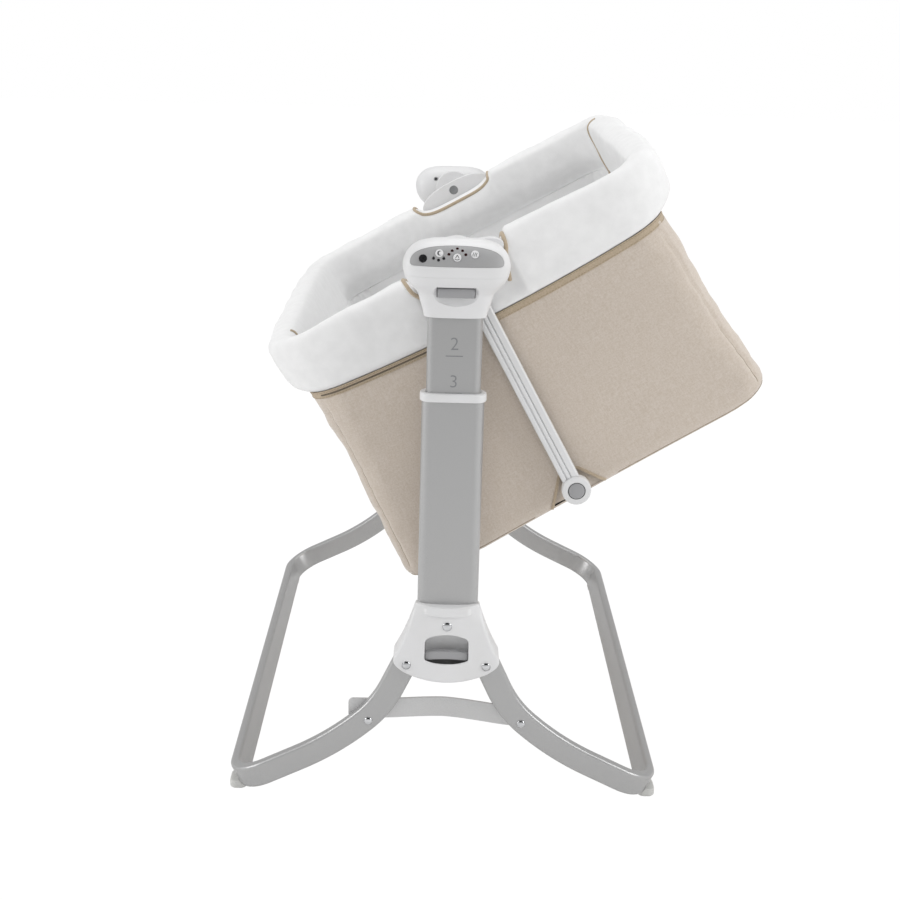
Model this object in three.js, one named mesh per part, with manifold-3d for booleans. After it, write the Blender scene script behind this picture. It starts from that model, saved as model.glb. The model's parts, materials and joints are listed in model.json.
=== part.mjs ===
// Rocking bedside cradle: a fabric basket hung between two posts on a bent-tube stand.
// Millimetres, +X right, +Y away from the control panel, +Z up.
import * as THREE from 'three';
import { mergeVertices } from 'three/addons/utils/BufferGeometryUtils.js';
import Module from 'manifold-3d';

const wasm = await Module();
wasm.setup();

// General clearances and counts
const SEAT = 0.3;
const LAP = 1;
const OVERRUN = 5;
const ARC_STEPS = 2;
const BEVEL_STEPS = 2;
const CURVE_STEPS = 5;
const ROUND_STEPS = 18;
const SMALL_STEPS = 12;

// Fabric body, whose length and width place all the rest
const BODY_TOP_HALF_U = 273;
const BODY_TOP_HALF_Y = 376;
const BODY_FLARE_U = 24;
const BODY_DRAW_Y = 4;
const BODY_LOW_HALF_U = BODY_TOP_HALF_U + BODY_FLARE_U;
const BODY_LOW_HALF_Y = BODY_TOP_HALF_Y - BODY_DRAW_Y;
const BODY_BOTTOM_W = -381;
const BODY_WALL = 5;
const BODY_CORNER = 62;
const BODY_EDGE_RADIUS = 24;
const BODY_SEAM_MID_W = -94;
const BODY_SEAM_RISE = 14;
const BODY_SIDE_STEPS = 5;
const BODY_EDGE_STEPS = 3;

// Basket frame tubes, as half widths along the two sides of each ring
const RIM_OUTSET_U = 9;
const RIM_INSET_Y = 10;
const RIM_HALF_U = BODY_TOP_HALF_U + RIM_OUTSET_U;
const RIM_HALF_Y = BODY_TOP_HALF_Y - RIM_INSET_Y;
const RIM_CORNER = 75;
const RIM_W = -42;
const RIM_RADIUS = 9;
const LOW_INSET_U = 28;
const LOW_INSET_Y = 26;
const LOW_HALF_U = BODY_LOW_HALF_U - LOW_INSET_U;
const LOW_HALF_Y = BODY_LOW_HALF_Y - LOW_INSET_Y;
const LOW_CORNER = 50;
const LOW_RADIUS = 7;
const RING_CORNER_STEPS = 5;
const RING_SIDE_STEPS = 2;
const RING_SECTION_STEPS = 10;
const OUTSET_ROUNDS = 8;

// Padded rim cover around the rim tube
const COVER_END_TOP = 6;
const COVER_SIDE_TOP = 19;
const COVER_SKIRT_W = -104;
const COVER_SKIRT_WALL = 4;
const COVER_NOTCH_HALF = 78;
const COVER_NOTCH_RUN = 8;
const COVER_NOTCH_TOP = -14;
const COVER_OUT = 28;
const COVER_NOTCH_OUT = 11;
const COVER_IN = 21;
const COVER_TURN = 6;
const COVER_EASE = 2;
const COVER_BULGE = 14;
const COVER_SHOULDER = 13;
const COVER_CROWN = 2;
const COVER_KNEE = 12;
const COVER_LIP = 3;
const COVER_SWELL_SHARE = 0.55;
const COVER_INNER_SHARE = 0.7;
const COVER_TUCK_SHARE = 0.45;
const COVER_END_SHARE = 0.62;
const COVER_FLOOR_SHARE = 0.45;
const COVER_SIDE_STEPS = 4;

// Inner liner, bottom board and mattress
const LINER_WALL = 3;
const LINER_GAP = 2;
const LINER_EDGE = 9;
const SEAM_GAP = 0.9;
const BOARD_MARGIN = 2;
const FLOOR_BOARD_THICK = 5;
const MATTRESS_INSET = 28;
const MATTRESS_THICK = 48;
const MATTRESS_CROWN = 7;
const MATTRESS_DRAW = 6;
const MATTRESS_CORNER = 60;

// Basket pivot and axle
const PIVOT_Z = 807.6;
const TILT = THREE.MathUtils.degToRad(29);
const AXLE_RADIUS = 8;

// Strut that stands off the body's end, with its saddle round the rim tube
const STRUT_STAND_OFF = 5.5;
const STRUT_THICK = 4.2;
const STRUT_BACK_Y = BODY_TOP_HALF_Y + STRUT_STAND_OFF;
const STRUT_FRONT_Y = STRUT_BACK_Y + STRUT_THICK;
const STRUT_HALF = 11;
const STRUT_HEAD_RADIUS = 13;
const SADDLE_HALF = 18;
const SADDLE_TOP = -28;
const SADDLE_LOW = -56;
const AXLE_BACK_Y = STRUT_BACK_Y - SEAT;

// Side arm over the strut, with the end plate that fills the rim's notch
const ARM_BACK_Y = STRUT_FRONT_Y + SEAT;
const ARM_THICK = 13;
const ARM_FRONT_Y = ARM_BACK_Y + ARM_THICK;
const ARM_HALF = 14.5;
const ARM_RIB_DEPTH = 3;
const ARM_RIBS = 3;
const ARM_FOOT_SHARE = 0.12;
const ARM_CREST_SHARE = 0.3;
const ARM_HEAD_RADIUS = 34;
const ARM_HEAD_BEVEL = 2;
const PLATE_HALF = 68;
const PLATE_TOP_W = 16;
const PLATE_LOW_W = SADDLE_TOP + SEAT;
const PLATE_SHOULDER_W = -6;
const PLATE_HEEL_W = -17;
const PLATE_THICK = 6;
const PLATE_WALL = 2.6;
const PLATE_BEVEL = 1;
const PLATE_FRONT_Y = ARM_BACK_Y + PLATE_THICK;
const PLATE_BACK_Y = AXLE_BACK_Y - SEAT - PLATE_WALL;
const PLATE_CURVE_SHARE = 0.88;
const PLATE_TOP_SHARE = 0.5;
const PLATE_LOW_SHARE = 0.65;

// Bottom hub and its push button
const BOTTOM_HUB_W = -372;
const BOTTOM_HUB_RADIUS = 21;
const BOTTOM_HUB_PROUD = 3.5;
const BOTTOM_HUB_FRONT_Y = ARM_FRONT_Y + BOTTOM_HUB_PROUD;
const BOTTOM_HUB_BEVEL = 3;
const BOTTOM_BOSS_RADIUS = 13;
const BOTTOM_BOSS_REACH = 2;
const PUSH_RADIUS = 11.5;
const PUSH_GAP = 1.2;
const PUSH_DEPTH = 9;
const PUSH_THICK = 5.5;
const PUSH_PROUD = 1;
const PUSH_STEM_RADIUS = 5.75;
const PUSH_STEM_LENGTH = 12.6;
const PUSH_GUIDE_DEPTH = 18;
const HUB_CUT_HIGH = 22;
const HUB_CUT_LOW = 18;
const HUB_CUT_TOP_HALF = 15;
const HUB_CUT_LOW_HALF = 46;

// Post behind the basket's end: outer tube, collar and inner tube, all flat ovals
const POD_GAP = 3.5;
const POD_BACK_Y = ARM_FRONT_Y + POD_GAP;
const POST_SETBACK = 25.5;
const POST_Y = POD_BACK_Y + POST_SETBACK;
const OUTER_HALF_X = 43.5;
const OUTER_HALF_Y = 16;
const OUTER_WALL = 2.5;
const OUTER_CORNER = 14;
const OUTER_BOTTOM = 285;
const POST_DROP = 187.6;
const OUTER_TOP = PIVOT_Z - POST_DROP;
const COLLAR_HEIGHT = 12;
const COLLAR_LIP = 2.6;
const SLEEVE_DEPTH = 42;
const INNER_HALF_X = 37.8;
const INNER_HALF_Y = 12;
const INNER_WALL = 2.2;
const INNER_CORNER = 11;
const INNER_LIFT = 135;
const INNER_BOTTOM = OUTER_BOTTOM + INNER_LIFT;
const BLOCK_DROP = 24.9;
const INNER_TOP_Z = PIVOT_Z - BLOCK_DROP;
const SLIDER_HEIGHT = 20;
const SLIDER_PLUG = 24;

// Bearing block on the inner tube's top
const AXLE_LEAD = 20;
const AXLE_FRONT_Y = POST_Y + AXLE_LEAD;
const BLOCK_HALF_X = 21;
const BLOCK_RISE = 19.4;
const BLOCK_TOP_Z = PIVOT_Z + BLOCK_RISE;
const BLOCK_LOW_Z = INNER_TOP_Z + SEAT;
const BLOCK_PLUG = 22;
const BLOCK_CORNER = 8;

// Pod: sections from the neck to the crown, as heights, half widths and front and back faces
const POD_WIDE_RISE = 1.1;
const POD_NECK_DROP = 70.7;
const POD_SPLIT_DROP = 11.7;
const POD_CROWN_RISE = 35.7;
const POD_WIDE_Z = PIVOT_Z + POD_WIDE_RISE;
const POD_NECK_Z = POD_WIDE_Z - POD_NECK_DROP;
const POD_SPLIT_Z = POD_WIDE_Z - POD_SPLIT_DROP;
const POD_TOP_Z = POD_WIDE_Z + POD_CROWN_RISE;
const POD_NECK_HALF = 42.4;
const POD_NECK_HALF_Y = 17;
const POD_WIDE_HALF = 71.3;
const POD_DEPTH = 70.5;
const POD_CROWN_LEAD = 8;
const POD_NECK_FRONT_Y = POST_Y + POD_NECK_HALF_Y;
const POD_NECK_BACK_Y = POST_Y - POD_NECK_HALF_Y;
const POD_FRONT_Y = POD_BACK_Y + POD_DEPTH;
const POD_CROWN_Y = POST_Y + POD_CROWN_LEAD;
const POD_POWER = 3;
const POD_WALL = 2.6;
const POD_STEPS = 24;
const POD_NECK_FLOOR = 8;

// Shares of the rise from the neck to the widest section: height, half width, front and back
const POD_FLARE_SHARES = [
  [0, 0, 0, 0],
  [0.17, 0.1, 0.06, 0.08],
  [0.3, 0.2, 0.15, 0.2],
  [0.45, 0.29, 0.32, 0.4],
  [0.55, 0.46, 0.52, 0.6],
  [0.65, 0.7, 0.72, 0.8],
  [0.75, 0.84, 0.87, 0.92],
  [0.84, 0.93, 0.95, 1],
  [1, 1, 1, 1],
];

// Shares of the crown's height, and the shares of the half width and depth that stay at its top
const POD_CROWN_SHARES = [0.25, 0.5, 0.72, 0.88, 0.97];
const POD_CROWN_HALF_SHARE = 0.45;
const POD_CROWN_BACK_SHARE = 0.3;

// Control panel, receiver window and buttons on the front pod
const PANEL_HALF = 62.2;
const PANEL_LOW_HALF = 57;
const PANEL_RISE = 3.6;
const PANEL_SIDE_RISE = 6.7;
const PANEL_HEIGHT = 25.7;
const PANEL_LOW_Z = POD_WIDE_Z + PANEL_RISE;
const PANEL_SIDE_Z = PANEL_LOW_Z + PANEL_SIDE_RISE;
const PANEL_TOP_Z = PANEL_LOW_Z + PANEL_HEIGHT;
const PANEL_SHOULDER = 5;
const PANEL_CURVE_SHARE = 0.7;
const PANEL_THICK = 1.6;
const BUTTON_RADIUS = 5.35;
const BUTTON_LENGTH = 9;
const BUTTON_PROUD = 1.2;
const BUTTON_GAP = 0.35;
const BUTTON_COLUMNS = [-23.5, 0, 23.3];
const BUTTON_RISES = [16.7, 12.1, 16.3];
const BUTTON_HEIGHTS = BUTTON_RISES.map((rise) => PANEL_LOW_Z + rise);
const BUTTON_TILT = THREE.MathUtils.degToRad(25);
const RECEIVER_X = -45;
const RECEIVER_RISE = 9.7;
const RECEIVER_Z = PANEL_LOW_Z + RECEIVER_RISE;
const RECEIVER_RADIUS = 5.35;
const RECEIVER_LENGTH = 5;
const RECEIVER_PROUD = 0.3;
const BOARD_HALF = 48;
const BOARD_THICK = 1.6;
const BOARD_LENGTH = 26;
const BOARD_LEAN = THREE.MathUtils.degToRad(65);
const BOARD_LEAD = 24;
const BOARD_Y = POST_Y + BOARD_LEAD;
const BOARD_RISE = 2.7;
const BOARD_Z = PANEL_LOW_Z + BOARD_RISE;
const BOARD_POST_X = 40;
const BOARD_POST_DROP = 4.3;
const BOARD_POST_Z = PANEL_LOW_Z - BOARD_POST_DROP;
const BOARD_POST_RADIUS = 3;

// Finger scoop under the pod, with the release lever in its pocket
const SCOOP_HALF_X = 49;
const SCOOP_HALF_Y = 22;
const SCOOP_HALF_Z = 16;
const SCOOP_LEAD = 40;
const SCOOP_DROP = 38.7;
const SCOOP_Z = POD_WIDE_Z - SCOOP_DROP;
const SCOOP_STEPS = 14;
const TRAY_HALF = 44;
const TRAY_DROP = 17;
const TRAY_RISE = 18;
const TRAY_LOW_Z = SCOOP_Z - TRAY_DROP;
const TRAY_HIGH_Z = SCOOP_Z + TRAY_RISE;
const RECESS_HALF = 26.5;
const RECESS_DROP = 4;
const RECESS_RISE = 13;
const RECESS_LOW_Z = SCOOP_Z - RECESS_DROP;
const RECESS_HIGH_Z = SCOOP_Z + RECESS_RISE;
const RECESS_LEAD = 17.5;
const RECESS_BACK_Y = POST_Y + RECESS_LEAD;
const RECESS_WALL = 2.4;
const RELEASE_HALF = 24;
const RELEASE_GAP = 2.5;
const RELEASE_LOW_Z = RECESS_LOW_Z + RELEASE_GAP;
const RELEASE_HIGH_Z = RECESS_HIGH_Z - RELEASE_GAP;
const RELEASE_THICK = 7;
const RELEASE_LEAD = 30;
const RELEASE_FRONT_Y = POST_Y + RELEASE_LEAD;
const RELEASE_CORNER = 3;
const RELEASE_EDGE = 1;
const RELEASE_PIN_RADIUS = 2;
const RELEASE_PIN_LEAD = 25.5;
const RELEASE_PIN_Y = POST_Y + RELEASE_PIN_LEAD;
const RELEASE_PIN_DROP = 3;
const RELEASE_PIN_Z = RELEASE_HIGH_Z - RELEASE_PIN_DROP;

// Stand: the bent leg tube, a rounded rectangle in section
const LEG_LEAD = 22;
const STAND_LENGTH = (POST_Y + LEG_LEAD) * 2;
const LEG_WIDTH = 37;
const LEG_THICK = 16.5;
const LEG_WALL = 2;
const LEG_EDGE_RADIUS = 5;
const LEG_EDGE_STEPS = 2;
const RAIL_X = 308.3;
const RAIL_Z = 23.7;
const LEAN = THREE.MathUtils.degToRad(26);
const CORNER_RADIUS = 50;
const CORNER_STEPS = 5;
const LEG_STRAIGHT = 53.5;
const LOWER_ARC_RADIUS = 420;
const LOWER_ARC_END = THREE.MathUtils.degToRad(42);
const UPPER_ARC_RADIUS = 170;
const UPPER_ARC_END = THREE.MathUtils.degToRad(65);
const BEND_STEPS = 4;
const LEG_TOP_RUN = 50;

// Foot pads clipped under the loop corners
const FOOT_LENGTH = 40;
const FOOT_WIDTH = 30;
const FOOT_HEIGHT = 13;
const FOOT_RADIUS = 10;
const FOOT_INSET_Y = 52;
const FOOT_OUT_X = 9.5;

// Hub that clamps two leg ends and the foot of the post
const HUB_PROUD = 9;
const HUB_FRONT_Y = STAND_LENGTH / 2 + HUB_PROUD;
const HUB_SPLIT_Y = STAND_LENGTH / 2 - LEG_THICK / 2;
const HUB_BACK_WALL = 5;
const HUB_BACK_Y = POST_Y - OUTER_HALF_Y - HUB_BACK_WALL;
const HUB_TOP_Z = 326.5;
const HUB_TOP_HALF = 46;
const HUB_SIDE_Z = 237;
const HUB_SIDE_HALF = 76;
const HUB_NECK_HALF = 57;
const HUB_NECK_Z = 270;
const HUB_LOW_HALF = 58;
const HUB_LOW_Z = 216;
const HUB_BOTTOM_Z = 203;
const HUB_CORNER = 5;
const HUB_BEVEL = 5;
const TONGUE_HALF = 34;
const TONGUE_LOW_Z = 311;
const TONGUE_HIGH_Z = 322;
const TONGUE_PROUD = 1.5;
const WINDOW_HALF = 31;
const WINDOW_BOTTOM_Z = 228;
const WINDOW_SIDE_Z = 268;
const WINDOW_TOP_Z = 277;
const WINDOW_LEAD = 6;
const WINDOW_BACK_Y = POST_Y + WINDOW_LEAD;
const WINDOW_CORNER = 6;
const WINDOW_SHOULDER_SHARE = 0.6;

// Hub lever that slides down in the window
const HUB_LEVER_LOW_Z = 236;
const HUB_LEVER_HIGH_Z = 250;
const HUB_LEVER_ARCH = 3;
const HUB_LEVER_SETBACK = 3.5;
const HUB_LEVER_FRONT_Y = HUB_FRONT_Y - HUB_LEVER_SETBACK;
const HUB_LEVER_BOW = 3;

// Bowed crossbar behind the legs
const BAR_HALF_LENGTH = 142;
const BAR_HEIGHT = 31;
const BAR_THICK = 3.5;
const BAR_MID_Z = 136;
const BAR_BOW = 27;
const BAR_FLAT_END = 46;
const BAR_BOW_STEPS = 7;

// Solid of a closed mesh, ready to be cut or joined
function solidOf(geometry) {
  const plain = geometry.clone();
  plain.deleteAttribute('normal');
  plain.deleteAttribute('uv');
  const merged = mergeVertices(plain);
  const mesh = new wasm.Mesh({
    numProp: 3,
    vertProperties: new Float32Array(merged.attributes.position.array),
    triVerts: new Uint32Array(merged.index.array),
  });
  return new wasm.Manifold(mesh);
}

// Mesh geometry of a solid
function geometryOf(solid) {
  const mesh = solid.getMesh();
  const geometry = new THREE.BufferGeometry();
  geometry.setAttribute('position', new THREE.BufferAttribute(mesh.vertProperties, 3));
  geometry.setIndex(new THREE.BufferAttribute(mesh.triVerts, 1));
  geometry.computeVertexNormals();
  return geometry;
}

function cut(body, ...tools) {
  return geometryOf(tools.reduce((rest, tool) => rest.subtract(solidOf(tool)), solidOf(body)));
}

function join(body, ...others) {
  return geometryOf(others.reduce((sum, other) => sum.add(solidOf(other)), solidOf(body)));
}

function common(body, other) {
  return geometryOf(solidOf(body).intersect(solidOf(other)));
}

// Prism of an outline drawn in X and Z, between two places along Y
function prismAlongY(shape, lowY, highY, bevel = 0, steps = ARC_STEPS) {
  const geometry = new THREE.ExtrudeGeometry(shape, {
    depth: highY - lowY - bevel - bevel,
    bevelEnabled: bevel > 0,
    bevelThickness: bevel,
    bevelSize: bevel,
    bevelOffset: -bevel,
    bevelSegments: BEVEL_STEPS,
    curveSegments: steps,
  });
  geometry.rotateX(Math.PI / 2);
  geometry.translate(0, highY - bevel, 0);
  return geometry;
}

// Prism of an outline drawn in X and Y, between two heights
function prismUp(shape, lowZ, highZ, steps = ARC_STEPS) {
  const geometry = new THREE.ExtrudeGeometry(shape, {
    depth: highZ - lowZ,
    bevelEnabled: false,
    curveSegments: steps,
  });
  geometry.translate(0, 0, lowZ);
  return geometry;
}

// Outline of a rectangle with round corners, centred on a point
function roundedOutline(halfX, halfY, corner, midX = 0, midY = 0) {
  const radius = Math.min(corner, halfX, halfY);
  const shape = new THREE.Shape();
  shape.moveTo(midX + halfX, midY - halfY + radius);
  shape.absarc(midX + halfX - radius, midY + halfY - radius, radius, 0, Math.PI / 2);
  shape.absarc(midX - halfX + radius, midY + halfY - radius, radius, Math.PI / 2, Math.PI);
  shape.absarc(midX - halfX + radius, midY - halfY + radius, radius, Math.PI, Math.PI * 1.5);
  shape.absarc(midX + halfX - radius, midY - halfY + radius, radius, Math.PI * 1.5, Math.PI * 2);
  return shape;
}

function blockBetween(lowX, highX, lowY, highY, lowZ, highZ) {
  const block = new THREE.BoxGeometry(highX - lowX, highY - lowY, highZ - lowZ);
  block.translate((lowX + highX) / 2, (lowY + highY) / 2, (lowZ + highZ) / 2);
  return block;
}

// Round bar along Y at a place in X and Z
function rodAlongY(radius, lowY, highY, x, z, steps = ROUND_STEPS) {
  const rod = new THREE.CylinderGeometry(radius, radius, highY - lowY, steps);
  rod.translate(x, (lowY + highY) / 2, z);
  return rod;
}

// Skin through rings of points, closed at its ends by fans or joined into a loop
function skinOfRings(rings, isLoop) {
  const count = rings[0].length;
  const positions = [];
  rings.forEach((ring) => ring.forEach((point) => positions.push(point.x, point.y, point.z)));
  const index = [];
  const spans = isLoop ? rings.length : rings.length - 1;
  for (let i = 0; i < spans; i += 1) {
    const here = i * count;
    const next = ((i + 1) % rings.length) * count;
    for (let j = 0; j < count; j += 1) {
      const k = (j + 1) % count;
      index.push(here + j, here + k, next + k);
      index.push(here + j, next + k, next + j);
    }
  }
  if (!isLoop) {
    const last = (rings.length - 1) * count;
    for (let j = 1; j < count - 1; j += 1) {
      index.push(0, j + 1, j);
      index.push(last, last + j, last + j + 1);
    }
  }
  const geometry = new THREE.BufferGeometry();
  geometry.setAttribute('position', new THREE.Float32BufferAttribute(positions, 3));
  geometry.setIndex(index);
  return facingOut(geometry);
}

// Turns the faces round where a skin encloses a negative volume
function facingOut(geometry) {
  const place = geometry.attributes.position;
  const order = geometry.index.array;
  const corners = [new THREE.Vector3(), new THREE.Vector3(), new THREE.Vector3()];
  let volume = 0;
  for (let i = 0; i < order.length; i += 3) {
    corners.forEach((corner, j) => corner.fromBufferAttribute(place, order[i + j]));
    volume += corners[0].dot(corners[1].clone().cross(corners[2]));
  }
  if (volume < 0) {
    for (let i = 0; i < order.length; i += 3) {
      const kept = order[i];
      order[i] = order[i + 1];
      order[i + 1] = kept;
    }
  }
  geometry.computeVertexNormals();
  return geometry;
}

// Points of a rectangle with round corners, with extra points along its four sides
function ringPoints(halfX, halfY, corner, z, cornerSteps, sideSteps) {
  const points = [];
  const centres = [[1, 1], [-1, 1], [-1, -1], [1, -1]];
  const corners = centres.map(([sideX, sideY], turn) => {
    const arc = [];
    for (let i = 0; i <= cornerSteps; i += 1) {
      const angle = (turn + i / cornerSteps) * Math.PI / 2;
      const x = sideX * (halfX - corner) + corner * Math.cos(angle);
      const y = sideY * (halfY - corner) + corner * Math.sin(angle);
      arc.push(new THREE.Vector3(x, y, z));
    }
    return arc;
  });
  corners.forEach((arc, i) => {
    points.push(...arc);
    const start = arc[arc.length - 1];
    const end = corners[(i + 1) % corners.length][0];
    for (let j = 1; j < sideSteps; j += 1) {
      points.push(start.clone().lerp(end, j / sideSteps));
    }
  });
  return points;
}

function finish(color, roughness, metalness) {
  return new THREE.MeshStandardMaterial({ color, roughness, metalness });
}

const FINISHES = {
  satinTube: () => finish('#a9a9a9', 0.42, 0.8),
  innerTube: () => finish('#9d9d9d', 0.45, 0.8),
  whitePlastic: () => finish('#e9e9e9', 0.38, 0),
  greyPlastic: () => finish('#a3a3a3', 0.5, 0),
  darkLens: () => finish('#3c3c3e', 0.2, 0),
  clearPad: () => finish('#dcdcd8', 0.6, 0),
  steel: () => finish('#b9bbbd', 0.3, 1),
  circuit: () => finish('#3f7a4a', 0.6, 0),
  melange: () => finish('#c7b9a6', 0.95, 0),
  whiteTextile: () => finish('#f0f0f0', 0.95, 0),
  boardGrey: () => finish('#cfcdc8', 0.8, 0),
};

function piece(name, geometry, material) {
  const mesh = new THREE.Mesh(geometry, material);
  mesh.name = name;
  return mesh;
}

// Bent leg loop: centreline stations with the tube's wide and thin directions
function legStations(side) {
  const legY = STAND_LENGTH / 2 - LEG_THICK / 2;
  const wide = new THREE.Vector3(side * Math.sin(LEAN), 0, Math.cos(LEAN));
  const rail = new THREE.Vector3(side * RAIL_X, 0, RAIL_Z);
  const bendX = CORNER_RADIUS * Math.cos(LEAN);
  const bendZ = CORNER_RADIUS * Math.sin(LEAN);
  const half = [];
  for (let i = 0; i <= CORNER_STEPS; i += 1) {
    const angle = (i / CORNER_STEPS) * Math.PI / 2;
    const inward = new THREE.Vector3(-side * bendX, 0, bendZ);
    const centre = rail.clone().add(inward);
    centre.y = -legY + CORNER_RADIUS;
    const point = centre.clone().addScaledVector(inward, -Math.cos(angle));
    point.y -= CORNER_RADIUS * Math.sin(angle);
    const thin = new THREE.Vector3(side * Math.cos(LEAN) * Math.cos(angle), -Math.sin(angle),
      -Math.sin(LEAN) * Math.cos(angle));
    half.push({ point, wide: wide.clone(), thin });
  }
  const front = new THREE.Vector3(0, -1, 0);
  const last = half[half.length - 1].point.clone();
  const along = new THREE.Vector3(-side * Math.cos(LEAN), 0, Math.sin(LEAN));
  const pushArc = (start, radius, fromAngle, toAngle) => {
    for (let i = 1; i <= BEND_STEPS; i += 1) {
      const angle = fromAngle + (toAngle - fromAngle) * i / BEND_STEPS;
      const x = start.x - side * radius * (Math.sin(angle) - Math.sin(fromAngle));
      const z = start.z + radius * (Math.cos(fromAngle) - Math.cos(angle));
      half.push({
        point: new THREE.Vector3(x, start.y, z),
        wide: new THREE.Vector3(side * Math.sin(angle), 0, Math.cos(angle)),
        thin: front.clone(),
      });
    }
    return half[half.length - 1].point.clone();
  };
  const straightEnd = last.clone().addScaledVector(along, LEG_STRAIGHT);
  half.push({ point: straightEnd.clone(), wide: wide.clone(), thin: front.clone() });
  const lowerEnd = pushArc(straightEnd, LOWER_ARC_RADIUS, LEAN, LOWER_ARC_END);
  const upperEnd = pushArc(lowerEnd, UPPER_ARC_RADIUS, LOWER_ARC_END, UPPER_ARC_END);
  const topAlong = new THREE.Vector3(-side * Math.cos(UPPER_ARC_END), 0, Math.sin(UPPER_ARC_END));
  half.push({
    point: upperEnd.addScaledVector(topAlong, LEG_TOP_RUN),
    wide: new THREE.Vector3(side * Math.sin(UPPER_ARC_END), 0, Math.cos(UPPER_ARC_END)),
    thin: front.clone(),
  });
  const mirrored = half.map(({ point, wide: across, thin }) => ({
    point: new THREE.Vector3(point.x, -point.y, point.z),
    wide: across.clone(),
    thin: new THREE.Vector3(thin.x, -thin.y, thin.z),
  }));
  return [...half.reverse(), ...mirrored];
}

// Sections of the leg tube at its stations, made larger all round by an allowance
function legRings(side, allowance = 0) {
  const halfWidth = LEG_WIDTH / 2 + allowance;
  const halfThick = LEG_THICK / 2 + allowance;
  const section = ringPoints(halfWidth, halfThick, LEG_EDGE_RADIUS + allowance, 0, LEG_EDGE_STEPS, 1);
  return legStations(side).map(({ point, wide, thin }) => section.map(({ x, y }) => point.clone()
    .addScaledVector(wide, x).addScaledVector(thin, y)));
}

// Solid bar in the shape of the leg tube, to cut its seats with
function legBar(side) {
  return skinOfRings(legRings(side, SEAT), false);
}

// Leg tube, open at its two top ends
function legTube(side) {
  return skinOfRings([...legRings(side), ...legRings(side, -LEG_WALL).reverse()], true);
}

// Pad under one corner of a loop, cut to the tube above it
function footPad(side) {
  const midX = side * (RAIL_X - FOOT_WIDTH / 2 + FOOT_OUT_X);
  const midY = -(STAND_LENGTH / 2 - FOOT_INSET_Y);
  const outline = roundedOutline(FOOT_WIDTH / 2, FOOT_LENGTH / 2, FOOT_RADIUS, midX, midY);
  const block = prismUp(outline, 0, FOOT_HEIGHT);
  return cut(block, legBar(side));
}

// Outline of the hub seen from the front
function hubOutline() {
  const shape = new THREE.Shape();
  const side = HUB_SIDE_HALF;
  const corner = HUB_CORNER;
  shape.moveTo(-HUB_TOP_HALF, HUB_TOP_Z);
  shape.quadraticCurveTo(-HUB_NECK_HALF, HUB_NECK_Z, -side, HUB_SIDE_Z + corner);
  shape.quadraticCurveTo(-side - corner, HUB_SIDE_Z - corner, -HUB_LOW_HALF, HUB_LOW_Z);
  shape.quadraticCurveTo(-HUB_LOW_HALF / 2, HUB_BOTTOM_Z, 0, HUB_BOTTOM_Z);
  shape.quadraticCurveTo(HUB_LOW_HALF / 2, HUB_BOTTOM_Z, HUB_LOW_HALF, HUB_LOW_Z);
  shape.quadraticCurveTo(side + corner, HUB_SIDE_Z - corner, side, HUB_SIDE_Z + corner);
  shape.quadraticCurveTo(HUB_NECK_HALF, HUB_NECK_Z, HUB_TOP_HALF, HUB_TOP_Z);
  shape.closePath();
  return shape;
}

// Window outline with an arched top and round lower corners
function windowOutline() {
  const half = WINDOW_HALF;
  const low = WINDOW_BOTTOM_Z;
  const shoulder = half * WINDOW_SHOULDER_SHARE;
  const shape = new THREE.Shape();
  shape.moveTo(-half, WINDOW_SIDE_Z);
  shape.lineTo(-half, low + WINDOW_CORNER);
  shape.quadraticCurveTo(-half, low, -half + WINDOW_CORNER, low);
  shape.lineTo(half - WINDOW_CORNER, low);
  shape.quadraticCurveTo(half, low, half, low + WINDOW_CORNER);
  shape.lineTo(half, WINDOW_SIDE_Z);
  shape.quadraticCurveTo(shoulder, WINDOW_TOP_Z, 0, WINDOW_TOP_Z);
  shape.quadraticCurveTo(-shoulder, WINDOW_TOP_Z, -half, WINDOW_SIDE_Z);
  return shape;
}

function outerPostOutline(allowance = 0) {
  return roundedOutline(OUTER_HALF_X + allowance, OUTER_HALF_Y + allowance, OUTER_CORNER + allowance);
}

function innerPostOutline(allowance = 0) {
  return roundedOutline(INNER_HALF_X + allowance, INNER_HALF_Y + allowance, INNER_CORNER + allowance);
}

function placedAtPost(geometry) {
  geometry.translate(0, -POST_Y, 0);
  return geometry;
}

// Spaces that the hub covers leave for the legs, the post and the lever
function hubTools() {
  const post = placedAtPost(prismUp(outerPostOutline(SEAT), OUTER_BOTTOM - SEAT, HUB_TOP_Z + OVERRUN));
  const window = prismAlongY(windowOutline(), -HUB_FRONT_Y - OVERRUN, -WINDOW_BACK_Y, 0, CURVE_STEPS);
  return [post, window, legBar(1), legBar(-1)];
}

function hubFrontCover() {
  const slab = prismAlongY(hubOutline(), -HUB_FRONT_Y, -HUB_SPLIT_Y + HUB_BEVEL, HUB_BEVEL, CURVE_STEPS);
  const half = blockBetween(-HUB_SIDE_HALF - OVERRUN, HUB_SIDE_HALF + OVERRUN, -HUB_FRONT_Y - OVERRUN,
    -HUB_SPLIT_Y, HUB_BOTTOM_Z - OVERRUN, HUB_TOP_Z + OVERRUN);
  const outline = roundedOutline(TONGUE_HALF, (TONGUE_HIGH_Z - TONGUE_LOW_Z) / 2, HUB_CORNER, 0,
    (TONGUE_HIGH_Z + TONGUE_LOW_Z) / 2);
  const tongue = prismAlongY(outline, -HUB_FRONT_Y - TONGUE_PROUD, -HUB_FRONT_Y + HUB_BEVEL, LAP);
  return cut(join(common(slab, half), tongue), ...hubTools());
}

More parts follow.
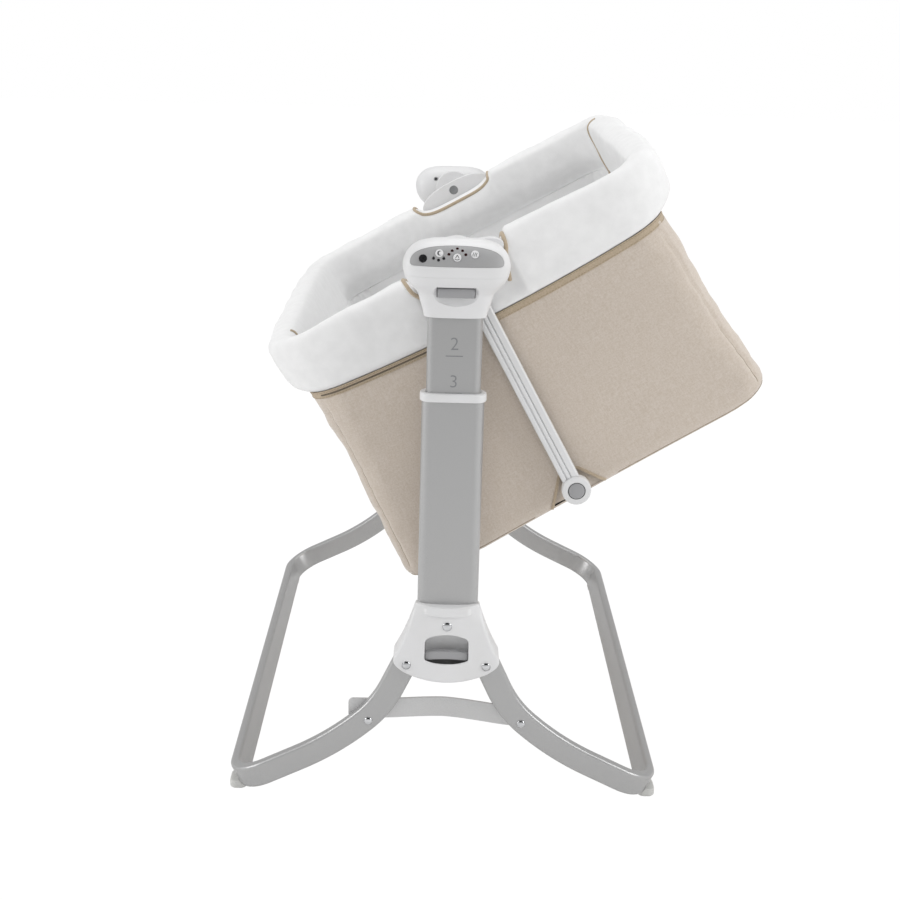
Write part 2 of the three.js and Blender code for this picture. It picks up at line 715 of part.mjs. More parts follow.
function hubBackCover() {
  const seam = -HUB_SPLIT_Y + SEAT;
  const slab = prismAlongY(hubOutline(), seam - HUB_BEVEL, -HUB_BACK_Y, HUB_BEVEL, CURVE_STEPS);
  const half = blockBetween(-HUB_SIDE_HALF - OVERRUN, HUB_SIDE_HALF + OVERRUN, seam, -HUB_BACK_Y + OVERRUN,
    HUB_BOTTOM_Z - OVERRUN, HUB_TOP_Z + OVERRUN);
  return cut(common(slab, half), ...hubTools());
}

// Lever bar with a bowed face, arched upward and as wide as the window
function hubLever() {
  const half = WINDOW_HALF - SEAT;
  const plan = new THREE.Shape();
  plan.moveTo(-half, -WINDOW_BACK_Y - SEAT);
  plan.lineTo(-half, -HUB_LEVER_FRONT_Y + HUB_LEVER_BOW);
  plan.quadraticCurveTo(0, -HUB_LEVER_FRONT_Y - HUB_LEVER_BOW, half, -HUB_LEVER_FRONT_Y + HUB_LEVER_BOW);
  plan.lineTo(half, -WINDOW_BACK_Y - SEAT);
  plan.closePath();
  const low = HUB_LEVER_LOW_Z;
  const high = HUB_LEVER_HIGH_Z;
  const arch = HUB_LEVER_ARCH * 2;
  const face = new THREE.Shape();
  face.moveTo(-half, high);
  face.lineTo(-half, low + WINDOW_CORNER);
  face.quadraticCurveTo(-half, low, -half + WINDOW_CORNER, low);
  face.quadraticCurveTo(0, low + arch, half - WINDOW_CORNER, low);
  face.quadraticCurveTo(half, low, half, low + WINDOW_CORNER);
  face.lineTo(half, high);
  face.quadraticCurveTo(0, high + arch, -half, high);
  return common(prismUp(plan, low, high + arch, CURVE_STEPS),
    prismAlongY(face, -HUB_LEVER_FRONT_Y - OVERRUN, -WINDOW_BACK_Y, 0, CURVE_STEPS));
}

// Strip that is flat at its riveted ends and bowed back between them
function crossbar() {
  const nearY = -(STAND_LENGTH / 2 - LEG_THICK) + SEAT;
  const flatX = BAR_HALF_LENGTH - BAR_FLAT_END;
  const stations = [];
  stations.push([-BAR_HALF_LENGTH, 0]);
  for (let i = 0; i <= BAR_BOW_STEPS; i += 1) {
    const share = i / BAR_BOW_STEPS;
    const rise = (1 - Math.cos(share * Math.PI * 2)) / 2;
    stations.push([-flatX + share * flatX * 2, rise * BAR_BOW]);
  }
  stations.push([BAR_HALF_LENGTH, 0]);
  const shape = new THREE.Shape();
  stations.forEach(([x, bow], i) => {
    const y = nearY + bow;
    if (i === 0) shape.moveTo(x, y);
    else shape.lineTo(x, y);
  });
  stations.reverse().forEach(([x, bow]) => shape.lineTo(x, nearY + bow + BAR_THICK));
  const strip = prismUp(shape, BAR_MID_Z - BAR_HEIGHT / 2, BAR_MID_Z + BAR_HEIGHT / 2);
  const face = roundedOutline(BAR_HALF_LENGTH, BAR_HEIGHT / 2, BAR_HEIGHT / 2, 0, BAR_MID_Z);
  const ends = prismAlongY(face, nearY - OVERRUN, nearY + BAR_BOW + BAR_THICK + OVERRUN);
  return common(strip, ends);
}

function outerPost() {
  const outline = outerPostOutline();
  outline.holes.push(outerPostOutline(-OUTER_WALL));
  return placedAtPost(prismUp(outline, OUTER_BOTTOM, OUTER_TOP));
}

// Collar with a lip over the tube's end and a guide sleeve inside it
function collar() {
  const lip = prismUp(outerPostOutline(COLLAR_LIP), OUTER_TOP + SEAT, OUTER_TOP + COLLAR_HEIGHT);
  const sleeve = prismUp(outerPostOutline(-OUTER_WALL - SEAT), OUTER_TOP - SLEEVE_DEPTH,
    OUTER_TOP + OVERRUN);
  const bore = prismUp(innerPostOutline(SEAT), OUTER_TOP - SLEEVE_DEPTH - OVERRUN,
    OUTER_TOP + COLLAR_HEIGHT + OVERRUN);
  return placedAtPost(cut(join(lip, sleeve), bore));
}

function innerPost() {
  const outline = innerPostOutline();
  outline.holes.push(innerPostOutline(-INNER_WALL));
  return placedAtPost(prismUp(outline, INNER_BOTTOM, INNER_TOP_Z));
}

// Bush on the inner tube's lower end that runs in the outer tube
function sliderFoot() {
  const shoe = prismUp(outerPostOutline(-OUTER_WALL - SEAT), INNER_BOTTOM - SEAT - SLIDER_HEIGHT,
    INNER_BOTTOM - SEAT);
  const plug = prismUp(innerPostOutline(-INNER_WALL - SEAT), INNER_BOTTOM - SEAT - OVERRUN,
    INNER_BOTTOM + SLIDER_PLUG);
  return placedAtPost(join(shoe, plug));
}

// Pod sections: height, half width, front face and back face, from the neck to the crown
function podSections() {
  const flare = POD_FLARE_SHARES.map(([height, half, front, back]) => [
    POD_NECK_Z + (POD_WIDE_Z - POD_NECK_Z) * height,
    POD_NECK_HALF + (POD_WIDE_HALF - POD_NECK_HALF) * half,
    POD_NECK_FRONT_Y + (POD_FRONT_Y - POD_NECK_FRONT_Y) * front,
    POD_NECK_BACK_Y + (POD_BACK_Y - POD_NECK_BACK_Y) * back,
  ]);
  const crown = POD_CROWN_SHARES.map((share) => {
    const drop = Math.sqrt(1 - share * share);
    const halfShare = POD_CROWN_HALF_SHARE + (1 - POD_CROWN_HALF_SHARE) * drop;
    const backShare = POD_CROWN_BACK_SHARE + (1 - POD_CROWN_BACK_SHARE) * drop;
    return [
      POD_WIDE_Z + (POD_TOP_Z - POD_WIDE_Z) * share,
      POD_WIDE_HALF * halfShare,
      POD_CROWN_Y + (POD_FRONT_Y - POD_CROWN_Y) * drop,
      POD_CROWN_Y + (POD_BACK_Y - POD_CROWN_Y) * backShare,
    ];
  });
  return [...flare, ...crown];
}

// Ring of a pod section with soft corners, drawn inward by an inset
function podRing([z, half, front, back], inset) {
  const ring = [];
  const middle = (front + back) / 2;
  const depth = (front - back) / 2 - inset;
  for (let i = 0; i < POD_STEPS; i += 1) {
    const angle = (i / POD_STEPS) * Math.PI * 2;
    const cosine = Math.cos(angle);
    const sine = Math.sin(angle);
    const x = Math.sign(cosine) * Math.abs(cosine) ** (2 / POD_POWER) * (half - inset);
    const y = Math.sign(sine) * Math.abs(sine) ** (2 / POD_POWER) * depth;
    ring.push(new THREE.Vector3(x, y - middle, z));
  }
  return ring;
}

function podSkin(inset = 0, raise = 0) {
  const rings = podSections().map((section) => podRing(section, inset));
  rings[0].forEach((point) => { point.z += raise; });
  rings[rings.length - 1].forEach((point) => { point.z -= inset; });
  return skinOfRings(rings, false);
}

// Front face of the pod at a place on it
function podFaceY(x, z) {
  const sections = podSections();
  const upper = sections.findIndex(([height]) => height > z);
  const [lowZ, ...low] = sections[upper - 1];
  const [highZ, ...high] = sections[upper];
  const share = (z - lowZ) / (highZ - lowZ);
  const [half, front, back] = low.map((value, i) => value + (high[i] - value) * share);
  const depth = (front - back) / 2;
  return -(front + back) / 2 - depth * (1 - Math.abs(x / half) ** POD_POWER) ** (1 / POD_POWER);
}

function podSlab(lowZ, highZ) {
  return blockBetween(-POD_WIDE_HALF - OVERRUN, POD_WIDE_HALF + OVERRUN, -POD_FRONT_Y - OVERRUN,
    -POD_BACK_Y + OVERRUN, lowZ, highZ);
}

// Outline of the control panel seen from the front, drawn outward by a margin
function panelOutline(margin) {
  const half = PANEL_HALF + margin;
  const low = PANEL_LOW_Z - margin;
  const top = PANEL_TOP_Z + margin;
  const bend = half * PANEL_CURVE_SHARE;
  const shape = new THREE.Shape();
  shape.moveTo(-PANEL_LOW_HALF, low);
  shape.lineTo(PANEL_LOW_HALF, low);
  shape.quadraticCurveTo(half, low, half, PANEL_SIDE_Z);
  shape.bezierCurveTo(half, top - PANEL_SHOULDER, bend, top, 0, top);
  shape.bezierCurveTo(-bend, top, -half, top - PANEL_SHOULDER, -half, PANEL_SIDE_Z);
  shape.quadraticCurveTo(-half, low, -PANEL_LOW_HALF, low);
  return shape;
}

function panelPrism(margin) {
  return prismAlongY(panelOutline(margin), -POD_FRONT_Y - OVERRUN, -POD_CROWN_Y, 0, CURVE_STEPS);
}

// Rod square to the control panel at a place on the pod's face
function panelRod(radius, x, z, proud, length) {
  const rod = new THREE.CylinderGeometry(radius, radius, length, SMALL_STEPS);
  rod.translate(0, proud - length / 2, 0);
  rod.rotateX(Math.PI - BUTTON_TILT);
  rod.translate(x, podFaceY(x, z), z);
  return rod;
}

function panelHoles() {
  const length = BUTTON_LENGTH + BUTTON_LENGTH;
  const holes = BUTTON_COLUMNS.map((x, i) => panelRod(BUTTON_RADIUS + BUTTON_GAP, x, BUTTON_HEIGHTS[i],
    BUTTON_LENGTH, length));
  holes.push(panelRod(RECEIVER_RADIUS + SEAT, RECEIVER_X, RECEIVER_Z, BUTTON_LENGTH, length));
  return holes;
}

function podCover(hasPanel) {
  const shell = common(podSkin(), podSlab(POD_SPLIT_Z + SEAT, POD_TOP_Z + OVERRUN));
  const axleHole = rodAlongY(AXLE_RADIUS + SEAT, -POD_CROWN_Y, -POD_BACK_Y + OVERRUN, 0, PIVOT_Z);
  const hollow = podSkin(POD_WALL);
  if (!hasPanel) return cut(shell, hollow, axleHole);
  const seat = cut(panelPrism(SEAT), podSkin(PANEL_THICK + SEAT));
  return join(cut(shell, hollow, axleHole, seat, ...panelHoles()), ...boardPosts());
}

function controlPanel() {
  const skin = common(podSkin(), panelPrism(0));
  return cut(skin, podSkin(PANEL_THICK), ...panelHoles());
}

// Hollow for the fingers in the pod's front
function fingerScoop() {
  const scoop = new THREE.SphereGeometry(1, SCOOP_STEPS, SCOOP_STEPS / 2);
  scoop.scale(SCOOP_HALF_X, SCOOP_HALF_Y, SCOOP_HALF_Z);
  scoop.translate(0, -POST_Y - SCOOP_LEAD, SCOOP_Z);
  return scoop;
}

function podBody() {
  const shell = common(podSkin(), podSlab(POD_NECK_Z - OVERRUN, POD_SPLIT_Z));
  const hollow = podSkin(POD_WALL, POD_NECK_FLOOR);
  const bore = placedAtPost(prismUp(innerPostOutline(SEAT), POD_NECK_Z - OVERRUN, POD_SPLIT_Z));
  const rise = (RECESS_HIGH_Z - RECESS_LOW_Z) / 2;
  const mouth = roundedOutline(RECESS_HALF, rise, RELEASE_CORNER, 0, RECESS_LOW_Z + rise);
  const pocket = prismAlongY(mouth, -POD_FRONT_Y, -RECESS_BACK_Y);
  const tray = common(podSkin(), blockBetween(-TRAY_HALF, TRAY_HALF, -POD_FRONT_Y,
    -RECESS_BACK_Y + RECESS_WALL, TRAY_LOW_Z, TRAY_HIGH_Z));
  return cut(join(cut(shell, hollow), tray), bore, pocket, fingerScoop(), releasePin(SEAT));
}

// Cross pin of the release lever, made larger all round by an allowance
function releasePin(allowance = 0) {
  const half = RECESS_HALF + RECESS_WALL / 2 + allowance;
  const pin = new THREE.CylinderGeometry(RELEASE_PIN_RADIUS + allowance, RELEASE_PIN_RADIUS + allowance,
    half + half, SMALL_STEPS);
  pin.rotateZ(Math.PI / 2);
  pin.translate(0, -RELEASE_PIN_Y, RELEASE_PIN_Z);
  return pin;
}

function releaseLever() {
  const middle = (RELEASE_LOW_Z + RELEASE_HIGH_Z) / 2;
  const half = (RELEASE_HIGH_Z - RELEASE_LOW_Z) / 2;
  const outline = roundedOutline(RELEASE_HALF, half, RELEASE_CORNER, 0, middle);
  const paddle = prismAlongY(outline, -RELEASE_FRONT_Y, -RELEASE_FRONT_Y + RELEASE_THICK, RELEASE_EDGE);
  return join(paddle, releasePin());
}

function controlBoard() {
  const board = new THREE.BoxGeometry(BOARD_HALF * 2, BOARD_LENGTH, BOARD_THICK);
  board.rotateX(BOARD_LEAN);
  board.translate(0, -BOARD_Y, BOARD_Z);
  return board;
}

// Posts on the inside of the cover that the control board rests against
function boardPosts() {
  const faceY = -BOARD_Y + (BOARD_POST_Z - BOARD_POST_RADIUS - BOARD_Z) / Math.tan(BOARD_LEAN)
    - BOARD_THICK / 2 / Math.sin(BOARD_LEAN);
  const posts = [-BOARD_POST_X, BOARD_POST_X].map((x) => rodAlongY(BOARD_POST_RADIUS,
    podFaceY(x, BOARD_POST_Z) + PANEL_THICK, faceY - SEAT, x, BOARD_POST_Z, SMALL_STEPS));
  return posts;
}

// Block on the inner tube that carries the axle
function bearingBlock() {
  const head = roundedOutline(BLOCK_HALF_X, (BLOCK_TOP_Z - BLOCK_LOW_Z) / 2, BLOCK_CORNER, 0,
    (BLOCK_TOP_Z + BLOCK_LOW_Z) / 2);
  const block = prismAlongY(head, -POST_Y - INNER_HALF_Y, -POST_Y + INNER_HALF_Y);
  const plug = placedAtPost(prismUp(roundedOutline(INNER_HALF_X - INNER_WALL - SEAT,
    INNER_HALF_Y - INNER_WALL - SEAT, INNER_CORNER - INNER_WALL - SEAT), BLOCK_LOW_Z - BLOCK_PLUG,
  BLOCK_LOW_Z + OVERRUN));
  const bore = rodAlongY(AXLE_RADIUS + SEAT, -POST_Y - INNER_HALF_Y - OVERRUN,
    -POST_Y + INNER_HALF_Y + OVERRUN, 0, PIVOT_Z);
  return cut(join(block, plug), bore);
}

// One end of the stand and lift, built at negative Y
function standEnd(tag) {
  const end = new THREE.Group();
  end.add(piece(`foot_left_${tag}`, footPad(-1), FINISHES.clearPad()));
  end.add(piece(`foot_right_${tag}`, footPad(1), FINISHES.clearPad()));
  end.add(piece(`hub_front_cover_${tag}`, hubFrontCover(), FINISHES.whitePlastic()));
  end.add(piece(`hub_back_cover_${tag}`, hubBackCover(), FINISHES.whitePlastic()));
  end.add(piece(`hub_lever_${tag}`, hubLever(), FINISHES.greyPlastic()));
  end.add(piece(`crossbar_${tag}`, crossbar(), FINISHES.satinTube()));
  end.add(piece(`outer_post_${tag}`, outerPost(), FINISHES.satinTube()));
  end.add(piece(`post_collar_${tag}`, collar(), FINISHES.whitePlastic()));
  end.add(piece(`inner_post_${tag}`, innerPost(), FINISHES.innerTube()));
  end.add(piece(`slider_foot_${tag}`, sliderFoot(), FINISHES.whitePlastic()));
  end.add(piece(`pod_body_${tag}`, podBody(), FINISHES.whitePlastic()));
  end.add(piece(`pod_cover_${tag}`, podCover(tag === 'front'), FINISHES.whitePlastic()));
  end.add(piece(`release_lever_${tag}`, releaseLever(), FINISHES.greyPlastic()));
  end.add(piece(`bearing_block_${tag}`, bearingBlock(), FINISHES.greyPlastic()));
  return end;
}

function panelPieces() {
  const group = new THREE.Group();
  group.add(piece('control_panel', controlPanel(), FINISHES.greyPlastic()));
  group.add(piece('receiver_window', panelRod(RECEIVER_RADIUS, RECEIVER_X, RECEIVER_Z, RECEIVER_PROUD,
    RECEIVER_LENGTH), FINISHES.darkLens()));
  BUTTON_COLUMNS.forEach((x, i) => {
    const button = panelRod(BUTTON_RADIUS, x, BUTTON_HEIGHTS[i], BUTTON_PROUD, BUTTON_LENGTH);
    group.add(piece(`panel_button_${i + 1}`, button, FINISHES.whitePlastic()));
  });
  group.add(piece('control_board', controlBoard(), FINISHES.circuit()));
  return group;
}

// Frame ring of round tube in the basket, made larger all round by an allowance
function frameRing(halfU, halfY, corner, w, radius, allowance = 0) {
  const path = ringPoints(halfU, halfY, corner, w, RING_CORNER_STEPS, RING_SIDE_STEPS);
  const rings = path.map((point, i) => {
    const before = path[(i + path.length - 1) % path.length];
    const after = path[(i + 1) % path.length];
    const along = after.clone().sub(before).normalize();
    const out = new THREE.Vector3(along.y, -along.x, 0);
    const ring = [];
    for (let j = 0; j < RING_SECTION_STEPS; j += 1) {
      const angle = (j / RING_SECTION_STEPS) * Math.PI * 2;
      const place = point.clone().addScaledVector(out, Math.cos(angle) * (radius + allowance));
      place.z += Math.sin(angle) * (radius + allowance);
      ring.push(place);
    }
    return ring;
  });
  return skinOfRings(rings, true);
}

function rimTube(allowance = 0) {
  return frameRing(RIM_HALF_U, RIM_HALF_Y, RIM_CORNER, RIM_W, RIM_RADIUS, allowance);
}

function lowTubeW() {
  return BODY_BOTTOM_W + BODY_WALL + LOW_RADIUS + SEAT;
}

function lowTube(allowance = 0) {
  return frameRing(LOW_HALF_U, LOW_HALF_Y, LOW_CORNER, lowTubeW(), LOW_RADIUS, allowance);
}

// Height of the seam between body and rim cover, which sags between the ends of each side
function seamW(u) {
  return BODY_SEAM_MID_W + BODY_SEAM_RISE * Math.min(1, (u / BODY_TOP_HALF_U) ** 2);
}

// Half widths of the fabric body at a height
function bodyHalves(w) {
  const share = (w - BODY_BOTTOM_W) / (BODY_SEAM_MID_W - BODY_BOTTOM_W);
  return [
    BODY_LOW_HALF_U + (BODY_TOP_HALF_U - BODY_LOW_HALF_U) * share,
    BODY_LOW_HALF_Y + (BODY_TOP_HALF_Y - BODY_LOW_HALF_Y) * share,
  ];
}

function bodyRing(w, inset) {
  const [halfU, halfY] = bodyHalves(w);
  return ringPoints(halfU - inset, halfY - inset, BODY_CORNER - inset, w, RING_CORNER_STEPS,
    BODY_SIDE_STEPS);
}

function seamRing(inset) {
  const ring = bodyRing(BODY_SEAM_MID_W, inset);
  ring.forEach((point) => { point.z = seamW(point.x); });
  return ring;
}

// Openings with slanting sides that are left in the body round the bottom hubs
function hubCutters() {
  const shape = new THREE.Shape();
  shape.moveTo(-HUB_CUT_LOW_HALF, BOTTOM_HUB_W - HUB_CUT_LOW);
  shape.lineTo(HUB_CUT_LOW_HALF, BOTTOM_HUB_W - HUB_CUT_LOW);
  shape.lineTo(HUB_CUT_TOP_HALF, BOTTOM_HUB_W + HUB_CUT_HIGH);
  shape.lineTo(-HUB_CUT_TOP_HALF, BOTTOM_HUB_W + HUB_CUT_HIGH);
  shape.closePath();
  const near = LOW_HALF_Y;
  const far = BODY_TOP_HALF_Y + OVERRUN;
  return [prismAlongY(shape, -far, -near), prismAlongY(shape, near, far)];
}

// Woven body: walls that widen downward, with round bottom edges and a cut round each hub
function fabricBody() {
  const edge = [];
  for (let i = 0; i <= BODY_EDGE_STEPS; i += 1) edge.push((i / BODY_EDGE_STEPS) * Math.PI / 2);
  const rounded = (inset) => edge.map((angle) => {
    const radius = BODY_EDGE_RADIUS - inset;
    const rise = inset + radius * (1 - Math.cos(angle));
    return bodyRing(BODY_BOTTOM_W + rise, inset + radius * (1 - Math.sin(angle)));
  });
  const middle = (BODY_BOTTOM_W + BODY_SEAM_MID_W) / 2;
  const rings = [
    ...rounded(0),
    bodyRing(middle, 0),
    seamRing(0),
    seamRing(BODY_WALL),
    bodyRing(middle, BODY_WALL),
    ...rounded(BODY_WALL).reverse(),
  ];
  return cut(skinOfRings(rings, false), ...hubCutters());
}

// Share of the notch depth at a place along an end of the rim
function notchShare(u) {
  const past = (COVER_NOTCH_HALF + COVER_NOTCH_RUN - Math.abs(u)) / COVER_NOTCH_RUN;
  return THREE.MathUtils.clamp(past, 0, 1);
}

// Stations round the rim, close together at the notches
function rimStations() {
  const corners = ringPoints(RIM_HALF_U, RIM_HALF_Y, RIM_CORNER, 0, RING_CORNER_STEPS, 1);
  const stations = [];
  const flat = RIM_HALF_U - RIM_CORNER;
  const places = [flat * COVER_END_SHARE, COVER_NOTCH_HALF + COVER_NOTCH_RUN, COVER_NOTCH_HALF,
    COVER_NOTCH_HALF * COVER_FLOOR_SHARE];
  corners.forEach((point, i) => {
    stations.push(point);
    const next = corners[(i + 1) % corners.length];
    const isEnd = Math.abs(point.y - next.y) < SEAT && Math.abs(point.x - next.x) > flat;
    const isSide = Math.abs(point.x - next.x) < SEAT && Math.abs(point.y - next.y) > flat;
    const sign = Math.sign(next.x - point.x);
    if (isEnd) {
      places.forEach((place) => stations.push(new THREE.Vector3(-sign * place, point.y, 0)));
      [...places].reverse().forEach((place) => stations.push(new THREE.Vector3(sign * place, point.y, 0)));
    }
    if (isSide) {
      for (let j = 1; j < COVER_SIDE_STEPS; j += 1) {
        stations.push(point.clone().lerp(next, j / COVER_SIDE_STEPS));
      }
    }
  });
  return stations;
}

// Section of the padded cover: an upturned channel over the tube with a skirt inside the body
function coverSection(point) {
  const atEnd = Math.abs(point.y) > RIM_HALF_Y - SEAT;
  const notch = atEnd ? notchShare(point.x) : 0;
  const sideness = THREE.MathUtils.clamp((RIM_HALF_Y - Math.abs(point.y)) / RIM_CORNER, 0, 1);
  const freeTop = COVER_END_TOP + (COVER_SIDE_TOP - COVER_END_TOP) * sideness;
  const top = freeTop + (COVER_NOTCH_TOP - freeTop) * notch;
  const tuck = atEnd ? Math.max(notch, COVER_TUCK_SHARE) : 0;
  const out = COVER_OUT + (COVER_NOTCH_OUT - COVER_OUT) * tuck;
  const bodyOut = bodyOutset(point);
  const seam = seamW(point.x + outwardAt(point).x * bodyOut) + SEAM_GAP;
  const roof = RIM_W + RIM_RADIUS + SEAT;
  const cheek = RIM_RADIUS + SEAT;
  const inner = bodyOut - BODY_WALL - LINER_GAP;
  return [
    [bodyOut, seam],
    [bodyOut + (out - bodyOut) * COVER_SWELL_SHARE, seam + COVER_TURN],
    [out - COVER_EASE, (seam + RIM_W) / 2],
    [out, RIM_W + COVER_BULGE],
    [out - COVER_EASE, top - COVER_SHOULDER],
    [out * COVER_SWELL_SHARE, top - COVER_CROWN],
    [0, top],
    [-COVER_IN * COVER_INNER_SHARE, top - COVER_CROWN * 2],
    [-COVER_IN - COVER_EASE, top - COVER_SHOULDER],
    [-COVER_IN - COVER_EASE, RIM_W - COVER_KNEE],
    [inner - COVER_SKIRT_WALL, COVER_SKIRT_W],
    [inner, COVER_SKIRT_W],
    [inner, seam + COVER_LIP],
    [-cheek, RIM_W - cheek],
    [-cheek, roof],
    [cheek, roof],
    [cheek, RIM_W - cheek],
    [bodyOut - BODY_WALL, seam + COVER_LIP],
    [bodyOut - BODY_WALL, seam],
  ];
}

// Distance of a place from the body's upper outline, positive outside it
function pastBodyOutline(place) {
  const u = Math.max(Math.abs(place.x) - BODY_TOP_HALF_U + BODY_CORNER, 0);
  const y = Math.max(Math.abs(place.y) - BODY_TOP_HALF_Y + BODY_CORNER, 0);
  const inside = Math.max(Math.abs(place.x) - BODY_TOP_HALF_U, Math.abs(place.y) - BODY_TOP_HALF_Y);
  return u > 0 && y > 0 ? Math.hypot(u, y) - BODY_CORNER : inside;
}

// Outward place of the body wall under a rim station
function bodyOutset(point) {
  const out = outwardAt(point);
  let reach = 0;
  for (let i = 0; i < OUTSET_ROUNDS; i += 1) {
    reach -= pastBodyOutline(point.clone().addScaledVector(out, reach));
  }
  return reach;
}

function rimCover() {
  const stations = rimStations();
  const rings = stations.map((point) => {
    const out = outwardAt(point);
    return coverSection(point).map(([reach, w]) => {
      const place = point.clone().addScaledVector(out, reach);
      place.z = w;
      return place;
    });
  });
  const windows = [-1, 1].map((end) => blockBetween(-SADDLE_HALF - SEAT, SADDLE_HALF + SEAT,
    Math.min(end * RIM_HALF_Y, end * (RIM_HALF_Y + COVER_OUT)),
    Math.max(end * RIM_HALF_Y, end * (RIM_HALF_Y + COVER_OUT)), SADDLE_LOW - SEAT, SADDLE_TOP + SEAT));
  return cut(skinOfRings(rings, true), ...windows);
}

// Outward direction on the rim loop
function outwardAt(point) {
  const flatU = RIM_HALF_U - RIM_CORNER;
  const flatY = RIM_HALF_Y - RIM_CORNER;
  const u = Math.abs(point.x) > flatU ? point.x - Math.sign(point.x) * flatU : 0;
  const y = Math.abs(point.y) > flatY ? point.y - Math.sign(point.y) * flatY : 0;
  return new THREE.Vector3(u, y, 0).normalize();
}

function linerBottomW() {
  return lowTubeW() + LOW_RADIUS + SEAT + FLOOR_BOARD_THICK + SEAT;
}

// Textile inner bag below the rim cover's skirt
function innerLiner() {
  const inset = BODY_WALL + LINER_GAP;
  const low = linerBottomW();
  const top = COVER_SKIRT_W - SEAT;
  const rings = [
    bodyRing(low, inset + LINER_EDGE),
    bodyRing(low + LINER_EDGE, inset),
    bodyRing(top, inset),
    bodyRing(top, inset + LINER_WALL),
    bodyRing(low + LINER_EDGE, inset + LINER_WALL),
    bodyRing(low + LINER_WALL, inset + LINER_WALL + LINER_EDGE),
  ];
  return skinOfRings(rings, false);
}

function floorBoard() {
  const outline = roundedOutline(LOW_HALF_U + BOARD_MARGIN, LOW_HALF_Y + BOARD_MARGIN, LOW_CORNER);
  const low = lowTubeW() + LOW_RADIUS + SEAT;
  return prismUp(outline, low, low + FLOOR_BOARD_THICK);
}

// Mattress with a crowned top and drawn-in sides
function mattress() {
  const low = linerBottomW() + LINER_WALL + SEAT;
  const halfU = BODY_LOW_HALF_U - MATTRESS_INSET;
  const halfY = BODY_LOW_HALF_Y - MATTRESS_INSET;
  const heightShares = [0, 0.12, 0.5, 0.88, 1];
  const insetShares = [1, 0.15, 0, 0.2, 1.3];
  const rings = heightShares.map((share, i) => ringPoints(halfU - insetShares[i] * MATTRESS_DRAW,
    halfY - insetShares[i] * MATTRESS_DRAW, MATTRESS_CORNER, low + share * MATTRESS_THICK,
    RING_CORNER_STEPS, BODY_SIDE_STEPS));
  const crownShares = [0.75, 0.4];
  crownShares.forEach((share) => {
    rings.push(ringPoints(halfU * share, halfY * share, MATTRESS_CORNER * share,
      low + MATTRESS_THICK + MATTRESS_CROWN * (1 - share * share), RING_CORNER_STEPS, BODY_SIDE_STEPS));
  });
  return skinOfRings(rings, false);
}

// Bar and head of the strut, made larger all round by an allowance
function strutBar(allowance = 0) {
  const half = STRUT_HALF + allowance;
  const bar = blockBetween(-half, half, -STRUT_FRONT_Y - allowance, -STRUT_BACK_Y + allowance + allowance,
    BOTTOM_HUB_W, 0);
  const head = rodAlongY(STRUT_HEAD_RADIUS + allowance, -STRUT_FRONT_Y - allowance,
    -STRUT_BACK_Y + allowance + allowance, 0, 0);
  return join(bar, head);
}

// Steel strut that hangs from the axle and holds the rim tube in a saddle
function strut() {
  const saddle = blockBetween(-SADDLE_HALF, SADDLE_HALF, -STRUT_BACK_Y - LAP, -RIM_HALF_Y, SADDLE_LOW,
    SADDLE_TOP);
  const bore = rodAlongY(AXLE_RADIUS + SEAT, -STRUT_FRONT_Y - OVERRUN, -STRUT_BACK_Y + OVERRUN, 0, 0);
  const hubHole = rodAlongY(BOTTOM_BOSS_RADIUS + SEAT, -STRUT_FRONT_Y - OVERRUN, -STRUT_BACK_Y + OVERRUN, 0,
    BOTTOM_HUB_W);
  return cut(join(strutBar(), saddle), bore, rimTube(SEAT), hubHole);
}

// Outline of the end plate: a low arc on top and a flat middle below
function plateOutline() {
  const low = PLATE_HALF * PLATE_LOW_SHARE;
  const bend = PLATE_HALF * PLATE_CURVE_SHARE;
  const crest = PLATE_HALF * PLATE_TOP_SHARE;
  const shape = new THREE.Shape();
  shape.moveTo(-PLATE_HALF, PLATE_SHOULDER_W);
  shape.quadraticCurveTo(-PLATE_HALF, PLATE_HEEL_W, -bend, PLATE_HEEL_W);
  shape.quadraticCurveTo(-low, PLATE_LOW_W, -STRUT_HEAD_RADIUS, PLATE_LOW_W);
  shape.lineTo(STRUT_HEAD_RADIUS, PLATE_LOW_W);
  shape.quadraticCurveTo(low, PLATE_LOW_W, bend, PLATE_HEEL_W);
  shape.quadraticCurveTo(PLATE_HALF, PLATE_HEEL_W, PLATE_HALF, PLATE_SHOULDER_W);
  shape.bezierCurveTo(bend, 0, crest, PLATE_TOP_W, 0, PLATE_TOP_W);
  shape.bezierCurveTo(-crest, PLATE_TOP_W, -bend, 0, -PLATE_HALF, PLATE_SHOULDER_W);
  return shape;
}

